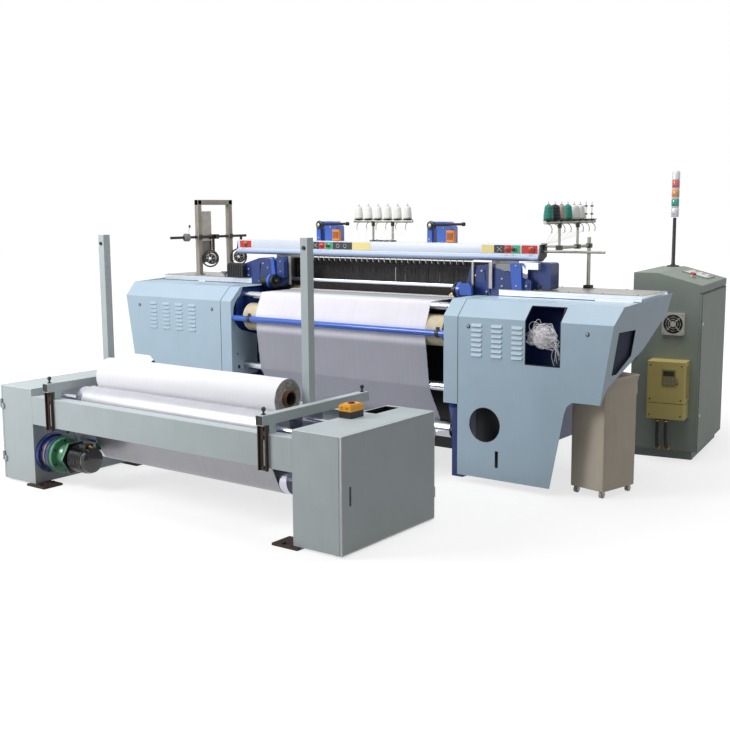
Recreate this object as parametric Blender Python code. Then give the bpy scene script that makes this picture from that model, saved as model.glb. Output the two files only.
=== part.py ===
"""Rapier loom with its cloth batching unit, weft feeder stand, yarn creels, control cabinet and waste bin.

X runs across the loom, -Y is the weaver's side where the cloth comes out, Z is up and the floor is z = 0.
Sizes are in metres.  Everything is laid out from the middle of the loom at the front of its covers,
and the whole plant is then moved so that its origin is the middle of the floor area that it takes.
"""
import bmesh
import bpy
from math import acos, asin, atan2, ceil, cos, degrees, hypot, pi, radians, sin, sqrt, tan
from mathutils import Matrix, Vector

# Cloth, clearances and sheet metal
CLOTH_WIDTH = 1.46
CLOTH_THICK = 0.0012
FRAME_CLEAR = 0.1825       # from the cloth's edge to each side frame
ROLLER_PROUD = 0.125       # how far the loom's rollers reach past the cloth's edge
DRUM_PROUD = 0.055         # and the batching unit's drums
BATCH_CLEAR = 0.324        # from the cloth's edge to each drive housing
ARM_OUT = 0.138            # from the cloth's edge to the middle of each guide arm
SEAT_GAP = 0.0003          # between parts that touch
RUN_GAP = 0.0006           # round a shaft in its bearing, and between cloth and rollers
DOOR_GAP = 0.002           # between a closed door and its frame
SHEET = 0.003
SHAFT_R = 0.020
BEARING_DEPTH = 0.030

# Batching unit: two drive housings joined by beams, with three drums and the cloth roll between them
BATCH_FRONT = -1.620
BATCH_DEPTH = 0.820
BATCH_INNER = CLOTH_WIDTH / 2 + BATCH_CLEAR
HOUSING_WIDTH = 0.312      # with its door
HOUSING_TOP = 0.610
FOOT_HIGH = 0.012
FOOT_REACH = 0.120
FOOT_LONG = 0.140
PAD_R = 0.025
DOOR_THICK = 0.015
HINGE_R = 0.008
HINGE_LONG = 0.057
HINGE_HEIGHTS = (0.129, 0.466)
HANDLE_Z = (0.250, 0.350)
HANDLE_WIDE = 0.016
HANDLE_BACK = 0.060
HOPPER_X = (0.010, 0.100)  # top opening, from the housing's inner face
HOPPER_Y = (-1.045, -0.830)
BOSS_R = 0.042
BEAM_Z = (0.390, 0.565)
BEAM_DEEP = 0.080
ARM_X = CLOTH_WIDTH / 2 + ARM_OUT
ARM_SIZE = 0.050
ARM_HIGH = 0.053
ARM_WALL = 0.003
ARM_OVERHANG = 0.033       # in front of the front beam
ARM_REACH = 0.044          # behind the rear beam
BRACKET_WIDE = 0.060
BRACKET_LOW = 0.375
BRACKET_WEB = 0.006
BRACKET_FLANGE = 0.018
BRACKET_SLOT = (0.400, 0.535)
BRACKET_SLOT_WIDE = 0.016
POST_SIZE = 0.050
POST_Y = -1.200
POST_TOP = 1.545
DRUM_R = 0.090
DRUM_LONG = CLOTH_WIDTH + 2 * DRUM_PROUD
DRUM_Y = -1.270            # middle of the pair that carries the cloth roll
DRUM_PITCH = 0.280
DRUM_Z = 0.540
LOWER_DRUM_Z = 0.247
ROLL_R = 0.109
CORE_R = 0.045
CORE_BORE_R = 0.036
CORE_PROUD = 0.022
CORE_BORE_DEEP = 0.060
GEAR_Y = -1.490
GEAR_Z = 0.190
BOX_X = (BATCH_INNER + 0.001, BATCH_INNER + 0.076)
BOX_Y = (-1.235, -1.140)
BOX_HIGH = 0.075

# Loom: side frames, rollers and the cloth's path
FRAME_X = CLOTH_WIDTH / 2 + FRAME_CLEAR
FRAME_THICK = 0.080
FRAME_TOP = 1.120
FRAME_WINDOW_Y = (0.450, 0.950)
FRAME_WINDOW_Z = (0.180, 0.560)
FRAME_WAIST = 0.090        # how far the frame's back leans in above its foot
ROLLER_HALF = CLOTH_WIDTH / 2 + ROLLER_PROUD
BREAST_Y, BREAST_Z, BREAST_R = 0.150, 1.079, 0.024
TAKEUP_Y, TAKEUP_Z, TAKEUP_R = 0.165, 0.920, 0.100
BAR_Y, BAR_Z, BAR_R = 0.143, 0.563, 0.030
RETURN_Y, RETURN_Z, RETURN_R = 0.210, 0.275, 0.055
CLOTH_CUT = 0.030          # how far in front of the return roller the loom's own run of cloth ends
GUARD_Y, GUARD_Z, GUARD_R = 0.030, 0.917, 0.021
FELL_Y = 0.500
REED_Y = 0.560
REED_THICK = 0.012
REED_Z = (1.040, 1.185)
HEALD_Y = 0.720
HEALD_PITCH = 0.080
HEALD_Z = (0.960, 1.325)
BACKREST_Y, BACKREST_Z, BACKREST_R = 1.600, 1.050, 0.060
BEAM_Y, WARP_Z, WARP_R = 1.400, 0.500, 0.280
WARP_OFF_ANGLE = -10.0     # where the warp's last turn is cut, below the level of the beam's axis
NIP_ANGLE = 72.0           # where the cloth on the front drum reaches the nip with the roll
FLANGE_R = 0.350
FLANGE_THICK = 0.014
TUBE_Y = (1.720, 1.780)
TUBE_Z = (1.000, 1.060)

# Front covers, folded from sheet
FOLD_Z = 1.037
SLOPE_Y = 0.104
SLOPE_Z = 1.136
FLAT_Y = 0.396             # back edge of the covers' flat top
STRIP_X = FRAME_X - SHEET - SEAT_GAP
STRIP_WIDE = 0.104
SEAM = 0.0006
STRIP_LOW = 0.490
STRIP_DEEP = 0.270
COVER_IN = STRIP_X + STRIP_WIDE + SEAM
COVER_WIDE = 1.020
COVER_OUT = COVER_IN + COVER_WIDE      # outer edge at the fold
COVER_LEAN = 0.157         # how far the outer edge leans in for each metre down
COVER_LOW = 0.045
COVER_LOW_OUT = COVER_IN + 0.639
NOTCH_X, NOTCH_Z = COVER_IN + 0.733, 0.531
OVERHANG_X, OVERHANG_Z = COVER_IN + 0.789, 0.578
WINDOW_X = (COVER_IN + 0.466, COVER_IN + 0.692)
WINDOW_Z = 0.776
WINDOW_Y = 0.085           # how far up the slope the window runs
PORT_X, PORT_Z, PORT_R = COVER_IN + 0.194, 0.380, 0.106
VENT_X, VENT_Z, VENT_WIDE = COVER_IN + 0.280, (0.121, 0.225), 0.022
LEAF_PORT = ((0.090, 0.990), (0.330, 0.985), (0.330, 0.830), (0.160, 0.740), (0.090, 0.740))
BLOCK_X = (COVER_IN + 0.056, COVER_OUT - 0.008)
BLOCK_Y = (0.400, 0.800)
BLOCK_Z = (1.1403, 1.180)

# Louvres pressed out of the front covers: each hood is open at its lower edge
LOUVRE_WIDE = 0.078
LOUVRE_HIGH = 0.021
LOUVRE_PROUD = 0.008
LOUVRE_END = 0.006         # how far each end of the hood slopes in
LOUVRE_WALL = 0.0016
LOUVRE_PITCH = 0.0303
LOUVRE_ROWS = 7
LOUVRE_TOP = 1.002
LOUVRE_STEP = 0.139        # from column to column
LOUVRE_FIRST = {-1: COVER_IN + 0.256, 1: COVER_IN + 0.094}
LOUVRE_COLUMNS = {-1: 4, 1: 3}

# Cast gear cases outside the side frames, which carry the rapier guide boxes
CASE_OUT = COVER_IN + 0.560
CASE_Y = (0.260, 0.780)
CASE_Z = (0.620, 1.100)
WHEEL_Y, WHEEL_Z, WHEEL_R = 0.530, 0.860, 0.215
WHEEL_REACH = 0.300

# Operating rail and what stands above the loom
RAIL_HALF = FRAME_X + 0.3875
RAIL_Y = 0.500
RAIL_DEEP = 0.090
RAIL_Z = (1.355, 1.462)
BUTTON_R = 0.016
BUTTON_PROUD = 0.022
BUTTONS = {-1: (0.079, 0.834, 0.900), 1: (0.055, 0.178, 0.230)}       # in from each end of the rail
DRIVE_X = (FRAME_X - 0.1125, RAIL_HALF)
DRIVE_Y = (0.400, 0.530)
DRIVE_TOP = 1.335
DRIVE_NECK = (FRAME_X - 0.0525, FRAME_X + 0.0675)
CLAMP_X, CLAMP_Z, CLAMP_R = FRAME_X - 0.030, 1.185, 0.046
ARCH_X = 0.490
ARCH_WIDE = 0.190
GANTRY_BACK = 0.680
ARCH_HIGH = 0.150
CREEL_Z = 1.605
CREEL_AT = {-1: (-0.015, 0.640), 1: (COVER_IN + 0.496, 0.505)}
CREEL_TURN = {-1: 0.0, 1: 90.0}
CREEL_PINS = {-1: 6, 1: 8}
CREEL_CONES = 6
CREEL_LEGS = {-1: (-0.085, 0.085), 1: (-0.148, 0.100)}
CREEL_POST = 0.270         # the right creel's post, along its bar from the middle
CREEL_POST_TOP = 1.505
CREEL_RAIL_Z = 1.451
PIN_PITCH = 0.085
PIN_R, PIN_TOP = 0.003, 0.123
CONE_R, CONE_HIGH = 0.028, 0.104

# Weft feeder stand, at the loom's left
STAND_X = -COVER_IN - 0.686
STAND_Y = (0.457, 0.842)
STAND_TOP = 1.770
STAND_TUBE = 0.040
STAND_ROD = (0.184, 1.010)
ROD_Z, ROD_R = 1.478, 0.010
PLATE_Z = (1.275, 1.680)
PLATE_DEEP = 0.140
BRAKE_Y, BRAKE_R = 0.345, 0.032
FEEDER_R = 0.070
FEEDER_Z = 1.312
FEEDER_TURN = -53.0        # the feeders look towards the loom's middle and the weaver
FEEDER_REACH = 0.125       # from the rod to the middle of the feeder
FEEDER_Y = (0.637, 0.960)

# Control cabinet, which stands beside the loom
CABINET_AT = (COVER_OUT + 0.012, 1.367)
CABINET_TURN = 8.5
CABINET_WIDE = 0.455
CABINET_DEEP = 0.860
CABINET_HIGH = 1.257
CABINET_FLAT = 0.160       # flat strip along the console's left
CABINET_LIP_Z = 1.178
CABINET_LIP_HIGH = 0.048
CABINET_DOOR = 0.015
PLINTH = 0.060
TOWER_IN = (0.085, 0.070)  # from the cabinet's left and back
LAMP_R, LAMP_HIGH, LAMPS = 0.028, 0.0666, 5
POLE_TOP = 0.359
KNOB_AT = (0.56, 0.300)    # how far down the slope, and from the cabinet's front
PANEL_Y = (0.430, 0.700)
INVERTER_IN, INVERTER_WIDE, INVERTER_DEEP = 0.130, 0.276, 0.150
INVERTER_Z = (0.290, 0.680)
HOSE_R = 0.010
HOSE_IN = ((0.200, 0.062), (0.264, 0.118))     # where each enters the cabinet, and leaves the inverter
HOSE_Z = 0.078
FAN_IN, FAN_SIZE, FAN_DEEP, FAN_Z = 0.201, 0.148, 0.018, 0.845
FAN_FACE, FAN_EDGE, FAN_BAR = 0.003, 0.006, 0.004      # thickness of its face, its wall, and its rings
FAN_RINGS = (0.24, 0.44, 0.66, 0.90)                   # their radii, for each metre of half its width

# Waste bin
BIN_AT = (COVER_OUT - 0.090, 0.110)    # its front right corner
BIN_TURN = -13.0
BIN_WIDE = 0.245
BIN_DEEP = 0.310
BIN_LOW = 0.045
BIN_HIGH = 0.712
BIN_FLARE = 0.006
BIN_ROUND = 0.018
BIN_SHOULDER = 0.600
BIN_RIM, BIN_RIM_HIGH = 0.011, 0.028
BIN_WALL = 0.004


def clear_scene():
    for item in list(bpy.data.objects):
        bpy.data.objects.remove(item, do_unlink=True)


def finish_of(name, colour, roughness, metallic=0.0):
    """A Principled material, with its colour given as sRGB hex."""
    channels = [int(colour[i:i + 2], 16) / 255 for i in (0, 2, 4)]
    linear = [c / 12.92 if c <= 0.04045 else ((c + 0.055) / 1.055) ** 2.4 for c in channels]
    material = bpy.data.materials.new(name)
    material.use_nodes = True
    shader = material.node_tree.nodes["Principled BSDF"]
    shader.inputs["Base Color"].default_value = (*linear, 1.0)
    shader.inputs["Roughness"].default_value = roughness
    shader.inputs["Metallic"].default_value = metallic
    return material


def solid(bm):
    """A new object from a bmesh, with its faces turned outwards."""
    bmesh.ops.recalc_face_normals(bm, faces=bm.faces)
    mesh = bpy.data.meshes.new("solid")
    bm.to_mesh(mesh)
    bm.free()
    item = bpy.data.objects.new("solid", mesh)
    bpy.context.scene.collection.objects.link(item)
    return item


def block(x, y, z):
    """A box between the two limits given along each axis."""
    bm = bmesh.new()
    bmesh.ops.create_cube(bm, size=1.0)
    for vertex in bm.verts:
        vertex.co = Vector([(a + b) / 2 + c * abs(b - a) for (a, b), c in zip((x, y, z), vertex.co)])
    return solid(bm)


def prism(outline, axis, start, end):
    """An outline in the plane across the axis, extruded along it.

    The outline's points are (y, z) for axis X, (x, z) for axis Y and (x, y) for axis Z.
    """
    place = {"X": lambda a, b: (start, a, b),
             "Y": lambda a, b: (a, start, b),
             "Z": lambda a, b: (a, b, start)}
    bm = bmesh.new()
    face = bm.faces.new([bm.verts.new(place[axis](a, b)) for a, b in outline])
    grown = bmesh.ops.extrude_face_region(bm, geom=[face])
    step = Vector([(end - start) * (axis == name) for name in "XYZ"])
    bmesh.ops.translate(bm, vec=step, verts=[v for v in grown["geom"] if isinstance(v, bmesh.types.BMVert)])
    return solid(bm)


def turned(profile, axis, centre, sides=32):
    """A profile of (place along the axis, radius) points, turned about the axis through the centre."""
    bm = bmesh.new()
    points = [bm.verts.new((radius, 0.0, along)) for along, radius in profile]
    edges = [bm.edges.new(pair) for pair in zip(points, points[1:])]
    bmesh.ops.spin(bm, geom=points + edges, cent=(0, 0, 0), axis=(0, 0, 1), angle=2 * pi, steps=sides)
    bmesh.ops.remove_doubles(bm, verts=bm.verts, dist=0.00001)
    if axis != "Z":
        turn = Matrix.Rotation(pi / 2, 3, "Y") if axis == "X" else Matrix.Rotation(-pi / 2, 3, "X")
        bmesh.ops.rotate(bm, cent=(0, 0, 0), matrix=turn, verts=bm.verts)
    bmesh.ops.translate(bm, vec=centre, verts=bm.verts)
    return solid(bm)


def skin(bm, first, last):
    """Add a closed solid between two outlines that have the same number of points."""
    rings = [[bm.verts.new(point) for point in ring] for ring in (first, last)]
    for index in range(len(first)):
        after = (index + 1) % len(first)
        bm.faces.new((rings[0][index], rings[0][after], rings[1][after], rings[1][index]))
    for ring in rings:
        bm.faces.new(ring)


def hose(points, radius, sides=8):
    """A round hose along a path that never runs straight along X."""
    path = [Vector(point) for point in points]
    bm = bmesh.new()
    rings = []
    for index, point in enumerate(path):
        run = (path[min(index + 1, len(path) - 1)] - path[max(index - 1, 0)]).normalized()
        across = run.cross(Vector((1, 0, 0))).normalized()
        other = run.cross(across)
        angles = [2 * pi * step / sides for step in range(sides)]
        rings.append([bm.verts.new(point + radius * (across * cos(a) + other * sin(a))) for a in angles])
    for lower, upper in zip(rings, rings[1:]):
        for i in range(sides):
            bm.faces.new((lower[i], lower[(i + 1) % sides], upper[(i + 1) % sides], upper[i]))
    bm.faces.new(rings[0])
    bm.faces.new(rings[-1])
    return solid(bm)


def curve(points, steps):
    """Points of the cubic curve between two ends, pulled by two points between them."""
    a, b, c, d = (Vector(point) for point in points)
    share = [step / steps for step in range(steps + 1)]
    return [a * (1 - t) ** 3 + b * 3 * t * (1 - t) ** 2 + c * 3 * t * t * (1 - t) + d * t ** 3 for t in share]


def rod(start, end, radius, sides=16):
    """A round bar between two points."""
    start, end = Vector(start), Vector(end)
    bm = bmesh.new()
    bmesh.ops.create_cone(bm, cap_ends=True, segments=sides, radius1=radius, radius2=radius,
                          depth=(end - start).length)
    turn = Vector((0, 0, 1)).rotation_difference(end - start).to_matrix()
    bmesh.ops.rotate(bm, cent=(0, 0, 0), matrix=turn, verts=bm.verts)
    bmesh.ops.translate(bm, vec=(start + end) / 2, verts=bm.verts)
    return solid(bm)


def combine(target, tools, operation):
    """The target with each tool joined to it, cut from it or kept in common with it."""
    for tool in tools:
        change = target.modifiers.new("shape", "BOOLEAN")
        change.operation = operation
        change.object = tool
    evaluated = target.evaluated_get(bpy.context.evaluated_depsgraph_get())
    mesh = bpy.data.meshes.new_from_object(evaluated)
    bm = bmesh.new()
    bm.from_mesh(mesh)
    bmesh.ops.remove_doubles(bm, verts=bm.verts, dist=0.000002)
    bmesh.ops.dissolve_degenerate(bm, edges=bm.edges, dist=0.000002)
    bm.to_mesh(mesh)
    bm.free()
    target.modifiers.clear()
    target.data = mesh
    for tool in tools:
        bpy.data.objects.remove(tool, do_unlink=True)
    return target


def join(target, *tools):
    return combine(target, tools, "UNION")


def cut(target, *tools):
    return combine(target, tools, "DIFFERENCE")


def keep(target, *tools):
    return combine(target, tools, "INTERSECT")


def lean(item, height, amount):
    """Shear an object sideways by an amount for each metre above a height."""
    for vertex in item.data.vertices:
        vertex.co.x += amount * (vertex.co.z - height)
    return item


def node(name, item, material, pivot=None, smooth=True):
    """Name a finished solid, colour it and set its origin, on its joint's axis where it has one."""
    item.name = name
    item.data.name = name
    item.data.materials.clear()
    item.data.materials.append(material)
    if pivot is not None:
        item.data.transform(Matrix.Translation(-Vector(pivot)))
        item.location = pivot
    if smooth:
        item.data.shade_smooth()
        item.data.set_sharp_from_angle(angle=radians(30))
    item.parent = PLANT
    return item


def rounded(corners, steps=4):
    """An outline with its corners rounded, from (a, b, radius) corners in order."""
    outline = []
    for index, (a, b, radius) in enumerate(corners):
        corner = Vector((a, b))
        if radius == 0:
            outline.append((a, b))
            continue
        before = (Vector(corners[index - 1][:2]) - corner).normalized()
        after = (Vector(corners[(index + 1) % len(corners)][:2]) - corner).normalized()
        half = acos(max(-1.0, min(1.0, before.dot(after)))) / 2
        centre = corner + (before + after).normalized() * radius / sin(half)
        first = corner + before * radius / tan(half) - centre
        last = corner + after * radius / tan(half) - centre
        sweep = atan2(first.x * last.y - first.y * last.x, first.dot(last))
        for step in range(steps + 1):
            angle = sweep * step / steps
            outline.append((centre.x + first.x * cos(angle) - first.y * sin(angle),
                            centre.y + first.x * sin(angle) + first.y * cos(angle)))
    return outline


def sided(side, start, end):
    """Limits along X for the left (-1) or right (+1) side, from distances out from the middle."""
    return tuple(sorted((side * start, side * end)))


def arc(centre, radius, start, end, steps):
    """Points round a circle, between two angles in degrees."""
    angles = [radians(start + (end - start) * step / steps) for step in range(steps + 1)]
    return [(centre[0] + radius * cos(angle), centre[1] + radius * sin(angle)) for angle in angles]


def web_path(stops):
    """The path of cloth from roller to roller, with straight runs that touch each one.

    A stop is ((y, z), radius, turn): turn is 1 where the path bends left round the roller and -1 where it
    bends right, and a radius of 0 is a plain point.
    """
    runs = []
    for (first, r1, t1), (last, r2, t2) in zip(stops, stops[1:]):
        across = Vector(last) - Vector(first)
        tilt = asin((r2 * t2 - r1 * t1) / across.length)
        heading = atan2(across.y, across.x) - tilt
        left = Vector((-sin(heading), cos(heading)))
        runs.append((Vector(first) - left * r1 * t1, Vector(last) - left * r2 * t2))
    path = [tuple(runs[0][0])]
    for (_, arrive), (leave, _), (centre, radius, turn) in zip(runs, runs[1:], stops[1:]):
        if radius == 0:
            path.append(centre)
            continue
        a, b = arrive - Vector(centre), leave - Vector(centre)
        start = atan2(a.y, a.x)
        sweep = (turn * (atan2(b.y, b.x) - start)) % (2 * pi)
        steps = ceil(sweep / (2 * acos(1 - RUN_GAP / 2 / radius)))
        path += arc(centre, radius, degrees(start), degrees(start + turn * sweep), steps)
    return path + [tuple(runs[-1][1])]


def sheet_along(path, half_width, thickness):
    """Cloth that follows a path of (y, z) points across the loom."""
    path = [Vector(point) for point in path]
    sides = ([], [])
    for index, point in enumerate(path):
        before = (point - path[index - 1]).normalized() if index else None
        after = (path[index + 1] - point).normalized() if index + 1 < len(path) else None
        run = (before or after) + (after or before)
        across = Vector((-run.y, run.x)).normalized()
        widen = 1 / max(0.5, across.dot(Vector((-(after or before).y, (after or before).x))))
        for edge, sign in zip(sides, (0.5, -0.5)):
            edge.append(tuple(point + across * sign * thickness * widen))
    return prism(sides[0] + sides[1][::-1], "X", -half_width, half_width)


def bored_boss(side, face, y, z, radius=BOSS_R):
    """A bearing boss that stands in from a wall, and the hole that a shaft turns in."""
    boss = turned([(0, 0), (0, radius), (BEARING_DEPTH + SHEET / 2, radius), (BEARING_DEPTH + SHEET / 2, 0)],
                  "X", (min(side * (face - BEARING_DEPTH), side * (face + SHEET / 2)), y, z), 20)
    bore = turned([(0, 0), (0, SHAFT_R + RUN_GAP), (BEARING_DEPTH, SHAFT_R + RUN_GAP), (BEARING_DEPTH, 0)],
                  "X", (min(side * (face - BEARING_DEPTH - 0.001), side * (face - 0.001)), y, z), 20)
    return boss, bore


def shafted(half, radius, shaft_half, axis_at, sides=40):
    """A drum or roller with its shaft, lying along X and centred on the loom."""
    profile = [(-shaft_half, 0), (-shaft_half, SHAFT_R), (-half, SHAFT_R), (-half, radius),
               (half, radius), (half, SHAFT_R), (shaft_half, SHAFT_R), (shaft_half, 0)]
    return turned(profile, "X", (0, *axis_at), sides)


def housing(side):
    """A drive housing: a sheet box open at its outer side, with bearings, feet and hinge pins."""
    outer = BATCH_INNER + HOUSING_WIDTH - DOOR_THICK - DOOR_GAP
    back = BATCH_FRONT + BATCH_DEPTH
    shell = block(sided(side, BATCH_INNER, outer), (BATCH_FRONT, back), (FOOT_HIGH, HOUSING_TOP))
    space = block(sided(side, BATCH_INNER + SHEET, outer + 1), (BATCH_FRONT + SHEET, back - SHEET),
                  (FOOT_HIGH + SHEET, HOUSING_TOP - SHEET))
    cut(shell, space)
    feet = []
    for y in ((BATCH_FRONT - 0.03, BATCH_FRONT - 0.03 + FOOT_LONG), (back + 0.03 - FOOT_LONG, back + 0.03)):
        x = sided(side, BATCH_INNER - FOOT_REACH, BATCH_INNER + 0.05)
        feet.append(block(x, y, (0, FOOT_HIGH + 0.001)))
    for y in (BATCH_FRONT + 2 * PAD_R, back - 2 * PAD_R):
        pad = [(0, 0), (0, PAD_R), (FOOT_HIGH + 0.001, PAD_R), (FOOT_HIGH + 0.001, 0)]
        feet.append(turned(pad, "Z", (side * (outer - 1.5 * PAD_R), y, 0), 16))
    bosses, bores = [], []
    for y, z in DRUM_AXES:
        boss, bore = bored_boss(side, BATCH_INNER, y, z)
        bosses.append(boss)
        bores.append(bore)
    knuckles = [part for z in HINGE_HEIGHTS for part in knuckle(side, z, lower=True)]
    join(shell, *feet, *bosses, *knuckles)
    if side > 0:
        bores.append(block((BATCH_INNER + HOPPER_X[0], BATCH_INNER + HOPPER_X[1]), HOPPER_Y,
                           (HOUSING_TOP - 0.02, HOUSING_TOP + 0.02)))
    cut(shell, *bores)
    return shell


def hinge_axis(side):
    """Where the housing door turns: the right door at its back edge, the left door at its front edge."""
    edge = BATCH_FRONT + BATCH_DEPTH + HINGE_R if side > 0 else BATCH_FRONT - HINGE_R
    return side * (BATCH_INNER + HOUSING_WIDTH - HINGE_R), edge


def knuckle(side, z, lower):
    """Half a hinge barrel with the leaf that joins it to the housing (lower) or to the door (upper)."""
    x, y = hinge_axis(side)
    middle = z + HINGE_LONG / 2
    low, high = (z, middle) if lower else (middle + SEAT_GAP, z + HINGE_LONG)
    barrel = rod((x, y, low), (x, y, high), HINGE_R, 12)
    inward = -side
    reach = DOOR_THICK + DOOR_GAP + 0.006 if lower else 0.0
    foot = y - side * (HINGE_R + 0.002)
    start = x + inward * reach
    arm = block((start - 0.0023, start + 0.0023), tuple(sorted((y - side * 0.001, foot))), (low, high))
    if not lower:
        return [barrel, arm]
    leaf = block(tuple(sorted((x, start + inward * 0.002))), (y - 0.002, y + 0.002), (low, high))
    return [barrel, arm, leaf]


def housing_door(side):
    """A pan-shaped door, with a pull recess on the right one."""
    outer = BATCH_INNER + HOUSING_WIDTH
    back = BATCH_FRONT + BATCH_DEPTH
    pan = block(sided(side, outer - DOOR_THICK, outer), (BATCH_FRONT, back), (FOOT_HIGH, HOUSING_TOP))
    inside = block(sided(side, outer - DOOR_THICK - 0.01, outer - SHEET), (BATCH_FRONT + SHEET, back - SHEET),
                   (FOOT_HIGH + SHEET, HOUSING_TOP - SHEET))
    cut(pan, inside)
    if side > 0:
        y = BATCH_FRONT + HANDLE_BACK
        grip = block((outer - DOOR_THICK + 0.002, outer - SHEET / 2), (y, y + HANDLE_WIDE + 2 * SHEET),
                     (HANDLE_Z[0] - SHEET, HANDLE_Z[1] + SHEET))
        recess = block((outer - DOOR_THICK + 0.005, outer + 0.01),
                       (y + SHEET, y + SHEET + HANDLE_WIDE), HANDLE_Z)
        join(pan, grip)
        cut(pan, recess)
    return join(pan, *[part for z in HINGE_HEIGHTS for part in knuckle(side, z, lower=False)])


def channel_beam(front, open_back):
    """A folded C-section between the housings."""
    half = BATCH_INNER - SEAT_GAP
    beam = block((-half, half), (front, front + BEAM_DEEP), BEAM_Z)
    y = (front + SHEET, front + BEAM_DEEP + 1) if open_back else (front - 1, front + BEAM_DEEP - SHEET)
    return cut(beam, block((-half - 1, half + 1), y, (BEAM_Z[0] + SHEET, BEAM_Z[1] - SHEET)))


def slotted_bracket(side):
    """A dark channel that bolts to the front beam and carries the guide arm's front end."""
    x = side * ARM_X
    back = BATCH_FRONT - SEAT_GAP
    top = ARM_Z[0] - SEAT_GAP
    channel = block((x - BRACKET_WIDE / 2, x + BRACKET_WIDE / 2),
                    (back - BRACKET_FLANGE, back), (BRACKET_LOW, top))
    trough = block((x - BRACKET_WIDE / 2 + BRACKET_WEB, x + BRACKET_WIDE / 2 - BRACKET_WEB),
                   (back - 1, back - BRACKET_WEB), (BRACKET_LOW - 1, top + 1))
    slot = block((x - BRACKET_SLOT_WIDE / 2, x + BRACKET_SLOT_WIDE / 2), (back - 1, back + 1), BRACKET_SLOT)
    return cut(channel, trough, slot)


def guide_arm(side):
    """A square tube over the roll's end, standing on the beams."""
    x = side * ARM_X
    half = ARM_SIZE / 2
    start = BATCH_FRONT - ARM_OVERHANG
    end = BATCH_FRONT + BATCH_DEPTH + ARM_REACH
    arm = block((x - half, x + half), (start, end), ARM_Z)
    blocks = []
    for y in (BATCH_FRONT + BEAM_DEEP / 2, BATCH_FRONT + BATCH_DEPTH - BEAM_DEEP / 2):
        blocks.append(block((x - half, x + half), (y - half, y + half),
                            (BEAM_Z[1] + SEAT_GAP, ARM_Z[0] + 0.001)))
    join(arm, *blocks)
    return cut(arm, block((x - half + ARM_WALL, x + half - ARM_WALL), (start - 1, end + 1),
                          (ARM_Z[0] + ARM_WALL, ARM_Z[1] - ARM_WALL)))


def guide_post(side):
    """A square tube that stands at the roll's end, bolted to the guide arm."""
    x = side * (ARM_X - ARM_SIZE / 2 - POST_SIZE / 2 - SEAT_GAP)
    half = POST_SIZE / 2
    post = block((x - half, x + half), (POST_Y - half, POST_Y + half), (ARM_Z[0], POST_TOP))
    inner = half - ARM_WALL
    return cut(post, block((x - inner, x + inner), (POST_Y - inner, POST_Y + inner),
                           (ARM_Z[0] - 1, POST_TOP - ARM_WALL)))


def cloth_roll():
    """The wound cloth on its paper core, with the core's bore open at both ends."""
    half, proud = CLOTH_WIDTH / 2, CLOTH_WIDTH / 2 + CORE_PROUD
    profile = []
    for sign in (-1, 1):
        side = [(proud - CORE_BORE_DEEP, 0), (proud - CORE_BORE_DEEP, CORE_BORE_R),
                (proud, CORE_BORE_R), (proud, CORE_R), (half, CORE_R), (half, ROLL_R)]
        side = [(sign * along, radius) for along, radius in side]
        profile += side if sign < 0 else side[::-1]
    return turned(profile, "X", (0, DRUM_Y, ROLL_Z), 40)


def gearbox():
    """The batching unit's reducer, bolted to the left housing's inner wall."""
    start = -BATCH_INNER + SEAT_GAP
    steps = [(0, 0), (0, 0.122), (0.022, 0.122), (0.022, 0.100), (0.055, 0.100), (0.058, 0.118),
             (0.070, 0.118), (0.070, 0.098), (0.120, 0.094), (0.120, 0)]
    return turned(steps, "X", (start, GEAR_Y, GEAR_Z), 32)


def gearmotor():
    """The motor behind the reducer: a flange, a neck, a cornered plate and the finned end."""
    start = -BATCH_INNER + 0.120 + 2 * SEAT_GAP
    steps = [(0, 0), (0, 0.096), (0.014, 0.096), (0.014, 0.055), (0.075, 0.048), (0.075, 0.084),
             (0.200, 0.084), (0.225, 0.070), (0.225, 0)]
    body = turned(steps, "X", (start, GEAR_Y, GEAR_Z), 32)
    plate = [(0.070, 0), (0.070, 0.098), (0.082, 0.098), (0.082, 0)]
    return join(body, turned(plate, "X", (start, GEAR_Y, GEAR_Z), 6))


def push_button_box():
    """The start box on the right housing, with one mushroom button."""
    low = HOUSING_TOP + SEAT_GAP
    corners = ((BOX_X[0], BOX_Y[0]), (BOX_X[1], BOX_Y[0]), (BOX_X[1], BOX_Y[1]), (BOX_X[0], BOX_Y[1]))
    base = prism(rounded([(x, y, 0.006) for x, y in corners], 2), "Z", low, low + BOX_HIGH)
    x, y = sum(BOX_X) / 2, sum(BOX_Y) / 2
    button = [(0, 0), (0, 0.010), (0.010, 0.010), (0.010, 0.017), (0.018, 0.014), (0.018, 0)]
    return join(base, turned(button, "Z", (x, y, low + BOX_HIGH - 0.001), 20))


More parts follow.
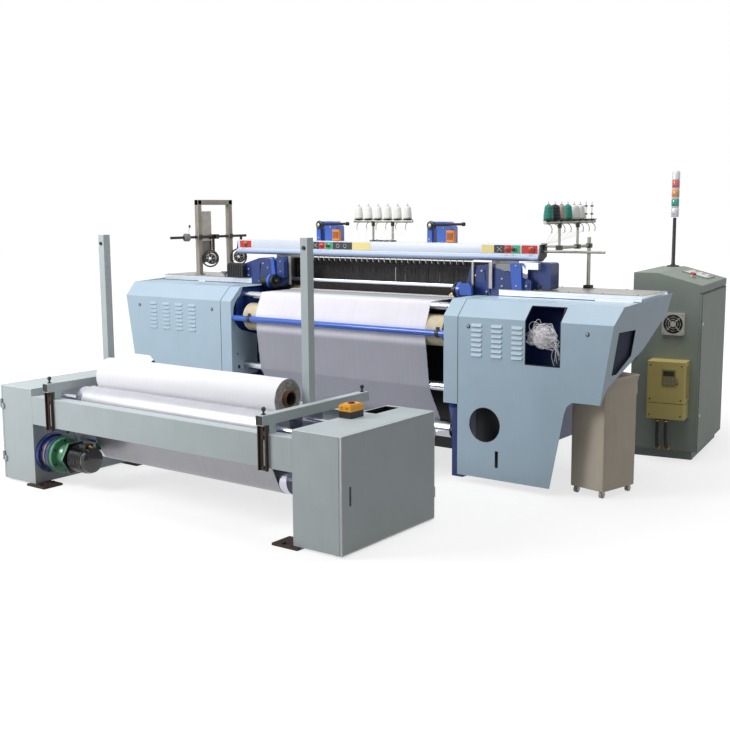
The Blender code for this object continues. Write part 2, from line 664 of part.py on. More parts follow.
def side_frame(side):
    """A cast side frame with two windows, which carries the rollers' bearings."""
    x = sided(side, FRAME_X, FRAME_X + FRAME_THICK)
    back = TUBE_Y[1] + 0.03
    outline = rounded([(0.100, 0, 0), (back, 0, 0), (back, 0.140, 0.03), (back - FRAME_WAIST, 0.300, 0.05),
                       (back - 0.01, TUBE_Z[1], 0.04), (back - 0.31, FRAME_TOP, 0.05),
                       (0.110, FRAME_TOP, 0.01), (0.060, 1.060, 0.01), (0.060, 0.450, 0.04),
                       (0.100, 0.300, 0.04)])
    plate = prism(outline, "X", *x)
    window = rounded([(y, z, 0.06) for y, z in ((FRAME_WINDOW_Y[0], FRAME_WINDOW_Z[0]),
                                                (FRAME_WINDOW_Y[1], FRAME_WINDOW_Z[0]),
                                                (FRAME_WINDOW_Y[1], FRAME_WINDOW_Z[1]),
                                                (FRAME_WINDOW_Y[0], FRAME_WINDOW_Z[1]))])
    cuts = [prism(window, "X", x[0] - 1, x[1] + 1)]
    for y, z in ROLLER_AXES:
        cuts.append(shaft_hole(side, y, z))
    return cut(plate, *cuts)


def shaft_hole(side, y, z):
    start = min(side * (FRAME_X - 0.01), side * (FRAME_X + BEARING_DEPTH))
    long = BEARING_DEPTH + 0.01
    hole = [(0, 0), (0, SHAFT_R + RUN_GAP), (long, SHAFT_R + RUN_GAP), (long, 0)]
    return turned(hole, "X", (start, y, z), 20)


def bent_sheet(side, start, end, low):
    """The covers' folded front: upright, slope and flat top."""
    face = [(0, low), (0, FOLD_Z), (SLOPE_Y, SLOPE_Z), (FLAT_Y, SLOPE_Z)]
    inner = [(FLAT_Y, SLOPE_Z - SHEET), (SLOPE_Y + SHEET * 0.4, SLOPE_Z - SHEET),
             (SHEET, FOLD_Z - SHEET * 0.4), (SHEET, low)]
    return prism(face + inner, "X", *sided(side, start, end))


def cover_strip(side):
    """The inner strip of a front cover, with a side panel cut out round the rollers."""
    strip = bent_sheet(side, STRIP_X, STRIP_X + STRIP_WIDE, STRIP_LOW)
    panel = [(0.001, STRIP_LOW), (0.001, FOLD_Z), (SLOPE_Y, SLOPE_Z - 0.001), (0.131, SLOPE_Z - 0.001)]
    panel += arc((TAKEUP_Y, TAKEUP_Z + 0.03), 0.140, 118, 262, 10)
    panel += [(STRIP_DEEP, 0.777), (STRIP_DEEP, STRIP_LOW)]
    return join(strip, prism(panel, "X", *sided(side, STRIP_X, STRIP_X + SHEET)))


def louvres(side):
    """All the louvre hoods of a front cover, and the spaces under them, as two objects."""
    hoods, spaces = bmesh.new(), bmesh.new()
    depth = SHEET / 2
    slope = (LOUVRE_PROUD + depth) / LOUVRE_HIGH
    for column in range(LOUVRE_COLUMNS[side]):
        near = LOUVRE_FIRST[side] + column * LOUVRE_STEP
        far = near + LOUVRE_WIDE
        for row in range(LOUVRE_ROWS):
            top = LOUVRE_TOP - row * LOUVRE_PITCH
            low = top - LOUVRE_HIGH
            ends = [[(side * x, depth, top), (side * x, depth, low), (side * lip, -LOUVRE_PROUD, low)]
                    for x, lip in ((near, near + LOUVRE_END), (far, far - LOUVRE_END))]
            skin(hoods, *ends)
            high, under = top - 2 * LOUVRE_WALL, low - 0.0005
            back = slope * (high - low) - LOUVRE_PROUD + LOUVRE_WALL
            reach = LOUVRE_END + LOUVRE_WALL
            space = [[(side * x, SHEET + 0.001, high), (side * x, SHEET + 0.001, under),
                      (side * x, LOUVRE_WALL - LOUVRE_PROUD, under), (side * x, back, high)]
                     for x in (near + reach, far - reach)]
            skin(spaces, *space)
    return solid(hoods), solid(spaces)


def front_cover(side):
    """A front cover: one folded sheet cut to its outline, with louvres and a leaning side panel."""
    cover = bent_sheet(side, COVER_IN, COVER_OUT + 0.2, COVER_LOW)
    top = SLOPE_Z + 0.1
    outline = [(COVER_IN, COVER_LOW), (COVER_LOW_OUT, COVER_LOW), (NOTCH_X - 0.008, NOTCH_Z - 0.03),
               (NOTCH_X + 0.008, NOTCH_Z + 0.018), (OVERHANG_X - 0.02, OVERHANG_Z - 0.004),
               (OVERHANG_X, OVERHANG_Z), (edge_at(OVERHANG_Z), OVERHANG_Z), (edge_at(top), top),
               (COVER_IN, top)]
    keep(cover, prism([(side * x, z) for x, z in outline], "Y", -1, 1))
    panel = [(0.001, OVERHANG_Z), (0.001, FOLD_Z), (SLOPE_Y, SLOPE_Z - 0.001), (0.812, 1.169), (0.780, 1.047),
             (0.500, 0.850), (0.060, OVERHANG_Z + 0.09), (0.010, OVERHANG_Z)]
    leaf = prism(panel, "X", *sided(side, COVER_OUT - SHEET, COVER_OUT))
    cut(leaf, prism(LEAF_PORT, "X", *sided(side, COVER_OUT - 1, COVER_OUT + 1)))
    join(cover, lean(leaf, FOLD_Z, side * COVER_LEAN))
    hoods, spaces = louvres(side)
    join(cover, hoods)
    cut(cover, spaces)
    if side > 0:
        window = block(WINDOW_X, (-1, WINDOW_Y), (WINDOW_Z, SLOPE_Z + 1))
        port = turned([(-1, 0), (-1, PORT_R), (0.2, PORT_R), (0.2, 0)], "Y", (PORT_X, 0, PORT_Z), 32)
        vent = block((VENT_X - VENT_WIDE / 2, VENT_X + VENT_WIDE / 2), (-1, 0.1), VENT_Z)
        cut(cover, window, port, vent)
    return cover


def edge_at(height):
    """The outer edge of a front cover at a height."""
    return COVER_OUT + COVER_LEAN * (height - FOLD_Z)


def top_block(side):
    """The aluminium rapier guide box with its steel lid, on the gear case behind the cover."""
    return block(sided(side, *BLOCK_X), BLOCK_Y, BLOCK_Z)


def gear_case(side):
    """The cast case of the rapier gear, with the round cover of the tape wheel at its outer end."""
    inner = FRAME_X + FRAME_THICK + SEAT_GAP
    (front, back), (low, high) = CASE_Y, CASE_Z
    outline = rounded([(front, low + 0.08, 0.05), (front + 0.08, low, 0.05), (back - 0.06, low, 0.05),
                       (back, low + 0.10, 0.05), (back, high, 0.02), (front + 0.05, high, 0.05)])
    case = prism(outline, "X", *sided(side, inner, CASE_OUT))
    pad = block(sided(side, BLOCK_X[0] + 0.002, CASE_OUT - 0.002), (BLOCK_Y[0] + 0.004, back - 0.03),
                (high - 0.001, BLOCK_Z[0] - SEAT_GAP))
    steps = [(-0.010, 0), (-0.010, WHEEL_R), (0.045, WHEEL_R), (0.060, WHEEL_R - 0.025), (0.060, 0.115),
             (0.200, 0.100), (WHEEL_REACH - 0.010, 0.090), (WHEEL_REACH, 0.075), (WHEEL_REACH, 0)]
    wheel = turned([(side * along, radius) for along, radius in steps], "X",
                   (side * CASE_OUT, WHEEL_Y, WHEEL_Z), 32)
    return join(case, pad, wheel)


def operating_rail():
    """An aluminium extrusion, an upright face over a slanted lip, with push buttons near both ends."""
    y, (low, high) = RAIL_Y, RAIL_Z
    section = [(y, high - 0.006), (y + 0.006, high), (y + RAIL_DEEP, high), (y + RAIL_DEEP, low + 0.030),
               (y + 0.030, low), (y + 0.010, low), (y - 0.014, low + 0.016), (y - 0.014, low + 0.030),
               (y, low + 0.040)]
    rail = prism(section, "X", -RAIL_HALF, RAIL_HALF)
    half = BUTTON_R * 0.6
    button = [(0.001, 0), (0.001, half), (-0.012, half), (-0.012, BUTTON_R), (-BUTTON_PROUD, BUTTON_R * 0.8),
              (-BUTTON_PROUD, 0)]
    z = (low + 0.040 + high) / 2
    places = [side * (RAIL_HALF - reach) for side in (-1, 1) for reach in BUTTONS[side]]
    return join(rail, *[turned(button, "Y", (x, y, z), 12) for x in places])


def harness_gantry():
    """Two uprights on the side frames, which guide the heald frames, and the beam across their tops."""
    beam = block((-FRAME_X - 0.060, FRAME_X + 0.060), GANTRY_Y, (RAIL_Z[0], RAIL_Z[1] - 0.01))
    back = HEALD_Y + HEALD_PITCH + 0.04
    posts = [block(sided(side, FRAME_X, FRAME_X + 0.060), (REED_Y + 0.02, back),
                   (FRAME_TOP + SEAT_GAP, RAIL_Z[0] + 0.02)) for side in (-1, 1)]
    return join(beam, *posts)


def reed():
    """The reed with the rounded cap that holds its dents."""
    dents = block((-FRAME_X + SEAT_GAP, FRAME_X - SEAT_GAP), (REED_Y, REED_Y + REED_THICK), REED_Z)
    middle, high = REED_Y + REED_THICK / 2, REED_Z[1]
    cap = rounded([(middle - 0.011, high - 0.024, 0), (middle + 0.011, high - 0.024, 0),
                   (middle + 0.011, high + 0.001, 0.006), (middle - 0.011, high + 0.001, 0.006)], 3)
    return join(dents, prism(cap, "X", -FRAME_X + SEAT_GAP, FRAME_X - SEAT_GAP))


def heald_frame(y):
    """A heald frame: two rails and two stays with the healds strung between them."""
    low, high = HEALD_Z
    half = FRAME_X - RUN_GAP
    frame = block((-half, half), (y - 0.006, y + 0.006), (low, high))
    hole_low, hole_high = low + 0.050, high - 0.050
    inner = half - 0.020
    cut(frame, block((-inner, inner), (y - 1, y + 1), (hole_low, hole_high)))
    count = 24
    healds = []
    for index in range(count):
        x = -inner + 2 * inner * (index + 0.5) / count
        healds.append(block((x - 0.004, x + 0.004), (y - 0.002, y + 0.002),
                            (hole_low - 0.002, hole_high + 0.002)))
    return join(frame, *healds)


def on_circle(centre, radius, angle, ahead):
    """The point just off a circle that a tangent at an angle, in degrees, reaches."""
    reach = hypot(radius, ahead)
    return (centre[0] + reach * cos(radians(angle)), centre[1] + reach * sin(radians(angle)))


def loom_cloth():
    """The woven cloth from the fell to the return roller, over the breast and take-up rollers."""
    off = CLOTH_THICK / 2 + RUN_GAP
    stops = [((FELL_Y, BREAST_Z + BREAST_R + off), 0, 1), ((BREAST_Y, BREAST_Z), BREAST_R + off, 1),
             ((TAKEUP_Y, TAKEUP_Z), TAKEUP_R + off, 1), ((BAR_Y, BAR_Z), BAR_R + off, 1),
             ((RETURN_Y, RETURN_Z), RETURN_R + off, -1),
             ((RETURN_Y - CLOTH_CUT, RETURN_Z - RETURN_R - off - 0.001), 0, 1)]
    return sheet_along(web_path(stops), CLOTH_WIDTH / 2, CLOTH_THICK)


def cloth_run():
    """The cloth that runs to the batching unit, round the lower drum and over the front drum."""
    off = CLOTH_THICK / 2 + RUN_GAP
    front = (DRUM_Y - DRUM_PITCH / 2, DRUM_Z)
    end = on_circle(front, DRUM_R + off, NIP_ANGLE, 0.002)
    stops = [((RETURN_Y - CLOTH_CUT - SEAT_GAP, RETURN_Z - RETURN_R - off - 0.001), 0, 1),
             ((DRUM_Y, LOWER_DRUM_Z), DRUM_R + off, -1), (front, DRUM_R + off, -1), (end, 0, 1)]
    return sheet_along(web_path(stops), CLOTH_WIDTH / 2, CLOTH_THICK)


def warp_sheet():
    """The warp from its beam over the back rest to the healds."""
    off = CLOTH_THICK / 2 + RUN_GAP
    start = on_circle((BEAM_Y, WARP_Z), WARP_R + off, WARP_OFF_ANGLE, 0.002)
    stops = [(start, 0, 1), ((BEAM_Y, WARP_Z), WARP_R + off, 1),
             ((BACKREST_Y, BACKREST_Z), BACKREST_R + off, 1),
             ((HEALD_Y + HEALD_PITCH + 0.020, BREAST_Z + BREAST_R + off), 0, 1)]
    return sheet_along(web_path(stops), CLOTH_WIDTH / 2, CLOTH_THICK)


def warp_beam():
    """The beam of warp yarn between its two flanges."""
    half = CLOTH_WIDTH / 2 + 0.01
    shaft = FRAME_X + BEARING_DEPTH - 0.002
    side = [(shaft, 0), (shaft, SHAFT_R), (half + FLANGE_THICK, SHAFT_R), (half + FLANGE_THICK, FLANGE_R),
            (half, FLANGE_R), (half, WARP_R)]
    profile = [(-a, r) for a, r in side] + side[::-1]
    return turned(profile, "X", (0, BEAM_Y, WARP_Z), 32)


def rapier_drive(side):
    """The blue rounded casting over the side frame that houses the rapier drive."""
    low, step, outer = FRAME_TOP + SEAT_GAP, BLOCK_X[0] - SEAT_GAP, BLOCK_Z[1] + SEAT_GAP
    corners = [(DRIVE_X[0], low, 0.01), (step, low, 0), (step, outer, 0), (DRIVE_X[1], outer, 0.02),
               (DRIVE_X[1], outer + 0.06, 0.03), (DRIVE_NECK[1], DRIVE_TOP, 0.03),
               (DRIVE_NECK[0], DRIVE_TOP - 0.015, 0.03)]
    casting = prism(rounded([(side * a, b, r) for a, b, r in corners]), "Y", *DRIVE_Y)
    front = DRIVE_Y[0]
    clamp = [(0.001, 0), (0.001, CLAMP_R), (-0.012, CLAMP_R), (-0.012, CLAMP_R - 0.008),
             (-0.040, CLAMP_R - 0.010), (-0.040, 0)]
    neck = DRIVE_NECK[1]
    corners = [(neck, low + 0.03), (neck + 0.03, low + 0.03), (neck + 0.02, DRIVE_TOP - 0.05),
               (neck - 0.01, DRIVE_TOP - 0.04)]
    rib = prism([(side * a, b) for a, b in corners], "Y", front - 0.008, front + 0.001)
    return join(casting, turned(clamp, "Y", (side * CLAMP_X, front, CLAMP_Z), 24), rib)


def arch_bracket(side):
    """A blue arch on the top beam, which holds a sensor block."""
    x = side * ARCH_X
    low = RAIL_Z[1] - 0.01 + SEAT_GAP
    half = ARCH_WIDE / 2
    outline = rounded([(x - half, low, 0), (x + half, low, 0), (x + half, low + ARCH_HIGH * 0.75, 0.03),
                       (x + half * 0.6, low + ARCH_HIGH, 0.02), (x - half, low + ARCH_HIGH, 0.025)])
    arch = prism(outline, "Y", *GANTRY_Y)
    gap = rounded([(x - half * 0.6, low - 0.1, 0), (x - half * 0.15, low - 0.1, 0),
                   (x - half * 0.15, low + ARCH_HIGH * 0.7, 0.015),
                   (x - half * 0.6, low + ARCH_HIGH * 0.7, 0.015)])
    return cut(arch, prism(gap, "Y", -1, 2))


def creel(side):
    """Yarn cones on the pins of a bar: the left creel stands on the gantry, the right one on its own post."""
    count = CREEL_PINS[side]
    half = count * PIN_PITCH / 2
    foot = RAIL_Z[1] - 0.01 + SEAT_GAP if side < 0 else BLOCK_Z[1] + SEAT_GAP
    low = foot + 0.008 if side < 0 else CREEL_RAIL_Z
    parts = [rod((x, 0, low), (x, 0, CREEL_Z), 0.008, 8) for x in CREEL_LEGS[side]]
    for index in range(count):
        stop = CONE_R + 0.006
        profile = [(0.004, 0), (0.004, 0.004), (0.013, stop), (0.016, stop)]
        if index < CREEL_CONES:
            profile += [(0.016, CONE_R), (CONE_HIGH, CONE_R * 0.66), (CONE_HIGH, PIN_R)]
        else:
            profile += [(0.019, PIN_R)]
        profile += [(PIN_TOP, PIN_R), (PIN_TOP, 0)]
        parts.append(turned(profile, "Z", ((index + 0.5) * PIN_PITCH - half, 0, CREEL_Z), 12))
    if side < 0:
        parts.append(block((CREEL_LEGS[side][0] - 0.02, CREEL_LEGS[side][1] + 0.02), (-0.018, 0.018),
                           (foot, foot + 0.018)))
    else:
        parts.append(rod((CREEL_LEGS[side][0] - 0.012, 0, low), (CREEL_POST + 0.035, 0, low), 0.0095, 10))
        parts.append(rod((CREEL_POST, 0, foot + 0.001), (CREEL_POST, 0, CREEL_POST_TOP), 0.012, 12))
        parts.append(block((CREEL_POST - 0.022, CREEL_POST + 0.022), (-0.025, 0.025), (foot, foot + 0.020)))
    bar = rod((-half, 0, CREEL_Z), (half, 0, CREEL_Z), 0.011, 12)
    join(bar, *parts)
    turn = Matrix.Rotation(radians(CREEL_TURN[side]), 4, "Z")
    bar.data.transform(Matrix.Translation((*CREEL_AT[side], 0)) @ turn)
    return bar


def feeder_stand():
    """A square-tube frame on the rapier guide box, with two plates, a rod across it and a yarn brake."""
    half = STAND_TUBE / 2
    low, (front, back) = BLOCK_Z[1] + SEAT_GAP, STAND_Y
    x = (STAND_X - half, STAND_X + half)
    frame = block(x, STAND_Y, (low, STAND_TOP))
    cut(frame, block((x[0] - 1, x[1] + 1), (front + STAND_TUBE, back - STAND_TUBE),
                     (low - 1, STAND_TOP - STAND_TUBE)))
    bar = rod((STAND_X, STAND_ROD[0], ROD_Z), (STAND_X, STAND_ROD[1], ROD_Z), ROD_R)
    plate = block((x[0], x[0] + SHEET),
                  (front + STAND_TUBE - 0.002, front + STAND_TUBE + PLATE_DEEP), PLATE_Z)
    brake = [(-0.016, 0), (-0.016, BRAKE_R), (-0.010, BRAKE_R), (-0.006, BRAKE_R * 0.5),
             (0.006, BRAKE_R * 0.5), (0.010, BRAKE_R), (0.016, BRAKE_R), (0.016, 0)]
    handle = rod((STAND_X, BRAKE_Y + 0.003, ROD_Z + 0.006),
                 (STAND_X, BRAKE_Y + 0.034, ROD_Z + 0.085), 0.004, 8)
    return join(frame, bar, plate, turned(brake, "X", (STAND_X, BRAKE_Y, ROD_Z), 16), handle)


def weft_feeder(y):
    """A weft accumulator, hung from the stand's rod: motor housing, yarn drum and spoked balloon ring."""
    body = turned([(-0.085, 0), (-0.085, 0.030), (-0.070, 0.044), (-0.010, 0.044), (-0.010, 0.050),
                   (0.0, 0.050), (0.0, 0.040), (0.060, 0.036), (0.060, 0.011), (0.084, 0.011), (0.084, 0)],
                  "X", (0, 0, 0), 16)
    inner = FEEDER_R - 0.010
    ring = turned([(0.072, inner), (0.072, FEEDER_R), (0.082, FEEDER_R), (0.082, inner), (0.072, inner)],
                  "X", (0, 0, 0), 20)
    spokes = []
    for step in range(3):
        spoke = block((0.074, 0.080), (-0.004, 0.004), (0.006, inner + 0.004))
        spoke.data.transform(Matrix.Rotation(2 * pi * step / 3 + 0.1, 4, "X"))
        spokes.append(spoke)
    arm = block((-FEEDER_REACH - 0.012, -0.050), (-0.009, 0.009), (0.026, 0.040))
    stem = block((-FEEDER_REACH - 0.010, -FEEDER_REACH + 0.010), (-0.010, 0.010),
                 (0.030, ROD_Z - ROD_R - SEAT_GAP - FEEDER_Z))
    join(body, ring, *spokes, arm, stem)
    turn = Matrix.Rotation(radians(FEEDER_TURN), 4, "Z")
    reach = Matrix.Translation((FEEDER_REACH, 0, 0))
    body.data.transform(Matrix.Translation((STAND_X, y, FEEDER_Z)) @ turn @ reach)
    return body


def cabinet_body():
    """The control cabinet: a sheet case with a sloped console top, open at its right side."""
    left, edge, flat = -CABINET_WIDE, -CABINET_DOOR - RUN_GAP, CABINET_FLAT - CABINET_WIDE
    lip_low = CABINET_LIP_Z - CABINET_LIP_HIGH
    profile = [(left, PLINTH), (left, CABINET_HIGH), (flat, CABINET_HIGH), (0.0, CABINET_LIP_Z),
               (0.0, lip_low), (edge, lip_low), (edge, PLINTH)]
    case = prism(profile, "Y", 0.0, CABINET_DEEP)
    space = [(left + SHEET, PLINTH + SHEET), (left + SHEET, CABINET_HIGH - SHEET),
             (flat, CABINET_HIGH - SHEET), (-0.03, CABINET_LIP_Z), (-0.03, lip_low - SHEET),
             (1, lip_low - SHEET), (1, PLINTH + SHEET)]
    cut(case, prism(space, "Y", SHEET, CABINET_DEEP - SHEET))
    plinth = block((left + 0.02, edge - 0.02), (0.02, CABINET_DEEP - 0.02), (0, PLINTH + 0.001))
    fall = Vector((-flat, CABINET_LIP_Z - CABINET_HIGH))
    out = Vector((-fall.y, fall.x)).normalized()
    top = Vector((flat, CABINET_HIGH))
    panel = [top + fall * share + out * height
             for share, height in ((0.22, -0.002), (0.82, -0.002), (0.82, 0.006), (0.22, 0.006))]
    profile = [(-0.004, 0), (-0.004, 0.020), (0.010, 0.020), (0.010, 0.011), (0.021, 0.011), (0.021, 0.019),
               (0.034, 0.016), (0.034, 0)]
    knob = turned(profile, "Z", (0, 0, 0), 16)
    at = top + fall * KNOB_AT[0]
    turn = Matrix.Rotation(atan2(out.x, out.y), 4, "Y")
    knob.data.transform(Matrix.Translation((at.x, KNOB_AT[1], at.y)) @ turn)
    return join(case, plinth, prism([tuple(point) for point in panel], "Y", *PANEL_Y), knob)


def inverter():
    """The drive's inverter with its keypad, and the two hoses that carry its leads into the cabinet."""
    left = INVERTER_IN - CABINET_WIDE
    right, deep, (low, high) = left + INVERTER_WIDE, INVERTER_DEEP, INVERTER_Z
    corners = [(left, -SEAT_GAP, 0), (left, -deep, 0.012), (right, -deep, 0.012), (right, -SEAT_GAP, 0)]
    case = prism(rounded(corners, 3), "Z", low, high)
    keypad = block((left + 0.10, right - 0.06), (-deep - 0.006, 0.001 - deep), (high - 0.16, high - 0.05))
    seam = block((left - 1, right + 1), (-deep - 1, -deep * 0.62), (low + 0.105, low + 0.109))
    cut(case, seam)
    hoses = []
    for enter, leave in HOSE_IN:
        start, end = left + leave, enter - CABINET_WIDE
        middle = -deep * 0.5
        path = curve(((start, middle, low - 0.004), (start, middle, HOSE_Z + 0.02), (end, middle, HOSE_Z),
                      (end, -0.010, HOSE_Z)), 8)
        hoses.append(hose([(start, middle, low + 0.004)] + path, HOSE_R))
        hoses.append(rod((end, -0.014, HOSE_Z), (end, -SEAT_GAP, HOSE_Z), HOSE_R * 1.7, 12))
        hoses.append(rod((start, middle, low - 0.016), (start, middle, low + 0.001), HOSE_R * 1.6, 12))
    return join(case, keypad, *hoses)


def fan_guard():
    """The finger guard of the cabinet's fan: a square pan whose face is pierced between rings and spokes."""
    x, z, half = FAN_IN - CABINET_WIDE + FAN_SIZE / 2, FAN_Z + FAN_SIZE / 2, FAN_SIZE / 2
    corners = ((x - half, z - half), (x + half, z - half), (x + half, z + half), (x - half, z + half))
    frame = prism(rounded([(a, b, 0.010) for a, b in corners], 2), "Y", -FAN_DEEP, -SEAT_GAP)
    outer = half - FAN_EDGE
    hollow = [(FAN_FACE - FAN_DEEP, 0), (FAN_FACE - FAN_DEEP, outer), (1, outer), (1, 0)]
    cut(frame, turned(hollow, "Y", (x, 0, z), 24))
    pierced = bmesh.new()
    for low, high in zip(FAN_RINGS, FAN_RINGS[1:]):
        near, far = half * low + FAN_BAR / 2, half * high - FAN_BAR / 2
        for quarter in (45, 135, 225, 315):
            ends = [degrees(FAN_BAR / 2 / radius) for radius in (near, far)]
            outline = arc((x, z), far, quarter + ends[1], quarter + 90 - ends[1], 4)
            outline += arc((x, z), near, quarter + 90 - ends[0], quarter + ends[0], 2)
            inside = FAN_FACE - FAN_DEEP + 0.001
            skin(pierced, [(a, -1, b) for a, b in outline], [(a, inside, b) for a, b in outline])
    return cut(frame, solid(pierced))


def cabinet_door():
    """The cabinet's door, a pan of sheet, hinged at its back edge."""
    low, high = PLINTH, CABINET_LIP_Z - CABINET_LIP_HIGH - 0.005
    door = block((-CABINET_DOOR, 0.0), (0.0, CABINET_DEEP), (low, high))
    return cut(door, block((-1, -SHEET), (SHEET, CABINET_DEEP - SHEET), (low + SHEET, high - SHEET)))


def signal_tower():
    """A stack of lamps with a groove under each, on a pole with a flange."""
    profile = [(0, 0), (0, 0.045), (0.008, 0.045), (0.012, 0.014), (POLE_TOP, 0.012)]
    for index in range(LAMPS):
        low = POLE_TOP + index * LAMP_HIGH
        profile += [(low, LAMP_R - 0.003), (low + 0.005, LAMP_R)]
    profile += [(POLE_TOP + LAMPS * LAMP_HIGH, LAMP_R - 0.002), (POLE_TOP + LAMPS * LAMP_HIGH, 0)]
    place = (TOWER_IN[0] - CABINET_WIDE, CABINET_DEEP - TOWER_IN[1], CABINET_HIGH + SEAT_GAP)
    return turned(profile, "Z", place, 20)


def in_cabinet(item):
    """Turn and move an object from the cabinet's own corner to its place beside the loom."""
    item.data.transform(Matrix.Translation((*CABINET_AT, 0)) @ Matrix.Rotation(radians(CABINET_TURN), 4, "Z"))
    return item


def waste_bin():
    """An open bin with round corners, a shoulder, a rim and four casters."""
    bm = bmesh.new()
    rings = []
    levels = ((BIN_LOW, 0), (BIN_SHOULDER - 0.015, 0.001), (BIN_SHOULDER, BIN_FLARE),
              (BIN_HIGH - BIN_RIM_HIGH, BIN_FLARE), (BIN_HIGH - BIN_RIM_HIGH, BIN_RIM), (BIN_HIGH, BIN_RIM),
              (BIN_HIGH, BIN_FLARE - BIN_WALL), (BIN_SHOULDER, BIN_FLARE - BIN_WALL),
              (BIN_SHOULDER - 0.015, 0.001 - BIN_WALL), (BIN_LOW + BIN_WALL, -BIN_WALL))
    for z, grow in levels:
        near, far = -grow, BIN_DEEP + grow
        left, right, radius = -BIN_WIDE - grow, grow, BIN_ROUND + grow
        corners = ((left, near), (right, near), (right, far), (left, far))
        outline = rounded([(x, y, radius) for x, y in corners], 2)
        rings.append([bm.verts.new((x, y, z)) for x, y in outline])
    count = len(rings[0])
    for lower, upper in zip(rings, rings[1:]):
        for i in range(count):
            bm.faces.new((lower[i], lower[(i + 1) % count], upper[(i + 1) % count], upper[i]))
    bm.faces.new(rings[0])
    bm.faces.new(rings[-1])
    casters = []
    wheel = [(-0.009, 0), (-0.009, 0.020), (0.009, 0.020), (0.009, 0)]
    for x in (-BIN_WIDE + 0.03, -0.03):
        for y in (0.03, BIN_DEEP - 0.03):
            casters.append(turned(wheel, "X", (x, y, 0.020), 16))
            casters.append(block((x - 0.008, x + 0.008), (y - 0.008, y + 0.008), (0.028, BIN_LOW + 0.001)))
    shell = join(solid(bm), *casters)
    shell.data.transform(Matrix.Translation((*BIN_AT, 0)) @ Matrix.Rotation(radians(BIN_TURN), 4, "Z"))
    return shell


def centre_on_floor():
    """Move the plant so that its origin is the middle of its floor area."""
    bpy.context.view_layer.update()
    corners = [item.matrix_world @ Vector(corner) for item in bpy.data.objects if item.type == "MESH"
               for corner in item.bound_box]
    middle = [(min(c[axis] for c in corners) + max(c[axis] for c in corners)) / 2 for axis in (0, 1)]
    PLANT.location = (-middle[0], -middle[1], 0)


clear_scene()
PLANT = bpy.data.objects.new("plant", None)
bpy.context.scene.collection.objects.link(PLANT)

GANTRY_Y = (RAIL_Y + RAIL_DEEP + SEAT_GAP, GANTRY_BACK)
ARM_Z = (BEAM_Z[1] + 0.047, BEAM_Z[1] + 0.047 + ARM_HIGH)
ROLL_Z = DRUM_Z + sqrt((ROLL_R + DRUM_R + RUN_GAP) ** 2 - (DRUM_PITCH / 2) ** 2)
DRUM_AXES = ((DRUM_Y - DRUM_PITCH / 2, DRUM_Z), (DRUM_Y + DRUM_PITCH / 2, DRUM_Z), (DRUM_Y, LOWER_DRUM_Z))
ROLLER_AXES = ((BREAST_Y, BREAST_Z), (TAKEUP_Y, TAKEUP_Z), (RETURN_Y, RETURN_Z), (BACKREST_Y, BACKREST_Z),
               (BEAM_Y, WARP_Z))

PALE_BLUE = finish_of("pale_blue_paint", "B4C8CE", 0.45)
GREY_GREEN = finish_of("grey_green_paint", "A9B8B4", 0.50)
CAST_BLUE = finish_of("cast_blue_paint", "1D3A78", 0.50)
BRIGHT_BLUE = finish_of("bright_blue_paint", "3A62B4", 0.40)
DARK_BROWN = finish_of("dark_bracket", "3A2A22", 0.60, 0.4)
STEEL = finish_of("bright_steel", "B9BCC0", 0.25, 1.0)
ALUMINIUM = finish_of("aluminium", "D5DCE4", 0.35, 0.9)
CLOTH = finish_of("white_cloth", "EEEDEA", 0.90)
BLACK = finish_of("black_enamel", "17181A", 0.35)
BEIGE_RUBBER = finish_of("beige_rubber", "C9BEA6", 0.75)
DARK_HARNESS = finish_of("dark_harness", "2A2828", 0.55, 0.3)
YELLOW = finish_of("yellow_plastic", "E8A523", 0.40)
OLIVE = finish_of("olive_plastic", "B7A146", 0.50)
BIN_BEIGE = finish_of("bin_plastic", "C9C4B8", 0.60)
YARN = finish_of("yarn", "E8E8E6", 0.85)

for side, name in ((-1, "left"), (1, "right")):
    node(f"batcher_{name}_housing", housing(side), GREY_GREEN, smooth=False)
    node(f"batcher_{name}_door", housing_door(side), GREY_GREEN, (*hinge_axis(side), 0.0), smooth=False)
    node(f"{name}_slotted_bracket", slotted_bracket(side), DARK_BROWN, smooth=False)
    node(f"{name}_guide_arm", guide_arm(side), GREY_GREEN, smooth=False)
    node(f"{name}_guide_post", guide_post(side), GREY_GREEN, smooth=False)
    node(f"loom_{name}_frame", side_frame(side), CAST_BLUE)
    node(f"{name}_cover_strip", cover_strip(side), PALE_BLUE, smooth=False)
    node(f"{name}_front_cover", front_cover(side), PALE_BLUE, smooth=False)
    node(f"{name}_rapier_guide_box", top_block(side), ALUMINIUM, smooth=False)
    node(f"{name}_gear_case", gear_case(side), CAST_BLUE)
    node(f"{name}_rapier_drive", rapier_drive(side), CAST_BLUE)
    node(f"{name}_arch_bracket", arch_bracket(side), BRIGHT_BLUE)
    node(f"{name}_yarn_creel", creel(side), YARN)
node("batcher_front_beam", channel_beam(BATCH_FRONT, True), GREY_GREEN, smooth=False)
node("batcher_rear_beam", channel_beam(BATCH_FRONT + BATCH_DEPTH - BEAM_DEEP, False), GREY_GREEN,
     smooth=False)
DRUM_SHAFT = BATCH_INNER - 0.002
for name, axis in zip(("front_drum", "rear_drum", "lower_drum"), DRUM_AXES):
    node(name, shafted(DRUM_LONG / 2, DRUM_R, DRUM_SHAFT, axis), STEEL, (0, *axis))
node("cloth_roll", cloth_roll(), CLOTH, (0, DRUM_Y, ROLL_Z))
node("batcher_gearbox", gearbox(), CAST_BLUE)
node("batcher_motor", gearmotor(), BLACK)
node("push_button_box", push_button_box(), YELLOW)
ROLLER_SHAFT = FRAME_X + BEARING_DEPTH - 0.002
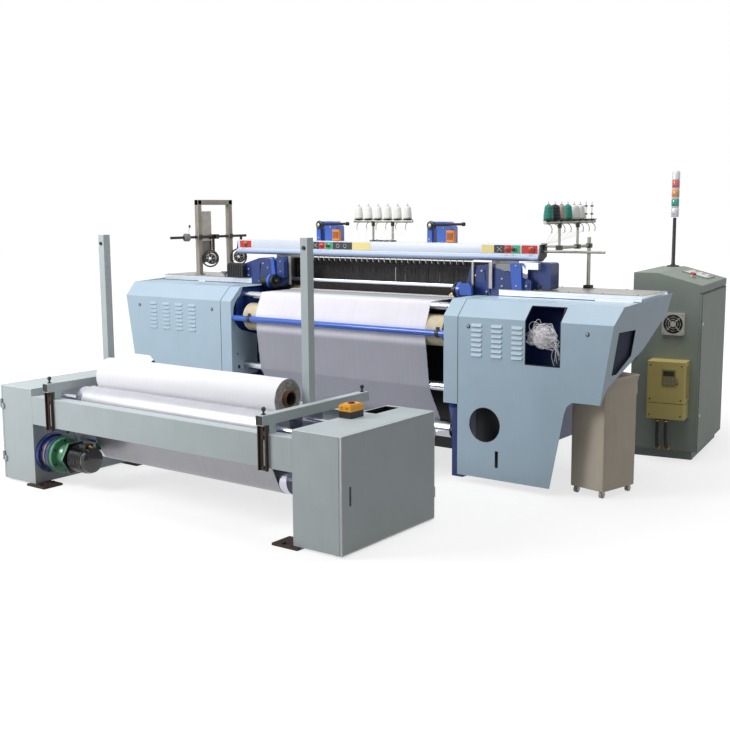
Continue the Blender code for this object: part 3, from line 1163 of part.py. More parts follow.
for name, radius, axis, material, sides in (("breast_roller", BREAST_R, ROLLER_AXES[0], STEEL, 24),
                                            ("take_up_roller", TAKEUP_R, ROLLER_AXES[1], BEIGE_RUBBER, 40),
                                            ("return_roller", RETURN_R, ROLLER_AXES[2], STEEL, 32),
                                            ("back_rest_roller", BACKREST_R, ROLLER_AXES[3], STEEL, 24)):
    node(name, shafted(ROLLER_HALF, radius, ROLLER_SHAFT, axis, sides), material, (0, *axis))
node("warp_beam", warp_beam(), YARN, (0, BEAM_Y, WARP_Z))
SPAN = STRIP_X - SEAT_GAP
node("cloth_guide_bar", rod((-SPAN, BAR_Y, BAR_Z), (SPAN, BAR_Y, BAR_Z), BAR_R, 32), STEEL)
node("guard_tube", rod((-SPAN, GUARD_Y, GUARD_Z), (SPAN, GUARD_Y, GUARD_Z), GUARD_R, 24), BRIGHT_BLUE)
node("loom_cloth", loom_cloth(), CLOTH)
node("batcher_cloth", cloth_run(), CLOTH)
node("warp_sheet", warp_sheet(), YARN)
node("reed", reed(), DARK_HARNESS)
node("front_heald_frame", heald_frame(HEALD_Y), DARK_HARNESS, smooth=False)
node("rear_heald_frame", heald_frame(HEALD_Y + HEALD_PITCH), DARK_HARNESS, smooth=False)
node("rear_cross_tube", block((-FRAME_X + SEAT_GAP, FRAME_X - SEAT_GAP), TUBE_Y, TUBE_Z), CAST_BLUE,
     smooth=False)
node("harness_gantry", harness_gantry(), STEEL, smooth=False)
node("operating_rail", operating_rail(), ALUMINIUM, smooth=False)
node("feeder_stand", feeder_stand(), STEEL)
node("front_weft_feeder", weft_feeder(FEEDER_Y[0]), BLACK)
node("rear_weft_feeder", weft_feeder(FEEDER_Y[1]), BLACK)
node("cabinet_body", in_cabinet(cabinet_body()), GREY_GREEN, smooth=False)
CABINET_HINGE = Matrix.Rotation(radians(CABINET_TURN), 4, "Z") @ Vector((0.0, CABINET_DEEP, 0.0))
node("cabinet_door", in_cabinet(cabinet_door()), GREY_GREEN,
     (CABINET_AT[0] + CABINET_HINGE.x, CABINET_AT[1] + CABINET_HINGE.y, 0.0), smooth=False)
node("inverter", in_cabinet(inverter()), OLIVE)
node("fan_guard", in_cabinet(fan_guard()), GREY_GREEN)
node("signal_tower", in_cabinet(signal_tower()), BLACK)
node("waste_bin", waste_bin(), BIN_BEIGE)
centre_on_floor()
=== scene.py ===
"""Looks for a rapier loom with its cloth batching unit, dressed over the fixed frame.

Lengths are metres.  A place that is not read from the frame's own boxes is given from the datum: the
middle of the loom, at the front face of its covers, on the floor.
"""
from __future__ import annotations

import logging
from dataclasses import dataclass
from enum import Enum
from math import atan2, ceil, cos, hypot, pi, radians, sin
from typing import Any, Callable, Sequence

import bmesh
import bpy
import numpy as np
from mathutils import Matrix, Vector

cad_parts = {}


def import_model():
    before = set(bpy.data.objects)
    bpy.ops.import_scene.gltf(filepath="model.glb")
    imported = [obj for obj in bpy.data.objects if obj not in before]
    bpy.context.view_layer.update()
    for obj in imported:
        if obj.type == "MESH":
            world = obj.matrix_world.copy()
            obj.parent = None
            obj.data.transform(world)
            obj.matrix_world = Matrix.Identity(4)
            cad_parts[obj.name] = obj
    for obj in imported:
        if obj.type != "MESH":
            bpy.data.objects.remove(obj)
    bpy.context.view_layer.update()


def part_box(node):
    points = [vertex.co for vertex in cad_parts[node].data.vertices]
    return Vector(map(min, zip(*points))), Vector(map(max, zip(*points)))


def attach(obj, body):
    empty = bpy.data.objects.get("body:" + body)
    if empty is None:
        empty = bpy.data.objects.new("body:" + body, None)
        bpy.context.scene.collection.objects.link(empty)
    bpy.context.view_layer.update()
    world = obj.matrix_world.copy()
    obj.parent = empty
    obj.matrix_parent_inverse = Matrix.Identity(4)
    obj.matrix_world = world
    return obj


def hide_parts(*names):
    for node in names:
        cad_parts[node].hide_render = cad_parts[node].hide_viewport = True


log = logging.getLogger("loom")
Array = np.ndarray
Tree = bpy.types.NodeTree
Socket = bpy.types.NodeSocket
Pair = tuple[float, float]
Triple = tuple[float, float, float]
Roller = tuple[Pair, float]
ROOT = "plant"


class Axis(Enum):
    """A direction of the frame."""

    X = 0
    Y = 1
    Z = 2


X, Y, Z = Axis


class Side(Enum):
    """One side of the loom, with its sign along X."""

    LEFT = -1
    RIGHT = 1

    @property
    def word(self) -> str:
        """The side's name as the frame's nodes spell it."""
        return self.name.lower()


def linear(hexadecimal: str) -> tuple[float, float, float, float]:
    """Turn an sRGB hex colour into a linear colour with full alpha.

    Args:
        hexadecimal: Six digits.

    Returns:
        Red, green, blue and alpha.
    """
    values = [int(hexadecimal[i:i + 2], 16) / 255 for i in (0, 2, 4)]
    red, green, blue = (v / 12.92 if v <= 0.04045 else ((v + 0.055) / 1.055) ** 2.4 for v in values)
    return red, green, blue, 1.0


def add_node(tree: Tree, kind: str, inputs: dict[Any, Any] | None = None, **settings: Any) -> bpy.types.Node:
    """Add a shader node.

    Args:
        tree: The node tree.
        kind: The node's type, without the ShaderNode in front.
        inputs: A value, or another node's socket, for each input that is set.
        settings: The node's own properties.

    Returns:
        The new node.
    """
    item = tree.nodes.new("ShaderNode" + kind)
    for key, value in settings.items():
        setattr(item, key, value)
    for key, value in (inputs or {}).items():
        if isinstance(value, Socket):
            tree.links.new(value, item.inputs[key])
        else:
            item.inputs[key].default_value = value
    return item


COLOUR_MIX = {"factor": 0, "first": 6, "second": 7, "result": 2}
DUST = "CFCBC2"
DUST_TOP = 0.3
DUST_PATCH_MM = 45.0
SMEAR_MM = 22.0
SMEAR_SPAN = (0.52, 0.75)
NOISE_SPAN = (0.3, 0.7)
WAVE_TURN = 20  # radians of a wave texture in one unit, at a Scale of 1


@dataclass(frozen=True)
class Finish:
    """A surface finish: a colour with a slight drift, and a fine grain in its relief.

    The drift is soft cloudy noise; the grain is finer noise that drives the bump and the roughness.  Dust
    lies on the lowest part, in patches, and rubbing leaves faint upright smears.
    """

    name: str
    colour: str
    roughness: float = 0.5
    metallic: float = 0.0
    drift: float = 0.05
    drift_mm: float = 160.0
    grain_mm: float = 3.0
    grain_depth_mm: float = 0.05
    dust: float = 0.0
    smear: float = 0.0
    coat: float = 0.0
    sheen: float = 0.0
    ior: float = 1.5

    def noise(self, tree: Tree, vector: Socket, size_mm: float, stretch: Sequence[float] = (1, 1, 1),
            detail: float = 3.0) -> Socket:
        """A noise value from 0 to 1 whose blotches are about size_mm across, stretched along the axes.

        Args:
            tree: The node tree.
            vector: The coordinates.
            size_mm: The blotches' width.
            stretch: How many times longer they are along each axis.
            detail: The noise's octaves.

        Returns:
            The value's socket.
        """
        scale = [1000.0 / size_mm / s for s in stretch]
        mapped = add_node(tree, "Mapping", {"Vector": vector, "Scale": scale})
        return add_node(tree, "TexNoise",
            {"Vector": mapped.outputs[0], "Scale": 1.0, "Detail": detail}).outputs["Fac"]

    def where(self, tree: Tree) -> Socket:
        """The coordinates that the patterns read."""
        return add_node(tree, "TexCoord").outputs["Object"]

    def relief(self, tree: Tree, vector: Socket) -> Socket:
        """The height of the surface's grain, from 0 to 1."""
        return self.noise(tree, vector, self.grain_mm)

    def tint(self, tree: Tree, vector: Socket) -> Socket:
        """The colour, drifting a little to both sides of its value, with smears, and paler with dust."""
        cloud = self.noise(tree, vector, self.drift_mm)
        value = add_node(tree, "MapRange",
            {"Value": cloud, "From Min": NOISE_SPAN[0], "From Max": NOISE_SPAN[1], "To Min": 1 - self.drift,
            "To Max": 1 + self.drift})
        level = value.outputs[0]
        if self.smear:
            streaks = self.noise(tree, vector, SMEAR_MM, (1.0, 1.0, 9.0))
            rubbed = add_node(tree, "MapRange",
                {"Value": streaks, "From Min": SMEAR_SPAN[0], "From Max": SMEAR_SPAN[1], "To Min": 1.0,
                "To Max": 1 - self.smear})
            level = add_node(tree, "Math", {0: level, 1: rubbed.outputs[0]}, operation="MULTIPLY").outputs[0]
        colour = add_node(tree, "HueSaturation", {"Color": linear(self.colour), "Value": level}).outputs[0]
        if self.dust == 0:
            return colour
        height = add_node(tree, "SeparateXYZ", {"Vector": vector}).outputs["Z"]
        low = add_node(tree, "MapRange",
            {"Value": height, "From Min": DUST_TOP, "From Max": 0.0, "To Min": 0.0, "To Max": self.dust})
        patch = add_node(tree, "Math", {0: low.outputs[0], 1: self.noise(tree, vector, DUST_PATCH_MM)},
            operation="MULTIPLY")
        return mix_colours(tree, patch.outputs[0], colour, linear(DUST))

    def build(self) -> bpy.types.Material:
        """Make the material, or return it if it is made already."""
        if self.name in bpy.data.materials:
            return bpy.data.materials[self.name]
        material = bpy.data.materials.new(self.name)
        material.use_nodes = True
        tree = material.node_tree
        shader = tree.nodes["Principled BSDF"]
        vector = self.where(tree)
        height = self.relief(tree, vector)
        rough = add_node(tree, "MapRange",
            {"Value": height, "To Min": self.roughness * 0.85, "To Max": min(1.0, self.roughness * 1.15)})
        bump = add_node(tree, "Bump",
            {"Height": height, "Strength": 1.0, "Distance": self.grain_depth_mm / 1000})
        tree.links.new(self.tint(tree, vector), shader.inputs["Base Color"])
        tree.links.new(rough.outputs[0], shader.inputs["Roughness"])
        tree.links.new(bump.outputs[0], shader.inputs["Normal"])
        shader.inputs["Metallic"].default_value = self.metallic
        shader.inputs["Coat Weight"].default_value = self.coat
        shader.inputs["Sheen Weight"].default_value = self.sheen
        if self.metallic < 0.5:
            shader.inputs["IOR"].default_value = self.ior
        return material


def mix_colours(tree: Tree, factor: Any, first: Any, second: Any) -> Socket:
    """Blend two colours; each may be a colour or a socket, and factor 0 gives the first."""
    mix = add_node(tree, "Mix",
        {COLOUR_MIX["factor"]: factor, COLOUR_MIX["first"]: first, COLOUR_MIX["second"]: second},
        data_type="RGBA")
    return mix.outputs[COLOUR_MIX["result"]]


@dataclass(frozen=True)
class Moulding(Finish):
    """Moulded ABS: a fine spark grain, a satin shine, and a colour that hardly drifts."""

    roughness: float = 0.35
    drift: float = 0.02
    grain_mm: float = 2
    grain_depth_mm: float = 0.03


@dataclass(frozen=True)
class BrushedMetal(Finish):
    """Ground or drawn metal: hairline scratches that run along one axis."""

    metallic: float = 1.0
    grain_depth_mm: float = 0.01
    lay: Axis = X

    def relief(self, tree: Tree, vector: Socket) -> Socket:
        """Noise stretched forty times along the lay, which gives the soft streaks of a ground surface."""
        stretch = [40.0 if axis is self.lay else 1.0 for axis in Axis]
        return self.noise(tree, vector, self.grain_mm, stretch)


@dataclass(frozen=True)
class WoundYarn(Finish):
    """Yarn wound on a cone or beam: ridges across one axis, 2 pi times ridge_mm apart, under soft fluff."""

    roughness: float = 0.85
    sheen: float = 0.2
    grain_depth_mm: float = 0.4
    ridge_mm: float = 3.0
    across: Axis = Z

    def relief(self, tree: Tree, vector: Socket) -> Socket:
        """A sine along the axis, warped by noise, so that the turns are not quite even."""
        return add_node(tree, "TexWave", {"Vector": vector, "Scale": 1000 / self.ridge_mm / WAVE_TURN,
            "Distortion": 1.2, "Detail": 2.0}, wave_type="BANDS",
            bands_direction=self.across.name).outputs["Fac"]


@dataclass(frozen=True)
class WovenCloth(Finish):
    """Plain weave on the piece's own chart, whose u and v are metres across and along the web.

    Threads of half a millimetre are too fine to show, so the weave is drawn coarser, as waves of 2 pi times
    thread_mm, with the long faint streaks that uneven warp ends leave.  Over one run of the chart the colour
    can blend to a lighter one, a painted light where light falls on that stretch of the web.
    """

    roughness: float = 0.85
    sheen: float = 0.15
    grain_depth_mm: float = 0.12
    thread_mm: float = 3.0
    streak: float = 0.03
    backed: str = ""
    backed_run: Pair = (0.0, 0.0)

    def where(self, tree: Tree) -> Socket:
        """The cloth's own chart."""
        return add_node(tree, "TexCoord").outputs["UV"]

    def relief(self, tree: Tree, vector: Socket) -> Socket:
        """The product of a sine across the warp and a sine across the weft."""
        bands = [add_node(tree, "TexWave", {"Vector": vector, "Scale": 1000 / self.thread_mm / WAVE_TURN},
            wave_type="BANDS", bands_direction=way).outputs["Fac"] for way in ("X", "Y")]
        return add_node(tree, "Math", {0: bands[0], 1: bands[1]}, operation="MULTIPLY").outputs[0]

    def tint(self, tree: Tree, vector: Socket) -> Socket:
        """The cloth's colour: streaks along the warp, clouds from handling, and painted light over one run.
        """
        ends = self.noise(tree, vector, 9.0, (1.0, 400.0, 1.0))
        cloud = self.noise(tree, vector, self.drift_mm)
        both = add_node(tree, "Math", {0: ends, 1: cloud}, operation="ADD").outputs[0]
        value = add_node(tree, "MapRange",
            {"Value": both, "From Min": 0.7, "From Max": 1.3, "To Min": 1 - self.streak,
            "To Max": 1 + self.streak})
        base = linear(self.colour)
        # Painted light: over one run of the web's length the colour blends to a lighter one
        if self.backed:
            run = add_node(tree, "SeparateXYZ", {"Vector": vector}).outputs["Y"]
            start, end = self.backed_run
            rise = add_node(tree, "MapRange", {"Value": run, "From Min": start - 0.1, "From Max": start},
                interpolation_type="SMOOTHSTEP").outputs[0]
            fall = add_node(tree, "MapRange", {"Value": run, "From Min": end + 0.05, "From Max": end},
                interpolation_type="SMOOTHSTEP").outputs[0]
            share = add_node(tree, "Math", {0: rise, 1: fall}, operation="MULTIPLY").outputs[0]
            base = mix_colours(tree, share, base, linear(self.backed))
        return add_node(tree, "HueSaturation", {"Color": base, "Value": value.outputs[0]}).outputs[0]


# Powder coat is sprayed and baked: even colour, a faint orange peel, a satin shine
PALE_BLUE_COAT = Finish("powder_coat_pale_blue", "A9BFCF", 0.42, grain_mm=9, grain_depth_mm=0.02, dust=0.1,
    drift=0.02, smear=0.02)
GREY_GREEN_COAT = Finish("powder_coat_grey", "AEB8BA", 0.48, grain_mm=9, grain_depth_mm=0.02, dust=0.12,
    drift=0.03, smear=0.03)
CABINET_COAT = Finish("powder_coat_cabinet", "8D978F", 0.62, grain_mm=9, grain_depth_mm=0.02, dust=0.15,
    drift=0.03, smear=0.03)
# A pale tone for thin beads along the housings' edges: a painted highlight where the edges catch the light
WORN_EDGE = Finish("powder_coat_rubbed_edge", "E4E8E4", 0.4, drift=0.1, drift_mm=60)
# Enamel brushed on a sand casting: thick, glossy, over a pitted skin
CAST_BLUE_ENAMEL = Finish("enamel_on_casting_blue", "173372", 0.38, grain_mm=6, grain_depth_mm=0.35, coat=0.2,
    drift=0.12)
BRIGHT_BLUE_ENAMEL = Finish("gloss_enamel_blue", "315FBF", 0.3, grain_mm=8, grain_depth_mm=0.05, coat=0.3)
GREEN_ENAMEL = Finish("gloss_enamel_green", "4B8A66", 0.3, grain_mm=8, grain_depth_mm=0.08, coat=0.3)
BLACK_ENAMEL = Finish("enamel_black", "17181C", 0.35, grain_mm=6, grain_depth_mm=0.1, drift=0.15)
WRAPPED_MOTOR = Finish("enamel_black_under_film", "101216", 0.12, grain_mm=14, grain_depth_mm=1.4, coat=0.8)
# Metals keep the default index; the streaks follow how each was drawn, turned or ground
BROWNED_STEEL = Finish("browned_steel_channel", "3A2B22", 0.55, 0.4, grain_mm=4, grain_depth_mm=0.15,
    drift=0.18)
GROUND_STEEL = BrushedMetal("ground_steel", "C4C8CE", 0.24, grain_mm=1.5)
CHROMED_DRUM = BrushedMetal("chromed_drum", "CFCFDC", 0.2, grain_mm=2.5, grain_depth_mm=0.02)
DRAWN_ALUMINIUM = BrushedMetal("drawn_anodised_aluminium", "DDE3EA", 0.36, grain_mm=2)
ZINC_STEEL = Finish("zinc_plated_steel", "A09E96", 0.4, 0.8, grain_mm=5, grain_depth_mm=0.05, drift=0.12,
    drift_mm=30)
TURNED_BRASS = BrushedMetal("turned_brass", "B9924C", 0.32, grain_mm=2)
OILED_STEEL = Finish("oiled_dark_steel", "2E2B2C", 0.45, 0.5, grain_mm=4, grain_depth_mm=0.1, drift=0.15)
HEALD_WIRE = Finish("oiled_heald_wire", "2E2A2B", 0.55, 0.0, grain_mm=2, grain_depth_mm=0.05, drift=0.35,
    drift_mm=26)
STEEL_LID = BrushedMetal("ground_steel_lid", "A5A39B", 0.34, 0.5, grain_mm=3, grain_depth_mm=0.02, drift=0.12)
# The rail is extruded, then lacquered: very smooth and almost white
PALE_LACQUER = Finish("lacquered_extrusion_pale", "D2DAE6", 0.34, grain_mm=10, grain_depth_mm=0.01,
    drift=0.01)
BLUE_LACQUER = Finish("lacquered_extrusion_lip", "B4C6E2", 0.34, grain_mm=10, grain_depth_mm=0.01, drift=0.02)
# Cloth, yarn, card and rubber scatter light and hardly shine
# The loom's cloth: its grey paints the shade on most of the web, and its lighter colour over one run paints
# the light that falls there
SINGLE_CLOTH = WovenCloth("woven_cloth_single_layer", "A4A5AF", streak=0.05, backed="E4E2EA",
    backed_run=(0.3, 0.62))
# The cloth from the loom to the roll: its grey on a white cloth is painted shade, where it runs under the
# batcher's beam
PRESSED_CLOTH = WovenCloth("woven_cloth_on_the_drum", "BDBDC4", 0.36, 0.4, sheen=0.1, grain_depth_mm=0.001,
    coat=0.15, streak=0.06)
BLEACHED_CLOTH = WovenCloth("woven_cloth_white", "E3E3E7")
STRETCHED_WARP = WovenCloth("stretched_warp_ends", "E6E3DA", sheen=0.1, thread_mm=4.0, streak=0.1,
    grain_depth_mm=0.3)
CUT_LAYERS = Finish("cloth_edges_in_the_roll", "B9B5AE", 0.95, grain_mm=3, grain_depth_mm=0.8, drift=0.35,
    drift_mm=12)
CARD_CORE = Finish("wound_card_core", "6E4B33", 0.85, grain_mm=4, grain_depth_mm=0.2, drift=0.15, drift_mm=20)
COTTON_YARN = WoundYarn("wound_cotton_yarn", "EFEEEA", 0.9)
BEAMED_WARP = WoundYarn("beamed_warp_yarn", "E6E4DD", 0.9, grain_depth_mm=0.5, across=X, ridge_mm=5.0)
GREEN_YARN = WoundYarn("wound_yarn_green", "2F8A7A")
BLACK_YARN = WoundYarn("wound_yarn_black", "1B1C20")
GREY_YARN = WoundYarn("wound_yarn_grey", "B3AC9F")
WASTE_YARN = Finish("loose_waste_yarn", "F4F2F6", 0.9, sheen=0.3, grain_mm=2, grain_depth_mm=0.2, drift=0.12,
    drift_mm=15)
RUBBER_COVER = Finish("rubber_roller_cover_beige", "C6BA9E", 0.7, grain_mm=5, grain_depth_mm=0.4, drift=0.1,
    drift_mm=40)
BLACK_RUBBER = Finish("moulded_rubber_black", "141416", 0.75, grain_mm=3, grain_depth_mm=0.1)
# Mouldings: fine spark grain, satin; the bin is softer, waxy polyethylene
YELLOW_ABS = Moulding("moulded_abs_yellow", "EBA51E")
ORANGE_ABS = Moulding("moulded_abs_orange", "EE8A2A")
RED_ABS = Moulding("moulded_abs_red", "C4321F", drift=0.03)
DARK_RED_ABS = Moulding("moulded_abs_dark_red", "7E231C", 0.4, drift=0.05)
PALE_STRIP = Moulding("moulded_abs_stone", "CFCDC6", 0.5, drift=0.03)
CREAM_ABS = Moulding("moulded_abs_cream", "EFDB92", 0.4)
WHITE_ABS = Moulding("moulded_abs_white", "ECEAE4", 0.4)
GREY_ABS = Moulding("moulded_abs_grey", "8D918F", 0.42, drift=0.03)
BLACK_ABS = Moulding("moulded_abs_black", "1C1B1D", 0.42, drift=0.05)
OLIVE_ABS = Moulding("moulded_abs_olive", "CBBB72", 0.48, grain_depth_mm=0.04, drift=0.04, smear=0.04)
OLIVE_SHADE = Moulding("moulded_abs_olive_deep", "8E7D3A", 0.5, grain_depth_mm=0.04, drift=0.04)
RUST_BAR = Finish("varnished_spring_bar", "9A5A22", 0.4, grain_mm=6, grain_depth_mm=0.05, drift=0.2,
    drift_mm=25)
BIN_PLASTIC = Finish("moulded_polyethylene_beige", "CFC2B0", 0.55, grain_mm=5, grain_depth_mm=0.15, dust=0.5,
    smear=0.05)
SILVER_ABS = Finish("metallised_abs_silver", "E2E4EA", 0.28, 0.2, grain_mm=3, grain_depth_mm=0.02, drift=0.03)
# Lenses and the display are clear, hard and glossy
RED_LENS = Finish("tinted_lens_red", "DC6A66", 0.12, grain_mm=3, grain_depth_mm=0.05, coat=0.6, drift=0.02)
AMBER_LENS = Finish("tinted_lens_amber", "EBA064", 0.12, grain_mm=3, grain_depth_mm=0.05, coat=0.6,
    drift=0.02)
GREEN_LENS = Finish("tinted_lens_green", "3FA58C", 0.12, grain_mm=3, grain_depth_mm=0.05, coat=0.6,
    drift=0.02)
PANEL_GLASS = Finish("display_glass", "8FA19C", 0.15, grain_mm=5, grain_depth_mm=0.01, coat=0.5, drift=0.02)
# Printed film on the rail, matt beside the lacquer, with no letters
RED_PLATE = Finish("printed_film_red", "C5301E", 0.5, grain_mm=4, grain_depth_mm=0.01, drift=0.03)
BLACK_PLATE = Finish("printed_film_black", "2B2727", 0.5, grain_mm=4, grain_depth_mm=0.01, drift=0.06)
GREEN_PLATE = Finish("printed_film_green", "3DAF7C", 0.5, grain_mm=4, grain_depth_mm=0.01, drift=0.03)
CREAM_PLATE = Finish("printed_film_cream", "F0DE96", 0.5, grain_mm=4, grain_depth_mm=0.01, drift=0.02)
# Dark square tube and dull plate of the feeder stand, a dark navy that paints the shade in the right
# side panel's port, and the unlit well behind the fan
DARK_TUBE = Finish("painted_tube_taupe", "958E85", 0.42, 0.2, grain_mm=6, grain_depth_mm=0.04, drift=0.12)
DULL_STEEL = Finish("pickled_steel_plate", "7C7771", 0.48, 0.6, grain_mm=5, grain_depth_mm=0.05, drift=0.12)
NAVY_SHADE = Finish("matt_primer_navy", "101B33", 0.85, grain_mm=6, grain_depth_mm=0.03, drift=0.1)
FAN_WELL = Finish("unlit_fan_well", "2A2E2C", 0.8, grain_mm=5, grain_depth_mm=0.02)


@dataclass
class Shell:
    """One surface of a piece: its points, its faces, and its finish's place in the piece's list.

    The finish is one number for the whole surface, or one for each face.
    """

    points: Array
    faces: list[list[int]]
    finish: int | list[int] = 0
    smooth: bool = True
    chart: Array | None = None


def grid(points: Array, close_rows: bool = False, close_columns: bool = False, finish: int = 0,
        chart: Array | None = None) -> Shell:
    """A surface from a grid of points, with a face between each four neighbours.

    Args:
        points: Points in rows and columns.
        close_rows: Join the last row to the first.
        close_columns: Join the last column to the first.
        finish: The finish's place in the piece's list.
        chart: The texture position of each point, or None.

    Returns:
        The surface.
    """
    rows, columns = points.shape[:2]
    index = np.arange(rows * columns).reshape(rows, columns)
    index = np.vstack([index, index[:1]]) if close_rows else index
    index = np.hstack([index, index[:, :1]]) if close_columns else index
    quads = np.stack([index[:-1, :-1], index[1:, :-1], index[1:, 1:], index[:-1, 1:]], axis=-1).reshape(-1, 4)
    flat_chart = None if chart is None else np.asarray(chart).reshape(-1, 2)
    return Shell(points.reshape(-1, 3), quads.tolist(), finish, True, flat_chart)


CAPPED, OPEN = (True, True), (False, False)


def lathe(profile: Sequence[Pair], axis: Axis, centre: Sequence[float], sides: int = 32,
        finish: int | Sequence[int] = 0, smooth: bool = True, caps: tuple[bool, bool] = CAPPED) -> Shell:
    """A surface of revolution.

    Each (along, radius) point of the profile is carried round the axis: the two other coordinates are the
    radius times the cosine and the sine of the turn.

    Args:
        profile: The profile's points, from one end to the other.
        axis: The direction of the axis.
        centre: The point of the axis that along is measured from.
        sides: The number of facets round the axis.
        finish: The finish's place in the piece's list, or one for each band between two rings.
        smooth: Whether the facets are shaded round.
        caps: Whether the first and the last ring are closed by a flat face.

    Returns:
        The surface.
    """
    rings = np.array(profile, float)
    turn = np.arange(sides) * 2 * pi / sides
    points = np.zeros((len(rings), sides, 3))
    points[..., axis.value] = rings[:, :1]
    points[..., (axis.value + 1) % 3] = rings[:, 1:] * np.cos(turn)
    points[..., (axis.value + 2) % 3] = rings[:, 1:] * np.sin(turn)
    bands = [finish] * (len(rings) - 1) if isinstance(finish, int) else list(finish)
    shell = grid(points + np.asarray(centre, float), close_columns=True)
    marks = np.repeat(bands, sides).tolist()
    if caps[0]:
        shell.faces.append(list(range(sides)))
        marks.append(bands[0])
    if caps[1]:
        last = (len(rings) - 1) * sides
        shell.faces.append(list(range(last + sides - 1, last - 1, -1)))
        marks.append(bands[-1])
    shell.finish = marks
    shell.smooth = smooth
    return shell


def prism(outline: Sequence[Pair], axis: Axis, start: float, end: float,
        finish: int | Sequence[int] = 0) -> Shell:
    """An outline carried straight along an axis, closed by two flat ends.

    Args:
        outline: Points (y, z) for axis X, (x, z) for axis Y, and (x, y) for axis Z.
        axis: The direction that the outline is carried in.
        start: Where it starts.
        end: Where it ends.
        finish: The finish's place in the piece's list, or one for each side and one for each end.

    Returns:
        The closed surface.
    """
    across = [i for i in range(3) if i != axis.value]
    flat = np.array(outline, float)
    points = np.zeros((2, len(flat), 3))
    points[..., across[0]] = flat[:, 0]
    points[..., across[1]] = flat[:, 1]
    points[0, :, axis.value] = start
    points[1, :, axis.value] = end
    shell = grid(points, close_columns=True)
    count = len(flat)
    shell.faces += [list(range(count)), list(range(2 * count - 1, count - 1, -1))]
    shell.finish = finish if isinstance(finish, int) else list(finish)
    shell.smooth = False
    return shell


def mm(*numbers: float) -> list[Pair]:
    """Points from numbers in millimetres, two for each point."""
    return [(first / 1000, second / 1000) for first, second in zip(numbers[::2], numbers[1::2])]


def oblong(x0: float, y0: float, x1: float, y1: float) -> list[Pair]:
    """The four corners between two."""
    return [(x0, y0), (x1, y0), (x1, y1), (x0, y1)]


def block(low: Sequence[float], high: Sequence[float], finish: int = 0) -> Shell:
    """A box between two corners."""
    (x0, y0, z0), (x1, y1, z1) = low, high
    return prism(oblong(x0, y0, x1, y1), Z, z0, z1, finish)


def rounded(corners: Sequence[Pair], radius: float, steps: int = 4) -> list[Pair]:
    """An outline with every corner rounded.

    Each corner becomes points on the curve (1 - t)^2 a + 2 t (1 - t) corner + t^2 b, where a and b lie one
    radius along the two edges.

    Args:
        corners: The outline's corners.
        radius: How far each rounding reaches.
        steps: The spans of each rounding.

    Returns:
        The rounded outline.
    """
    points = np.array(corners, float)
    share = np.linspace(0, 1, steps + 1)[:, None]
    rows = []
    for before, corner, after in zip(np.roll(points, 1, 0), points, np.roll(points, -1, 0)):
        a = corner + (before - corner) / np.linalg.norm(before - corner) * radius
        b = corner + (after - corner) / np.linalg.norm(after - corner) * radius
        rows.append((1 - share) ** 2 * a + 2 * share * (1 - share) * corner + share ** 2 * b)
    return [tuple(point) for point in np.vstack(rows)]


def tube(path: Any, radius: float | Array, sides: int = 12, finish: int = 0, closed: bool = False) -> Shell:
    """A round tube carried along a path.

    At each point the ring lies across the path's direction, which is the difference of the points before
    and after it, and its first spoke is kept as near as it can be to the spoke before.

    Args:
        path: The points of the centre line.
        radius: One radius, or one for each point.
        sides: The number of facets round the tube.
        finish: The finish's place in the piece's list.
        closed: Whether the path is a loop.

    Returns:
        The surface, with flat ends unless it is a loop.
    """
    line = np.asarray(path, float)
    ahead = np.roll(line, -1, 0) - np.roll(line, 1, 0) if closed else np.gradient(line, axis=0)
    ahead /= np.linalg.norm(ahead, axis=1, keepdims=True)
    spoke = np.cross(ahead[0], (0.31, 0.17, 0.93))
    spokes = []
    for direction in ahead:
        spoke = spoke - direction * np.dot(spoke, direction)
        spoke = spoke / np.linalg.norm(spoke)
        spokes.append(spoke)
    first = np.array(spokes)
    second = np.cross(ahead, first)
    turn = np.arange(sides) * 2 * pi / sides
    size = np.broadcast_to(np.asarray(radius, float), (len(line),))[:, None, None]
    rings = first[:, None] * np.cos(turn)[None, :, None] + second[:, None] * np.sin(turn)[None, :, None]
    shell = grid(line[:, None] + size * rings, close_rows=closed, close_columns=True, finish=finish)
    if not closed:
        last = (len(line) - 1) * sides
        shell.faces += [list(range(sides)), list(range(last + sides - 1, last - 1, -1))]
    return shell


def smooth_path(points: Any, steps: int = 8) -> Array:
    """A curve through points, with steps on each span.

    Each span is the cubic whose slope at a point is half the step from the point before to the point after.

    Args:
        points: The points that it passes.
        steps: The spans between two of them.

    Returns:
        The curve's points.
    """
    given = np.asarray(points, float)
    padded = np.vstack([2 * given[0] - given[1], given, 2 * given[-1] - given[-2]])
    t = (np.arange(steps) / steps)[None, :, None]
    a, b, c, d = (padded[i:len(padded) - 3 + i, None] for i in range(4))
    curve = 0.5 * (2 * b + (c - a) * t + (2 * a - 5 * b + 4 * c - d) * t ** 2 + (3 * b - a - 3 * c + d)
        * t ** 3)
    return np.vstack([curve.reshape(-1, 3), given[-1:]])


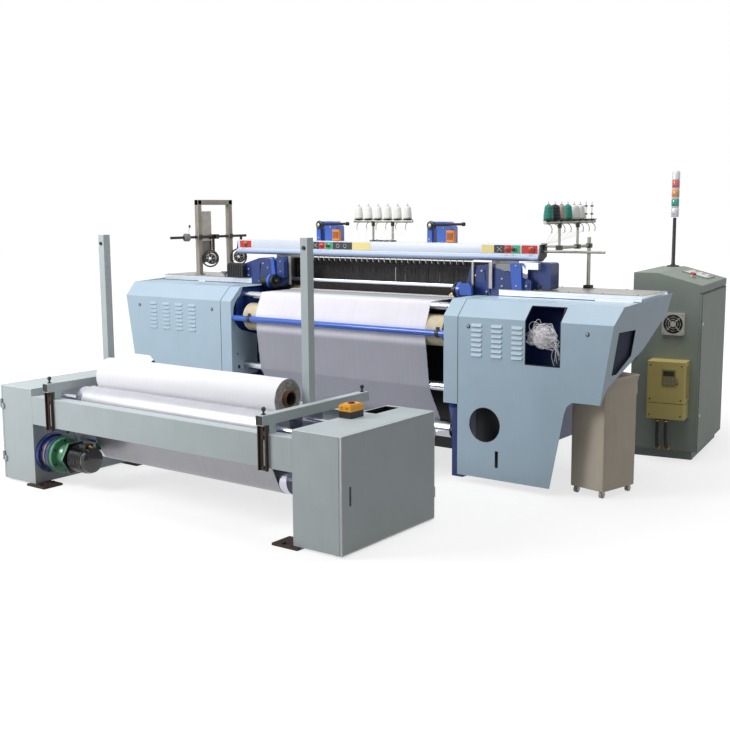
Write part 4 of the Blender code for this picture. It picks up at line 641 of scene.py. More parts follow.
def strands(paths: Array, radius: float, finish: int = 0) -> Shell:
    """Many thin threads at once: a three-sided tube along each path, closed at both ends.

    The ring of a thread lies across the line from its first point to its last.

    Args:
        paths: Points of shape threads, points on each, 3.
        radius: The threads' radius.
        finish: The finish's place in the piece's list.

    Returns:
        The surface of all the threads.
    """
    run = paths[:, -1] - paths[:, 0]
    run = run / np.linalg.norm(run, axis=1, keepdims=True)
    helper = np.where(np.abs(run[:, 2:]) < 0.9, np.array([0, 0, 1.0]), np.array([1.0, 0, 0]))
    first = np.cross(run, helper)
    first /= np.linalg.norm(first, axis=1, keepdims=True)
    second = np.cross(run, first)
    turn = np.arange(3) * 2 * pi / 3
    ring = radius * (first[:, None] * np.cos(turn)[None, :, None] + second[:, None] * np.sin(turn)[None, :,
        None])
    points = paths[:, :, None] + ring[:, None]
    index = np.arange(points.size // 3).reshape(points.shape[:3])
    after = np.roll(index, -1, axis=2)
    quads = np.stack([index[:, :-1], index[:, 1:], after[:, 1:], after[:, :-1]], axis=-1).reshape(-1, 4)
    caps = np.concatenate([index[:, 0, ::-1], index[:, -1]])
    return Shell(points.reshape(-1, 3), quads.tolist() + caps.tolist(), finish)


def copies(shell: Shell, places: Any) -> Shell:
    """The same surface at each of several places, as one surface.

    Args:
        shell: The surface.
        places: A step for each copy.

    Returns:
        The one surface.
    """
    steps = np.asarray(places, float).reshape(-1, 3)
    count = len(shell.points)
    points = (steps[:, None] + shell.points[None]).reshape(-1, 3)
    faces = [[i + k * count for i in face] for k in range(len(steps)) for face in shell.faces]
    marks = shell.finish if isinstance(shell.finish, int) else shell.finish * len(steps)
    return Shell(points, faces, marks, shell.smooth)


def turned(shell: Shell, axis: Axis, angle: float, about: Sequence[float] = (0, 0, 0)) -> Shell:
    """The same surface turned by an angle in degrees about an axis through a point.

    Args:
        shell: The surface.
        axis: The axis's direction.
        angle: The turn, in degrees.
        about: A point of the axis.

    Returns:
        The turned surface.
    """
    matrix = np.array(Matrix.Rotation(radians(angle), 3, axis.name))
    centre = np.asarray(about, float)
    points = (shell.points - centre) @ matrix.T + centre
    return Shell(points, shell.faces, shell.finish, shell.smooth, shell.chart)


def bolts(places: Any, axis: Axis, size: float, high: float, finish: int = 0) -> Shell:
    """Hexagon bolt heads with a washer, standing up along an axis; a negative height turns them round."""
    head = lathe([(0, size * 1.25), (high * 0.2, size * 1.25), (high * 0.2, size), (high * 0.9, size),
        (high, size * 0.85)], axis, (0, 0, 0), 6, finish, False)
    return copies(head, places)


@dataclass(frozen=True)
class Seat:
    """Where a group of pieces stands: a turn about the upright, then a step across the floor."""

    x: float
    y: float
    turn: float = 0.0

    def place(self, shells: Sequence[Shell]) -> list[Shell]:
        """The group's surfaces, moved from its own corner to its seat."""
        matrix = np.array(Matrix.Rotation(radians(self.turn), 3, "Z"))
        step = np.array([self.x, self.y, 0.0])
        return [Shell(s.points @ matrix.T + step, s.faces, s.finish, s.smooth, s.chart) for s in shells]


@dataclass(frozen=True)
class Bench:
    """Makes pieces: it moves surfaces from the datum into the frame and gives them their finishes."""

    x: float
    y: float

    @classmethod
    def from_frame(cls) -> Bench:
        """Read the datum from the cover strips, which are placed evenly about it."""
        left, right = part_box("left_cover_strip"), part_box("right_cover_strip")
        return cls((left[0].x + right[1].x) / 2, right[0].y)

    def place(self, points: Any) -> Array:
        """Points given from the datum, moved into the frame."""
        return np.asarray(points, float) + (self.x, self.y, 0.0)

    def piece(self, name: str, shells: Sequence[Shell], finishes: Sequence[Finish], body: str = ROOT,
            replaced: Sequence[str] = (), edge_mm: float = 0.0, sharp: float = 35.0) -> bpy.types.Object:
        """Put surfaces into one mesh object, give it its finishes and let it ride on a body.

        Args:
            name: The piece's name.
            shells: Its surfaces, from the datum.
            finishes: Its materials, which the shells point at by number.
            body: The body that it moves with.
            replaced: The frame's nodes that it stands for.
            edge_mm: The width of the rounding on its sharp edges, or 0 for none.
            sharp: The least angle, in degrees, of an edge that counts as sharp.

        Returns:
            The object.
        """
        offsets = np.cumsum([0] + [len(s.points) for s in shells])
        points = self.place(np.vstack([s.points for s in shells]))
        faces = [[i + int(offset) for i in face] for s, offset in zip(shells, offsets) for face in s.faces]
        mesh = bpy.data.meshes.new(name)
        mesh.from_pydata(points.tolist(), [], faces)
        if any(s.chart is not None for s in shells):
            charts = np.vstack([s.chart if s.chart is not None else np.zeros((len(s.points), 2))
                for s in shells])
            loops = np.zeros(len(mesh.loops), np.int32)
            mesh.loops.foreach_get("vertex_index", loops)
            mesh.uv_layers.new(name="chart").data.foreach_set("uv", charts[loops].astype(np.float32).ravel())
        marks = np.concatenate([np.broadcast_to(s.finish, len(s.faces)) for s in shells])
        mesh.polygons.foreach_set("material_index", marks.astype(np.int32))
        for finish in finishes:
            mesh.materials.append(finish.build())
        face_out(mesh)
        mesh.polygons.foreach_set("use_smooth",
            np.repeat([s.smooth for s in shells], [len(s.faces) for s in shells]))
        mesh.set_sharp_from_angle(angle=radians(sharp))
        item = bpy.data.objects.new(name, mesh)
        bpy.context.scene.collection.objects.link(item)
        if edge_mm:
            round_edges(item, edge_mm, sharp)
        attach(item, body)
        if replaced:
            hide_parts(*replaced)
        log.info("%s: %d points on %s", name, len(points), body)
        return item


def face_out(mesh: bpy.types.Mesh) -> None:
    """Turn every face of a mesh outwards."""
    work = bmesh.new()
    work.from_mesh(mesh)
    bmesh.ops.recalc_face_normals(work, faces=work.faces)
    work.to_mesh(mesh)
    work.free()


def round_edges(item: bpy.types.Object, width_mm: float, sharp: float, weighted: bool = False,
        hardened: bool = True) -> None:
    """Round an object's sharp edges, or only those that carry a weight, by a width in millimetres.

    Args:
        item: The object.
        width_mm: The rounding's width.
        sharp: The least angle of a sharp edge, in degrees.
        weighted: Whether only weighted edges are rounded.
        hardened: Whether the faces beside them stay flat.
    """
    bevel = item.modifiers.new("round", "BEVEL")
    bevel.width = width_mm / 1000
    bevel.segments = 2
    bevel.limit_method = "WEIGHT" if weighted else "ANGLE"
    bevel.angle_limit = radians(sharp)
    bevel.harden_normals = hardened


LONG_EDGE = 0.012
MERGE = 0.00002
BENT = 30.0


def softened(node: str, finish: Finish, body: str = ROOT, edge_mm: float = 1.2,
        curved: bool = False) -> bpy.types.Object:
    """Stand a copy of a node in its place, with its flat facets joined and its long sharp edges rounded.

    Args:
        node: The node's name.
        finish: The copy's material.
        body: The body that it moves with.
        edge_mm: The width of the rounding.
        curved: Whether it has round faces, which are shaded smooth.

    Returns:
        The copy.
    """
    source = bpy.data.objects[node]
    mesh = source.data.copy()
    mesh.name = node + "_finished"
    work = bmesh.new()
    work.from_mesh(mesh)
    bmesh.ops.remove_doubles(work, verts=work.verts, dist=MERGE)
    bmesh.ops.dissolve_limit(work, angle_limit=radians(1), verts=work.verts, edges=work.edges)
    weights = work.edges.layers.float.new("bevel_weight_edge")
    for edge in work.edges:
        bent = len(edge.link_faces) == 2 and edge.calc_face_angle() > radians(BENT)
        edge[weights] = 1.0 if bent and edge.calc_length() > LONG_EDGE else 0.0
    work.to_mesh(mesh)
    work.free()
    mesh.materials.clear()
    mesh.materials.append(finish.build())
    if curved:
        mesh.shade_smooth()
        mesh.set_sharp_from_angle(angle=radians(BENT))
    else:
        mesh.shade_flat()
    item = bpy.data.objects.new(node + "_finished", mesh)
    bpy.context.scene.collection.objects.link(item)
    round_edges(item, edge_mm, BENT, weighted=True, hardened=curved)
    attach(item, body)
    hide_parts(node)
    log.info("%s: softened on %s", node, body)
    return item


def dress(node: str, finish: Finish) -> None:
    """Give a node that stays as it is its material."""
    slots = bpy.data.objects[node].data.materials
    slots.clear()
    slots.append(finish.build())
    log.info("%s: dressed", node)


@dataclass
class Assembly:
    """A sub-assembly, which makes its pieces on a bench."""

    bench: Bench

    @property
    def piece(self) -> Callable[..., bpy.types.Object]:
        """The bench's way to make a piece."""
        return self.bench.piece


@dataclass
class BatchingUnit(Assembly):
    """The big-roll unit in front: two sheet housings, two beams, guide arms and posts."""

    inner: float = 1.054
    front: float = -1.62
    depth: float = 0.82
    width: float = 0.312
    top: float = 0.61
    arm_x: float = 0.868
    arm_z: Pair = (0.612, 0.665)
    arm_y: Pair = (-1.653, -0.756)
    post_x: float = 0.8177
    post_y: float = -1.2
    box_x: Pair = (1.056, 1.139)
    box_y: Pair = (-1.242, -1.132)
    hopper_x: Pair = (1.064, 1.154)
    hopper_y: Pair = (-1.045, -0.83)

    def sheet_metal(self) -> None:
        """Give the folded sheets, arms and beams soft edges."""
        for side in Side:
            word = side.word
            softened(f"batcher_{word}_housing", GREY_GREEN_COAT)
            softened(f"batcher_{word}_door", GREY_GREEN_COAT, f"batcher_{word}_door")
            softened(f"{word}_guide_arm", GREY_GREEN_COAT)
            softened(f"{word}_guide_post", GREY_GREEN_COAT)
            softened(f"{word}_slotted_bracket", BROWNED_STEEL)
        softened("batcher_front_beam", GREY_GREEN_COAT)
        softened("batcher_rear_beam", GREY_GREEN_COAT)

    def rims(self, side: Side) -> None:
        """The door's edge, drawn as a thin pale round bead carried round the outer face, and its black pull.

        The pale beads round the door and along the housing's top edges are painted highlights of the edges.

        Args:
            side: The housing.
        """
        outer, back = self.inner + self.width - 0.0015, self.front + self.depth
        low, high, bead = 0.0135, self.top - 0.0015, 0.0034
        corners = oblong(self.front + 0.0015, low, back - 0.0015, high)
        path = [(side.value * outer, y, z) for y, z in rounded(corners, 0.006, 3)]
        self.piece(f"{side.word}_door_rim", [tube(path, bead, 8, closed=True)], [WORN_EDGE],
            f"batcher_{side.word}_door")
        # Pale beads along the housing's top edges: painted highlights
        seams = [tube([(side.value * self.inner, y, high), (side.value * outer, y, high)], 0.0016, 8)
            for y in (self.front + 0.001, back - 0.001)]
        self.piece(f"{side.word}_housing_top_seams", seams, [WORN_EDGE])
        if side is Side.RIGHT:
            y, z, face = self.front + 0.063, (0.25, 0.35), self.inner + self.width
            liner = [block((face - 0.0098, y, z[0]), (face - 0.008, y + 0.016, z[1]))]
            ribs = block((face - 0.0082, y, 0), (face - 0.004, y + 0.016, 0.0035))
            liner.append(copies(ribs, [(0, 0, low) for low in np.arange(z[0] + 0.008, z[1] - 0.006, 0.012)]))
            self.piece("door_pull_liner", liner, [BLACK_ABS], "batcher_right_door")

    def fittings(self) -> None:
        """End plugs and knobs of the arms, bolts of posts, brackets and feet."""
        plugs, knobs, heads, skins = [], [], [], []
        for sign in (-1, 1):
            x = sign * self.arm_x
            z = sum(self.arm_z) / 2
            for y, way in ((self.arm_y[0] + 0.004, 1), (self.arm_y[1] - 0.004, -1)):
                plugs.append(block((x - 0.0222, min(y, y + way * 0.006), z - 0.0237),
                    (x + 0.0222, max(y, y + way * 0.006), z + 0.0237)))
                knob = mm(0, 13, 4, 13, 5, 6, 18, 6, 21, 11, 34, 12, 40, 8)
                knobs.append(lathe(knob, Z, (x, y + way * 0.03, self.arm_z[1] + 0.0003), 16))
            post = sign * self.post_x
            heads += [lathe(mm(0, 11, -6, 10), Y, (post, self.post_y - 0.0252, 1.492), 20),
                bolts([(x, self.front - 0.0068, z) for z in (0.392, 0.55, 0.59)], Y, 0.0075, -0.007)]
            foot = sign * (self.inner - 0.06)
            feet = [(foot, y, 0.0131) for y in (self.front - 0.005, self.front + 0.085,
                self.front + self.depth - 0.03)]
            heads.append(bolts(feet, Z, 0.011, 0.01))
            back = self.front + self.depth
            for near, far, starts, run in ((-0.1205, -0.0003, (self.front - 0.0305, back - 0.1105), 0.141),
                    (-0.001, 0.0505, (self.front - 0.0305, back + 0.0008), 0.0297)):
                x0, x1 = sorted((sign * (self.inner + near), sign * (self.inner + far)))
                skins += [block((x0, y0, 0.0002), (x1, y0 + run, 0.0136)) for y0 in starts]
            wall = sign * (self.inner - 0.0003)
            on_wall = [(wall, y, z) for y in (-1.36, -1.18) for z in (0.3, 0.43)]
            heads.append(bolts(on_wall, X, 0.008, -sign * 0.007))
        self.piece("guide_arm_end_plugs", plugs, [BLACK_ABS])
        self.piece("guide_arm_clamp_knobs", knobs, [BLACK_ENAMEL])
        self.piece("batcher_bolts", heads, [OILED_STEEL])
        self.piece("browned_foot_skins", skins, [BROWNED_STEEL], edge_mm=0.8)

    def push_box(self) -> None:
        """The start box: a black base, a yellow lid with two grooves, and a dark red mushroom button."""
        (x0, x1), (y0, y1), low = self.box_x, self.box_y, self.top + 0.0003
        base = prism(rounded(oblong(x0, y0, x1, y1), 0.006), Z, low, low + 0.036)
        lid = prism(rounded(oblong(x0 - 0.002, y0 - 0.002, x1 + 0.002, y1 + 0.002), 0.007), Z, low + 0.0362,
            low + 0.066, 1)
        step = prism(rounded(oblong(x0 + 0.006, y0 + 0.006, x1 - 0.006, y1 - 0.006), 0.006), Z, low + 0.0655,
            low + 0.073, 1)
        middle = ((x0 + x1) / 2, (y0 + y1) / 2, low + 0.073)
        ring = lathe(mm(0, 21, 3, 20), Z, middle, 24, 0)
        knob = lathe(mm(3, 10, 5, 10, 6, 18, 9, 17, 11, 11), Z, middle, 24, 2)
        screws = lathe(mm(0, 3.5, 1, 3), Z, (0, 0, low + 0.073), 10, 3)
        places = [(x, y, 0) for x in (x0 + 0.014, x1 - 0.014) for y in (y0 + 0.014, y1 - 0.014)]
        slots = copies(block((x0 + 0.012, y0 - 0.0024, low + 0.046), (x0 + 0.03, y0 - 0.0016, low + 0.049),
            0), [(0, 0, 0), (0.034, 0, 0), (0, 0, 0.008), (0.034, 0, 0.008)])
        self.piece("start_button_box", [base, lid, step, ring, knob, copies(screws, places), slots],
            [BLACK_ABS, YELLOW_ABS, DARK_RED_ABS, OILED_STEEL], replaced=["push_button_box"], edge_mm=0.8)

    def hopper_lining(self) -> None:
        """The dark sheet well under the opening in the right housing's top."""
        (x0, x1), (y0, y1), high = self.hopper_x, self.hopper_y, self.top - 0.0005
        wall, deep = 0.0015, 0.09
        walls = [block((x0 + 0.0005, y0 + 0.0005, high - deep), (x0 + wall, y1 - 0.0005, high)),
            block((x1 - wall, y0 + 0.0005, high - deep), (x1 - 0.0005, y1 - 0.0005, high)),
            block((x0 + wall, y0 + 0.0005, high - deep), (x1 - wall, y0 + wall, high)),
            block((x0 + wall, y1 - wall, high - deep), (x1 - wall, y1 - 0.0005, high)),
            block((x0 + wall, y0 + wall, high - deep), (x1 - wall, y1 - wall, high - deep + wall))]
        self.piece("housing_well_lining", walls, [BLACK_ENAMEL])

    def build(self) -> None:
        """Make the whole unit."""
        self.sheet_metal()
        for side in Side:
            self.rims(side)
        self.fittings()
        self.push_box()
        self.hopper_lining()


@dataclass
class Gearmotor(Assembly):
    """The reducer and motor on the left housing's inner wall, turned about one line along X."""

    start: float = -1.0537
    y: float = -1.49
    z: float = 0.19

    def ring_of(self, count: int, reach: float, along: float) -> list[Triple]:
        """Places round the line, at an even spacing."""
        turns = [2 * pi * (i + 0.5) / count for i in range(count)]
        return [(self.start + along, self.y + reach * cos(a), self.z + reach * sin(a)) for a in turns]

    def reducer(self) -> None:
        """A navy flange, a brass ring, a second navy flange with bolts, and a green flange with its neck."""
        profile = mm(0, 124, 22, 124, 26, 120, 27, 106, 62, 104, 64, 112, 72, 112, 74, 100, 84, 100, 86, 115,
            88, 117, 112, 117, 114, 108, 116, 111, 134, 111, 138, 107, 139, 74, 176, 66, 184, 72, 204.5, 74)
        bands = [0, 0, 0, 0, 1, 1, 1, 0, 0, 0, 0, 3, 2, 2, 3, 2, 2, 2, 2]
        body = lathe(profile, X, (self.start, self.y, self.z), 48, bands)
        heads = bolts(self.ring_of(8, 0.113, 0.0262), X, 0.0065, 0.008, 4)
        small = bolts(self.ring_of(6, 0.092, 0.1392), X, 0.006, 0.007, 4)
        holes = lathe(mm(0, 6, 0.6, 6), X, (0, 0, 0), 12, 5)
        self.piece("batcher_reducer", [body, heads, small, copies(holes, self.ring_of(8, 0.106, 0.1135))],
            [CAST_BLUE_ENAMEL, TURNED_BRASS, GREEN_ENAMEL, GREEN_ENAMEL, OILED_STEEL, BLACK_RUBBER],
            replaced=["batcher_gearbox"])

    def motor(self) -> None:
        """A glossy black motor still in its film, with a cornered plate, cooling fins and a terminal box."""
        at = (self.start + 0.205, self.y, self.z)
        profile = mm(0, 60, 12, 62, 14, 50, 30, 48, 48, 50, 50, 78)
        for step in range(8):
            low = 0.054 + step * 0.014
            profile += [(low, 0.078), (low + 0.002, 0.084), (low + 0.006, 0.084), (low + 0.008, 0.078)]
        profile += mm(170, 80, 180, 82, 198, 74, 206, 50)
        body = lathe(profile, X, at, 40)
        plate = lathe(mm(20, 104, 22, 107, 36, 107, 38, 104), X, at, 6, [1, 2, 1], False)
        box = block((at[0] + 0.105, self.y - 0.03, self.z + 0.07),
            (at[0] + 0.165, self.y + 0.03, self.z + 0.096), 1)
        gland = lathe(mm(0, 10, 12, 10, 14, 7, 26, 7), X, (at[0] + 0.165, self.y, self.z + 0.083), 12, 3)
        self.piece("batcher_motor_in_film", [body, plate, box, gland],
            [WRAPPED_MOTOR, BLACK_ENAMEL, GREEN_ENAMEL, TURNED_BRASS], replaced=["batcher_motor"],
            edge_mm=0.8)

    def build(self) -> None:
        """Make both."""
        self.reducer()
        self.motor()


@dataclass
class ClothRoll(Assembly):
    """The big roll of cloth on its card core, with the edges of its layers showing at both ends."""

    half: float = 0.73
    y: float = -1.27
    z: float = 0.682266
    outer: float = 0.109
    core: float = 0.045
    bore: float = 0.036
    proud: float = 0.022
    bore_deep: float = 0.06
    layers: int = 15

    def side_points(self, sign: int, sides: int, draw: np.random.Generator) -> Array:
        """One end from its rim inwards: rings whose place along the roll wavers from layer to layer.

        The step of ring k at turn a is a draw for the layer plus three sines of a with drawn phases.

        Args:
            sign: Which end, -1 or 1.
            sides: The number of facets.
            draw: Where the draws come from.

        Returns:
            The rings' points.
        """
        turn = np.arange(sides) * 2 * pi / sides
        radii = np.linspace(self.outer - 0.0012, self.core, 2 * self.layers)
        deep = np.tile([0.0, -0.0035], self.layers)[:,
            None] + np.repeat(draw.uniform(-0.004, 0.001, self.layers), 2)[:, None]
        phases = draw.uniform(0, 2 * pi, (2 * self.layers, 3, 1))
        waves = sum(np.sin((3 + 4 * k) * turn + phases[:, k]) for k in range(3)) * 0.0009
        along = sign * (self.half + deep + waves - 0.001)
        along[-1] = sign * (self.half - 0.004)
        return self.ring_points(along, np.broadcast_to(radii[:, None], along.shape), turn)

    def ring_points(self, along: Array, radius: Array, turn: Array) -> Array:
        """Points at a place along the roll, a radius and a turn."""
        return np.stack([along, self.y + radius * np.cos(turn), self.z + radius * np.sin(turn)], axis=-1)

    def build(self) -> None:
        """Make the roll: the web's outer turn bulges and dips a little, by two crossed sines under 1 mm."""
        draw = np.random.default_rng(11)
        sides, rows = 96, 61
        turn = np.arange(sides) * 2 * pi / sides
        along = np.linspace(-self.half + 0.0015, self.half - 0.0015, rows)[:, None] + 0 * turn
        dip = 0.00045 * (np.sin(along * 9 + np.cos(turn * 2) * 2) + np.sin(turn * 3 + along * 4) - 2)
        body = self.ring_points(along, self.outer + dip, turn + 0 * along)
        left = self.side_points(-1, sides, draw)[::-1]
        right = self.side_points(1, sides, draw)
        whole = np.concatenate([left, body, right])
        chart = np.stack(np.broadcast_arrays(whole[..., 0], turn * self.outer), axis=-1)
        wound = grid(whole, close_columns=True, chart=chart)
        cut = [1] * (2 * self.layers - 3)
        wound.finish = np.repeat(cut + [0] * (len(whole) - 1 - 2 * len(cut)) + cut, sides).tolist()
        ends = []
        for sign in (-1, 1):
            tip, deep = self.half + self.proud, self.half + self.proud - self.bore_deep
            profile = [(self.half - 0.004, self.core - 0.0005), (tip - 0.002, self.core - 0.0005),
                (tip, self.core - 0.002), (tip, self.bore + 0.0015), (tip - 0.002, self.bore),
                (deep, self.bore)]
            ends.append(lathe([(sign * a, r) for a, r in profile], X, (0, self.y, self.z), 48,
                [2, 2, 2, 2, 3], caps=(False, True)))
        self.piece("wound_cloth_roll", [wound, *ends], [BLEACHED_CLOTH, CUT_LAYERS, CARD_CORE, BLACK_RUBBER],
            "cloth_roll", ["cloth_roll"])


Stop = tuple[Pair, float, int]


def web_path(stops: Sequence[Stop], facet: float = 0.0006) -> Array:
    """The path of cloth from roller to roller, with straight runs that touch each one.

    The heading of a run is the line between two centres, less the angle whose sine is the difference of the
    radii over the distance; round a roller the path is points on a circle, close enough that a chord lies
    within half a facet of it.

    Args:
        stops: ((y, z), radius, turn): turn is 1 where the path bends left and -1 where it bends right, and a
            radius of 0 is a plain point.
        facet: Twice how far a chord may cut in.

    Returns:
        The path's points, (y, z).
    """
    runs = []
    for (first, r1, t1), (last, r2, t2) in zip(stops, stops[1:]):
        across = np.subtract(last, first)
        heading = atan2(across[1], across[0]) - np.arcsin((r2 * t2 - r1 * t1) / np.hypot(*across))
        left = np.array((-sin(heading), cos(heading)))
        runs.append((np.array(first) - left * r1 * t1, np.array(last) - left * r2 * t2))
    rows = [runs[0][0][None]]
    for (_, arrive), (leave, _), (centre, radius, turn) in zip(runs, runs[1:], stops[1:]):
        if radius == 0:
            rows.append(np.array([centre]))
            continue
        a, b = arrive - centre, leave - centre
        start = atan2(a[1], a[0])
        sweep = (turn * (atan2(b[1], b[0]) - start)) % (2 * pi)
        steps = ceil(sweep / (2 * np.arccos(1 - facet / 2 / radius)))
        angles = start + turn * np.linspace(0, sweep, steps + 1)
        rows.append(np.array(centre) + radius * np.stack([np.cos(angles), np.sin(angles)], axis=-1))
    return np.vstack(rows + [runs[-1][1][None]])


def split_runs(path: Array, longest: float = 0.04) -> Array:
    """The same path with points added on its long straight runs.

    Args:
        path: The points.
        longest: The longest step.

    Returns:
        The points with those added.
    """
    rows = []
    for a, b in zip(path, path[1:]):
        count = max(1, int(np.ceil(np.linalg.norm(b - a) / longest)))
        rows.append(a + (b - a) * (np.arange(count) / count)[:, None])
    return np.vstack(rows + [path[-1:]])


@dataclass
class ClothRun(Assembly):
    """The cloth on its way from the reed to the roll, and the warp from its beam to the healds."""

    half: float = 0.73
    thick: float = 0.0012
    off: float = 0.0012
    breast: Roller = ((0.15, 1.079), 0.024)
    take_up: Roller = ((0.165, 0.92), 0.1)
    bar: Roller = ((0.143, 0.563), 0.03)
    back: Roller = ((0.21, 0.275), 0.055)
    lower: Roller = ((-1.27, 0.247), 0.09)
    drum: Roller = ((-1.41, 0.54), 0.09)
    beam: Roller = ((1.4, 0.5), 0.28)
    rest: Roller = ((1.6, 1.05), 0.06)
    fell_y: float = 0.5
    heald_y: float = 0.82
    nip: float = 72.0
    warp_off: float = -10.0
    cut: float = 0.03

    def round_it(self, roller: Roller, turn: int) -> Stop:
        """The stop that passes the middle of the cloth round a roller."""
        centre, radius = roller
        return centre, radius + self.off, turn

    def just_off(self, roller: Roller, angle: float) -> Stop:
        """A point just off a roller, whose tangent touches it near an angle in degrees.

        Args:
            roller: Its centre and radius.
            angle: Where the cloth touches it.

        Returns:
            The stop.
        """
        (y, z), radius = roller
        reach = hypot(radius + self.off, 0.002)
        return (y + reach * cos(radians(angle)), z + reach * sin(radians(angle))), 0, 1

    def web(self, stops: Sequence[Stop], waver: float) -> tuple[Shell, float]:
        """A closed thin web along the stops.

        Its width is carried on the path; each point is pushed off along the path's normal by half the
        thickness to both sides.  The edges waver by a few sines of the distance along.

        Args:
            stops: The rollers and points that it passes.
            waver: How far the selvedges move in and out.

        Returns:
            The surface, and its length.
        """
        path = split_runs(web_path(stops))
        step = np.linalg.norm(np.diff(path, axis=0), axis=1)
        along = np.concatenate([[0], np.cumsum(step)])
        run = np.gradient(path, axis=0)
        run /= np.linalg.norm(run, axis=1, keepdims=True)
        normal = np.stack([-run[:, 1], run[:, 0]], axis=-1)
        edge = self.half - waver + waver * np.sin(along * 23) * np.sin(along * 7 + 1)
        share = np.linspace(-1, 1, 25)
        share = np.concatenate([share, share[::-1]])
        lift = np.repeat([0.5, -0.5], 25) * self.thick
        x = share[None] * edge[:, None]
        flat = path[:, None] + normal[:, None] * lift[None, :, None]
        points = np.concatenate([x[..., None], flat], axis=-1)
        chart = np.stack([x, np.broadcast_to(along[:, None], x.shape)], axis=-1)
        shell = grid(points, close_columns=True, chart=chart)
        count = len(share)
        last = (len(path) - 1) * count
        shell.faces += [list(range(count)), list(range(last + count - 1, last - 1, -1))]
        return shell, float(along[-1])

    def fringe(self, name: str, stops: Sequence[Stop], count: int, seed: int) -> bpy.types.Object:
        """Cut weft ends that stand out of both selvedges by a few millimetres.

        Args:
            name: The piece's name.
            stops: The cloth's stops.
            count: The ends on each side.
            seed: The draws' seed.

        Returns:
            The piece.
        """
        draw = np.random.default_rng(seed)
        path = split_runs(web_path(stops), 0.01)
        pick = draw.integers(1, len(path) - 1, 2 * count)
        sign = np.repeat([-1.0, 1.0], count)
        start = np.column_stack([sign * (self.half - 0.006), path[pick]])
        out = np.column_stack([sign * draw.uniform(0.004, 0.01, 2 * count),
            draw.uniform(-0.0015, 0.0015, (2 * count, 2))])
        bend = out * 0.5 + np.column_stack([np.zeros(2 * count), draw.uniform(-0.001, 0.001, (2 * count, 2))])
        paths = np.stack([start, start + bend, start + out], axis=1)
        return self.piece(name, [strands(paths, 0.0004)], [WASTE_YARN])

    def sheet(self, name: str, node: str, stops: Sequence[Stop], rests: Sequence[str], waver: float,
            finish: Finish, fringe: int = 0) -> None:
        """Args:
            name: The piece's name.
            node: The node that it stands for.
            stops: The rollers that it passes.
            rests: The pieces that it lies on; not used.
            waver: How far its selvedges move.
            finish: Its material.
            fringe: The cut ends on each side.
        """
        shell, length = self.web(stops, waver)
        item = self.piece(name, [shell], [finish], replaced=[node], sharp=60)
        trims = [self.fringe(name + "_fringe", stops, fringe, len(name))] if fringe else []

    def build(self) -> None:
        """Make the loom's cloth, the run to the unit, and the warp."""
        end = (self.back[0][0] - self.cut, self.back[0][1] - self.back[1] - self.off - 0.001)
        top = self.breast[0][1] + self.breast[1] + self.off
        loom = [((self.fell_y, top), 0, 1), self.round_it(self.breast, 1), self.round_it(self.take_up, 1),
            self.round_it(self.bar, 1), self.round_it(self.back, -1), (end, 0, 1)]
        self.sheet("woven_cloth", "loom_cloth", loom, ["breast_roller", "rubbered_take_up_roller"], 0.002,
            SINGLE_CLOTH, 260)
        run = [((end[0] - 0.0003, end[1]), 0, 1), self.round_it(self.lower, -1), self.round_it(self.drum, -1),
            self.just_off(self.drum, self.nip)]
        self.sheet("cloth_to_the_roll", "batcher_cloth", run, ["lower_drum", "front_drum"], 0.002,
            PRESSED_CLOTH, 160)
        warp = [self.just_off(self.beam, self.warp_off), self.round_it(self.beam, 1),
            self.round_it(self.rest, 1), ((self.heald_y, top), 0, 1)]
        self.sheet("warp_yarn_sheet", "warp_sheet", warp, ["warp_beam_with_yarn", "back_rest_roller"], 0.0,
            STRETCHED_WARP)


@dataclass
class Rollers(Assembly):
    """The loom's rollers and drums; the take-up roller rides on its own body."""

    half: float = 0.855
    shaft: float = 0.9405
    shaft_r: float = 0.02

    def plain(self) -> None:
        """Give the drums and plain rollers their metal."""
        for node in ("front_drum", "rear_drum", "lower_drum"):
            dress(node, CHROMED_DRUM)
        for node in ("breast_roller", "return_roller", "back_rest_roller", "cloth_guide_bar"):
            dress(node, GROUND_STEEL)

    def take_up(self) -> None:
        """The rubber-covered take-up roller, with a black disc and a rubbed steel hub at each end."""
        centre, radius, half = (0, 0.165, 0.92), 0.1, self.half
        profile = []
        for sign in (-1, 1):
            end = [(self.shaft, self.shaft_r), (half + 0.001, self.shaft_r), (half + 0.001, 0.034),
                (half - 0.002, 0.036), (half - 0.002, 0.086), (half, 0.088), (half, radius - 0.002),
                (half - 0.002, radius)]
            side = [(sign * a, r) for a, r in end]
            profile += side if sign < 0 else side[::-1]
        ring = [2, 2, 2, 1, 1, 1, 0]
        bands = ring + [0] + ring[::-1]
        roller = lathe(profile, X, centre, 56, bands)
        self.piece("rubbered_take_up_roller", [roller], [RUBBER_COVER, BLACK_RUBBER, GROUND_STEEL],
            "take_up_roller", ["take_up_roller"])

    def build(self) -> None:
        """Make them all."""
        self.plain()
        self.take_up()


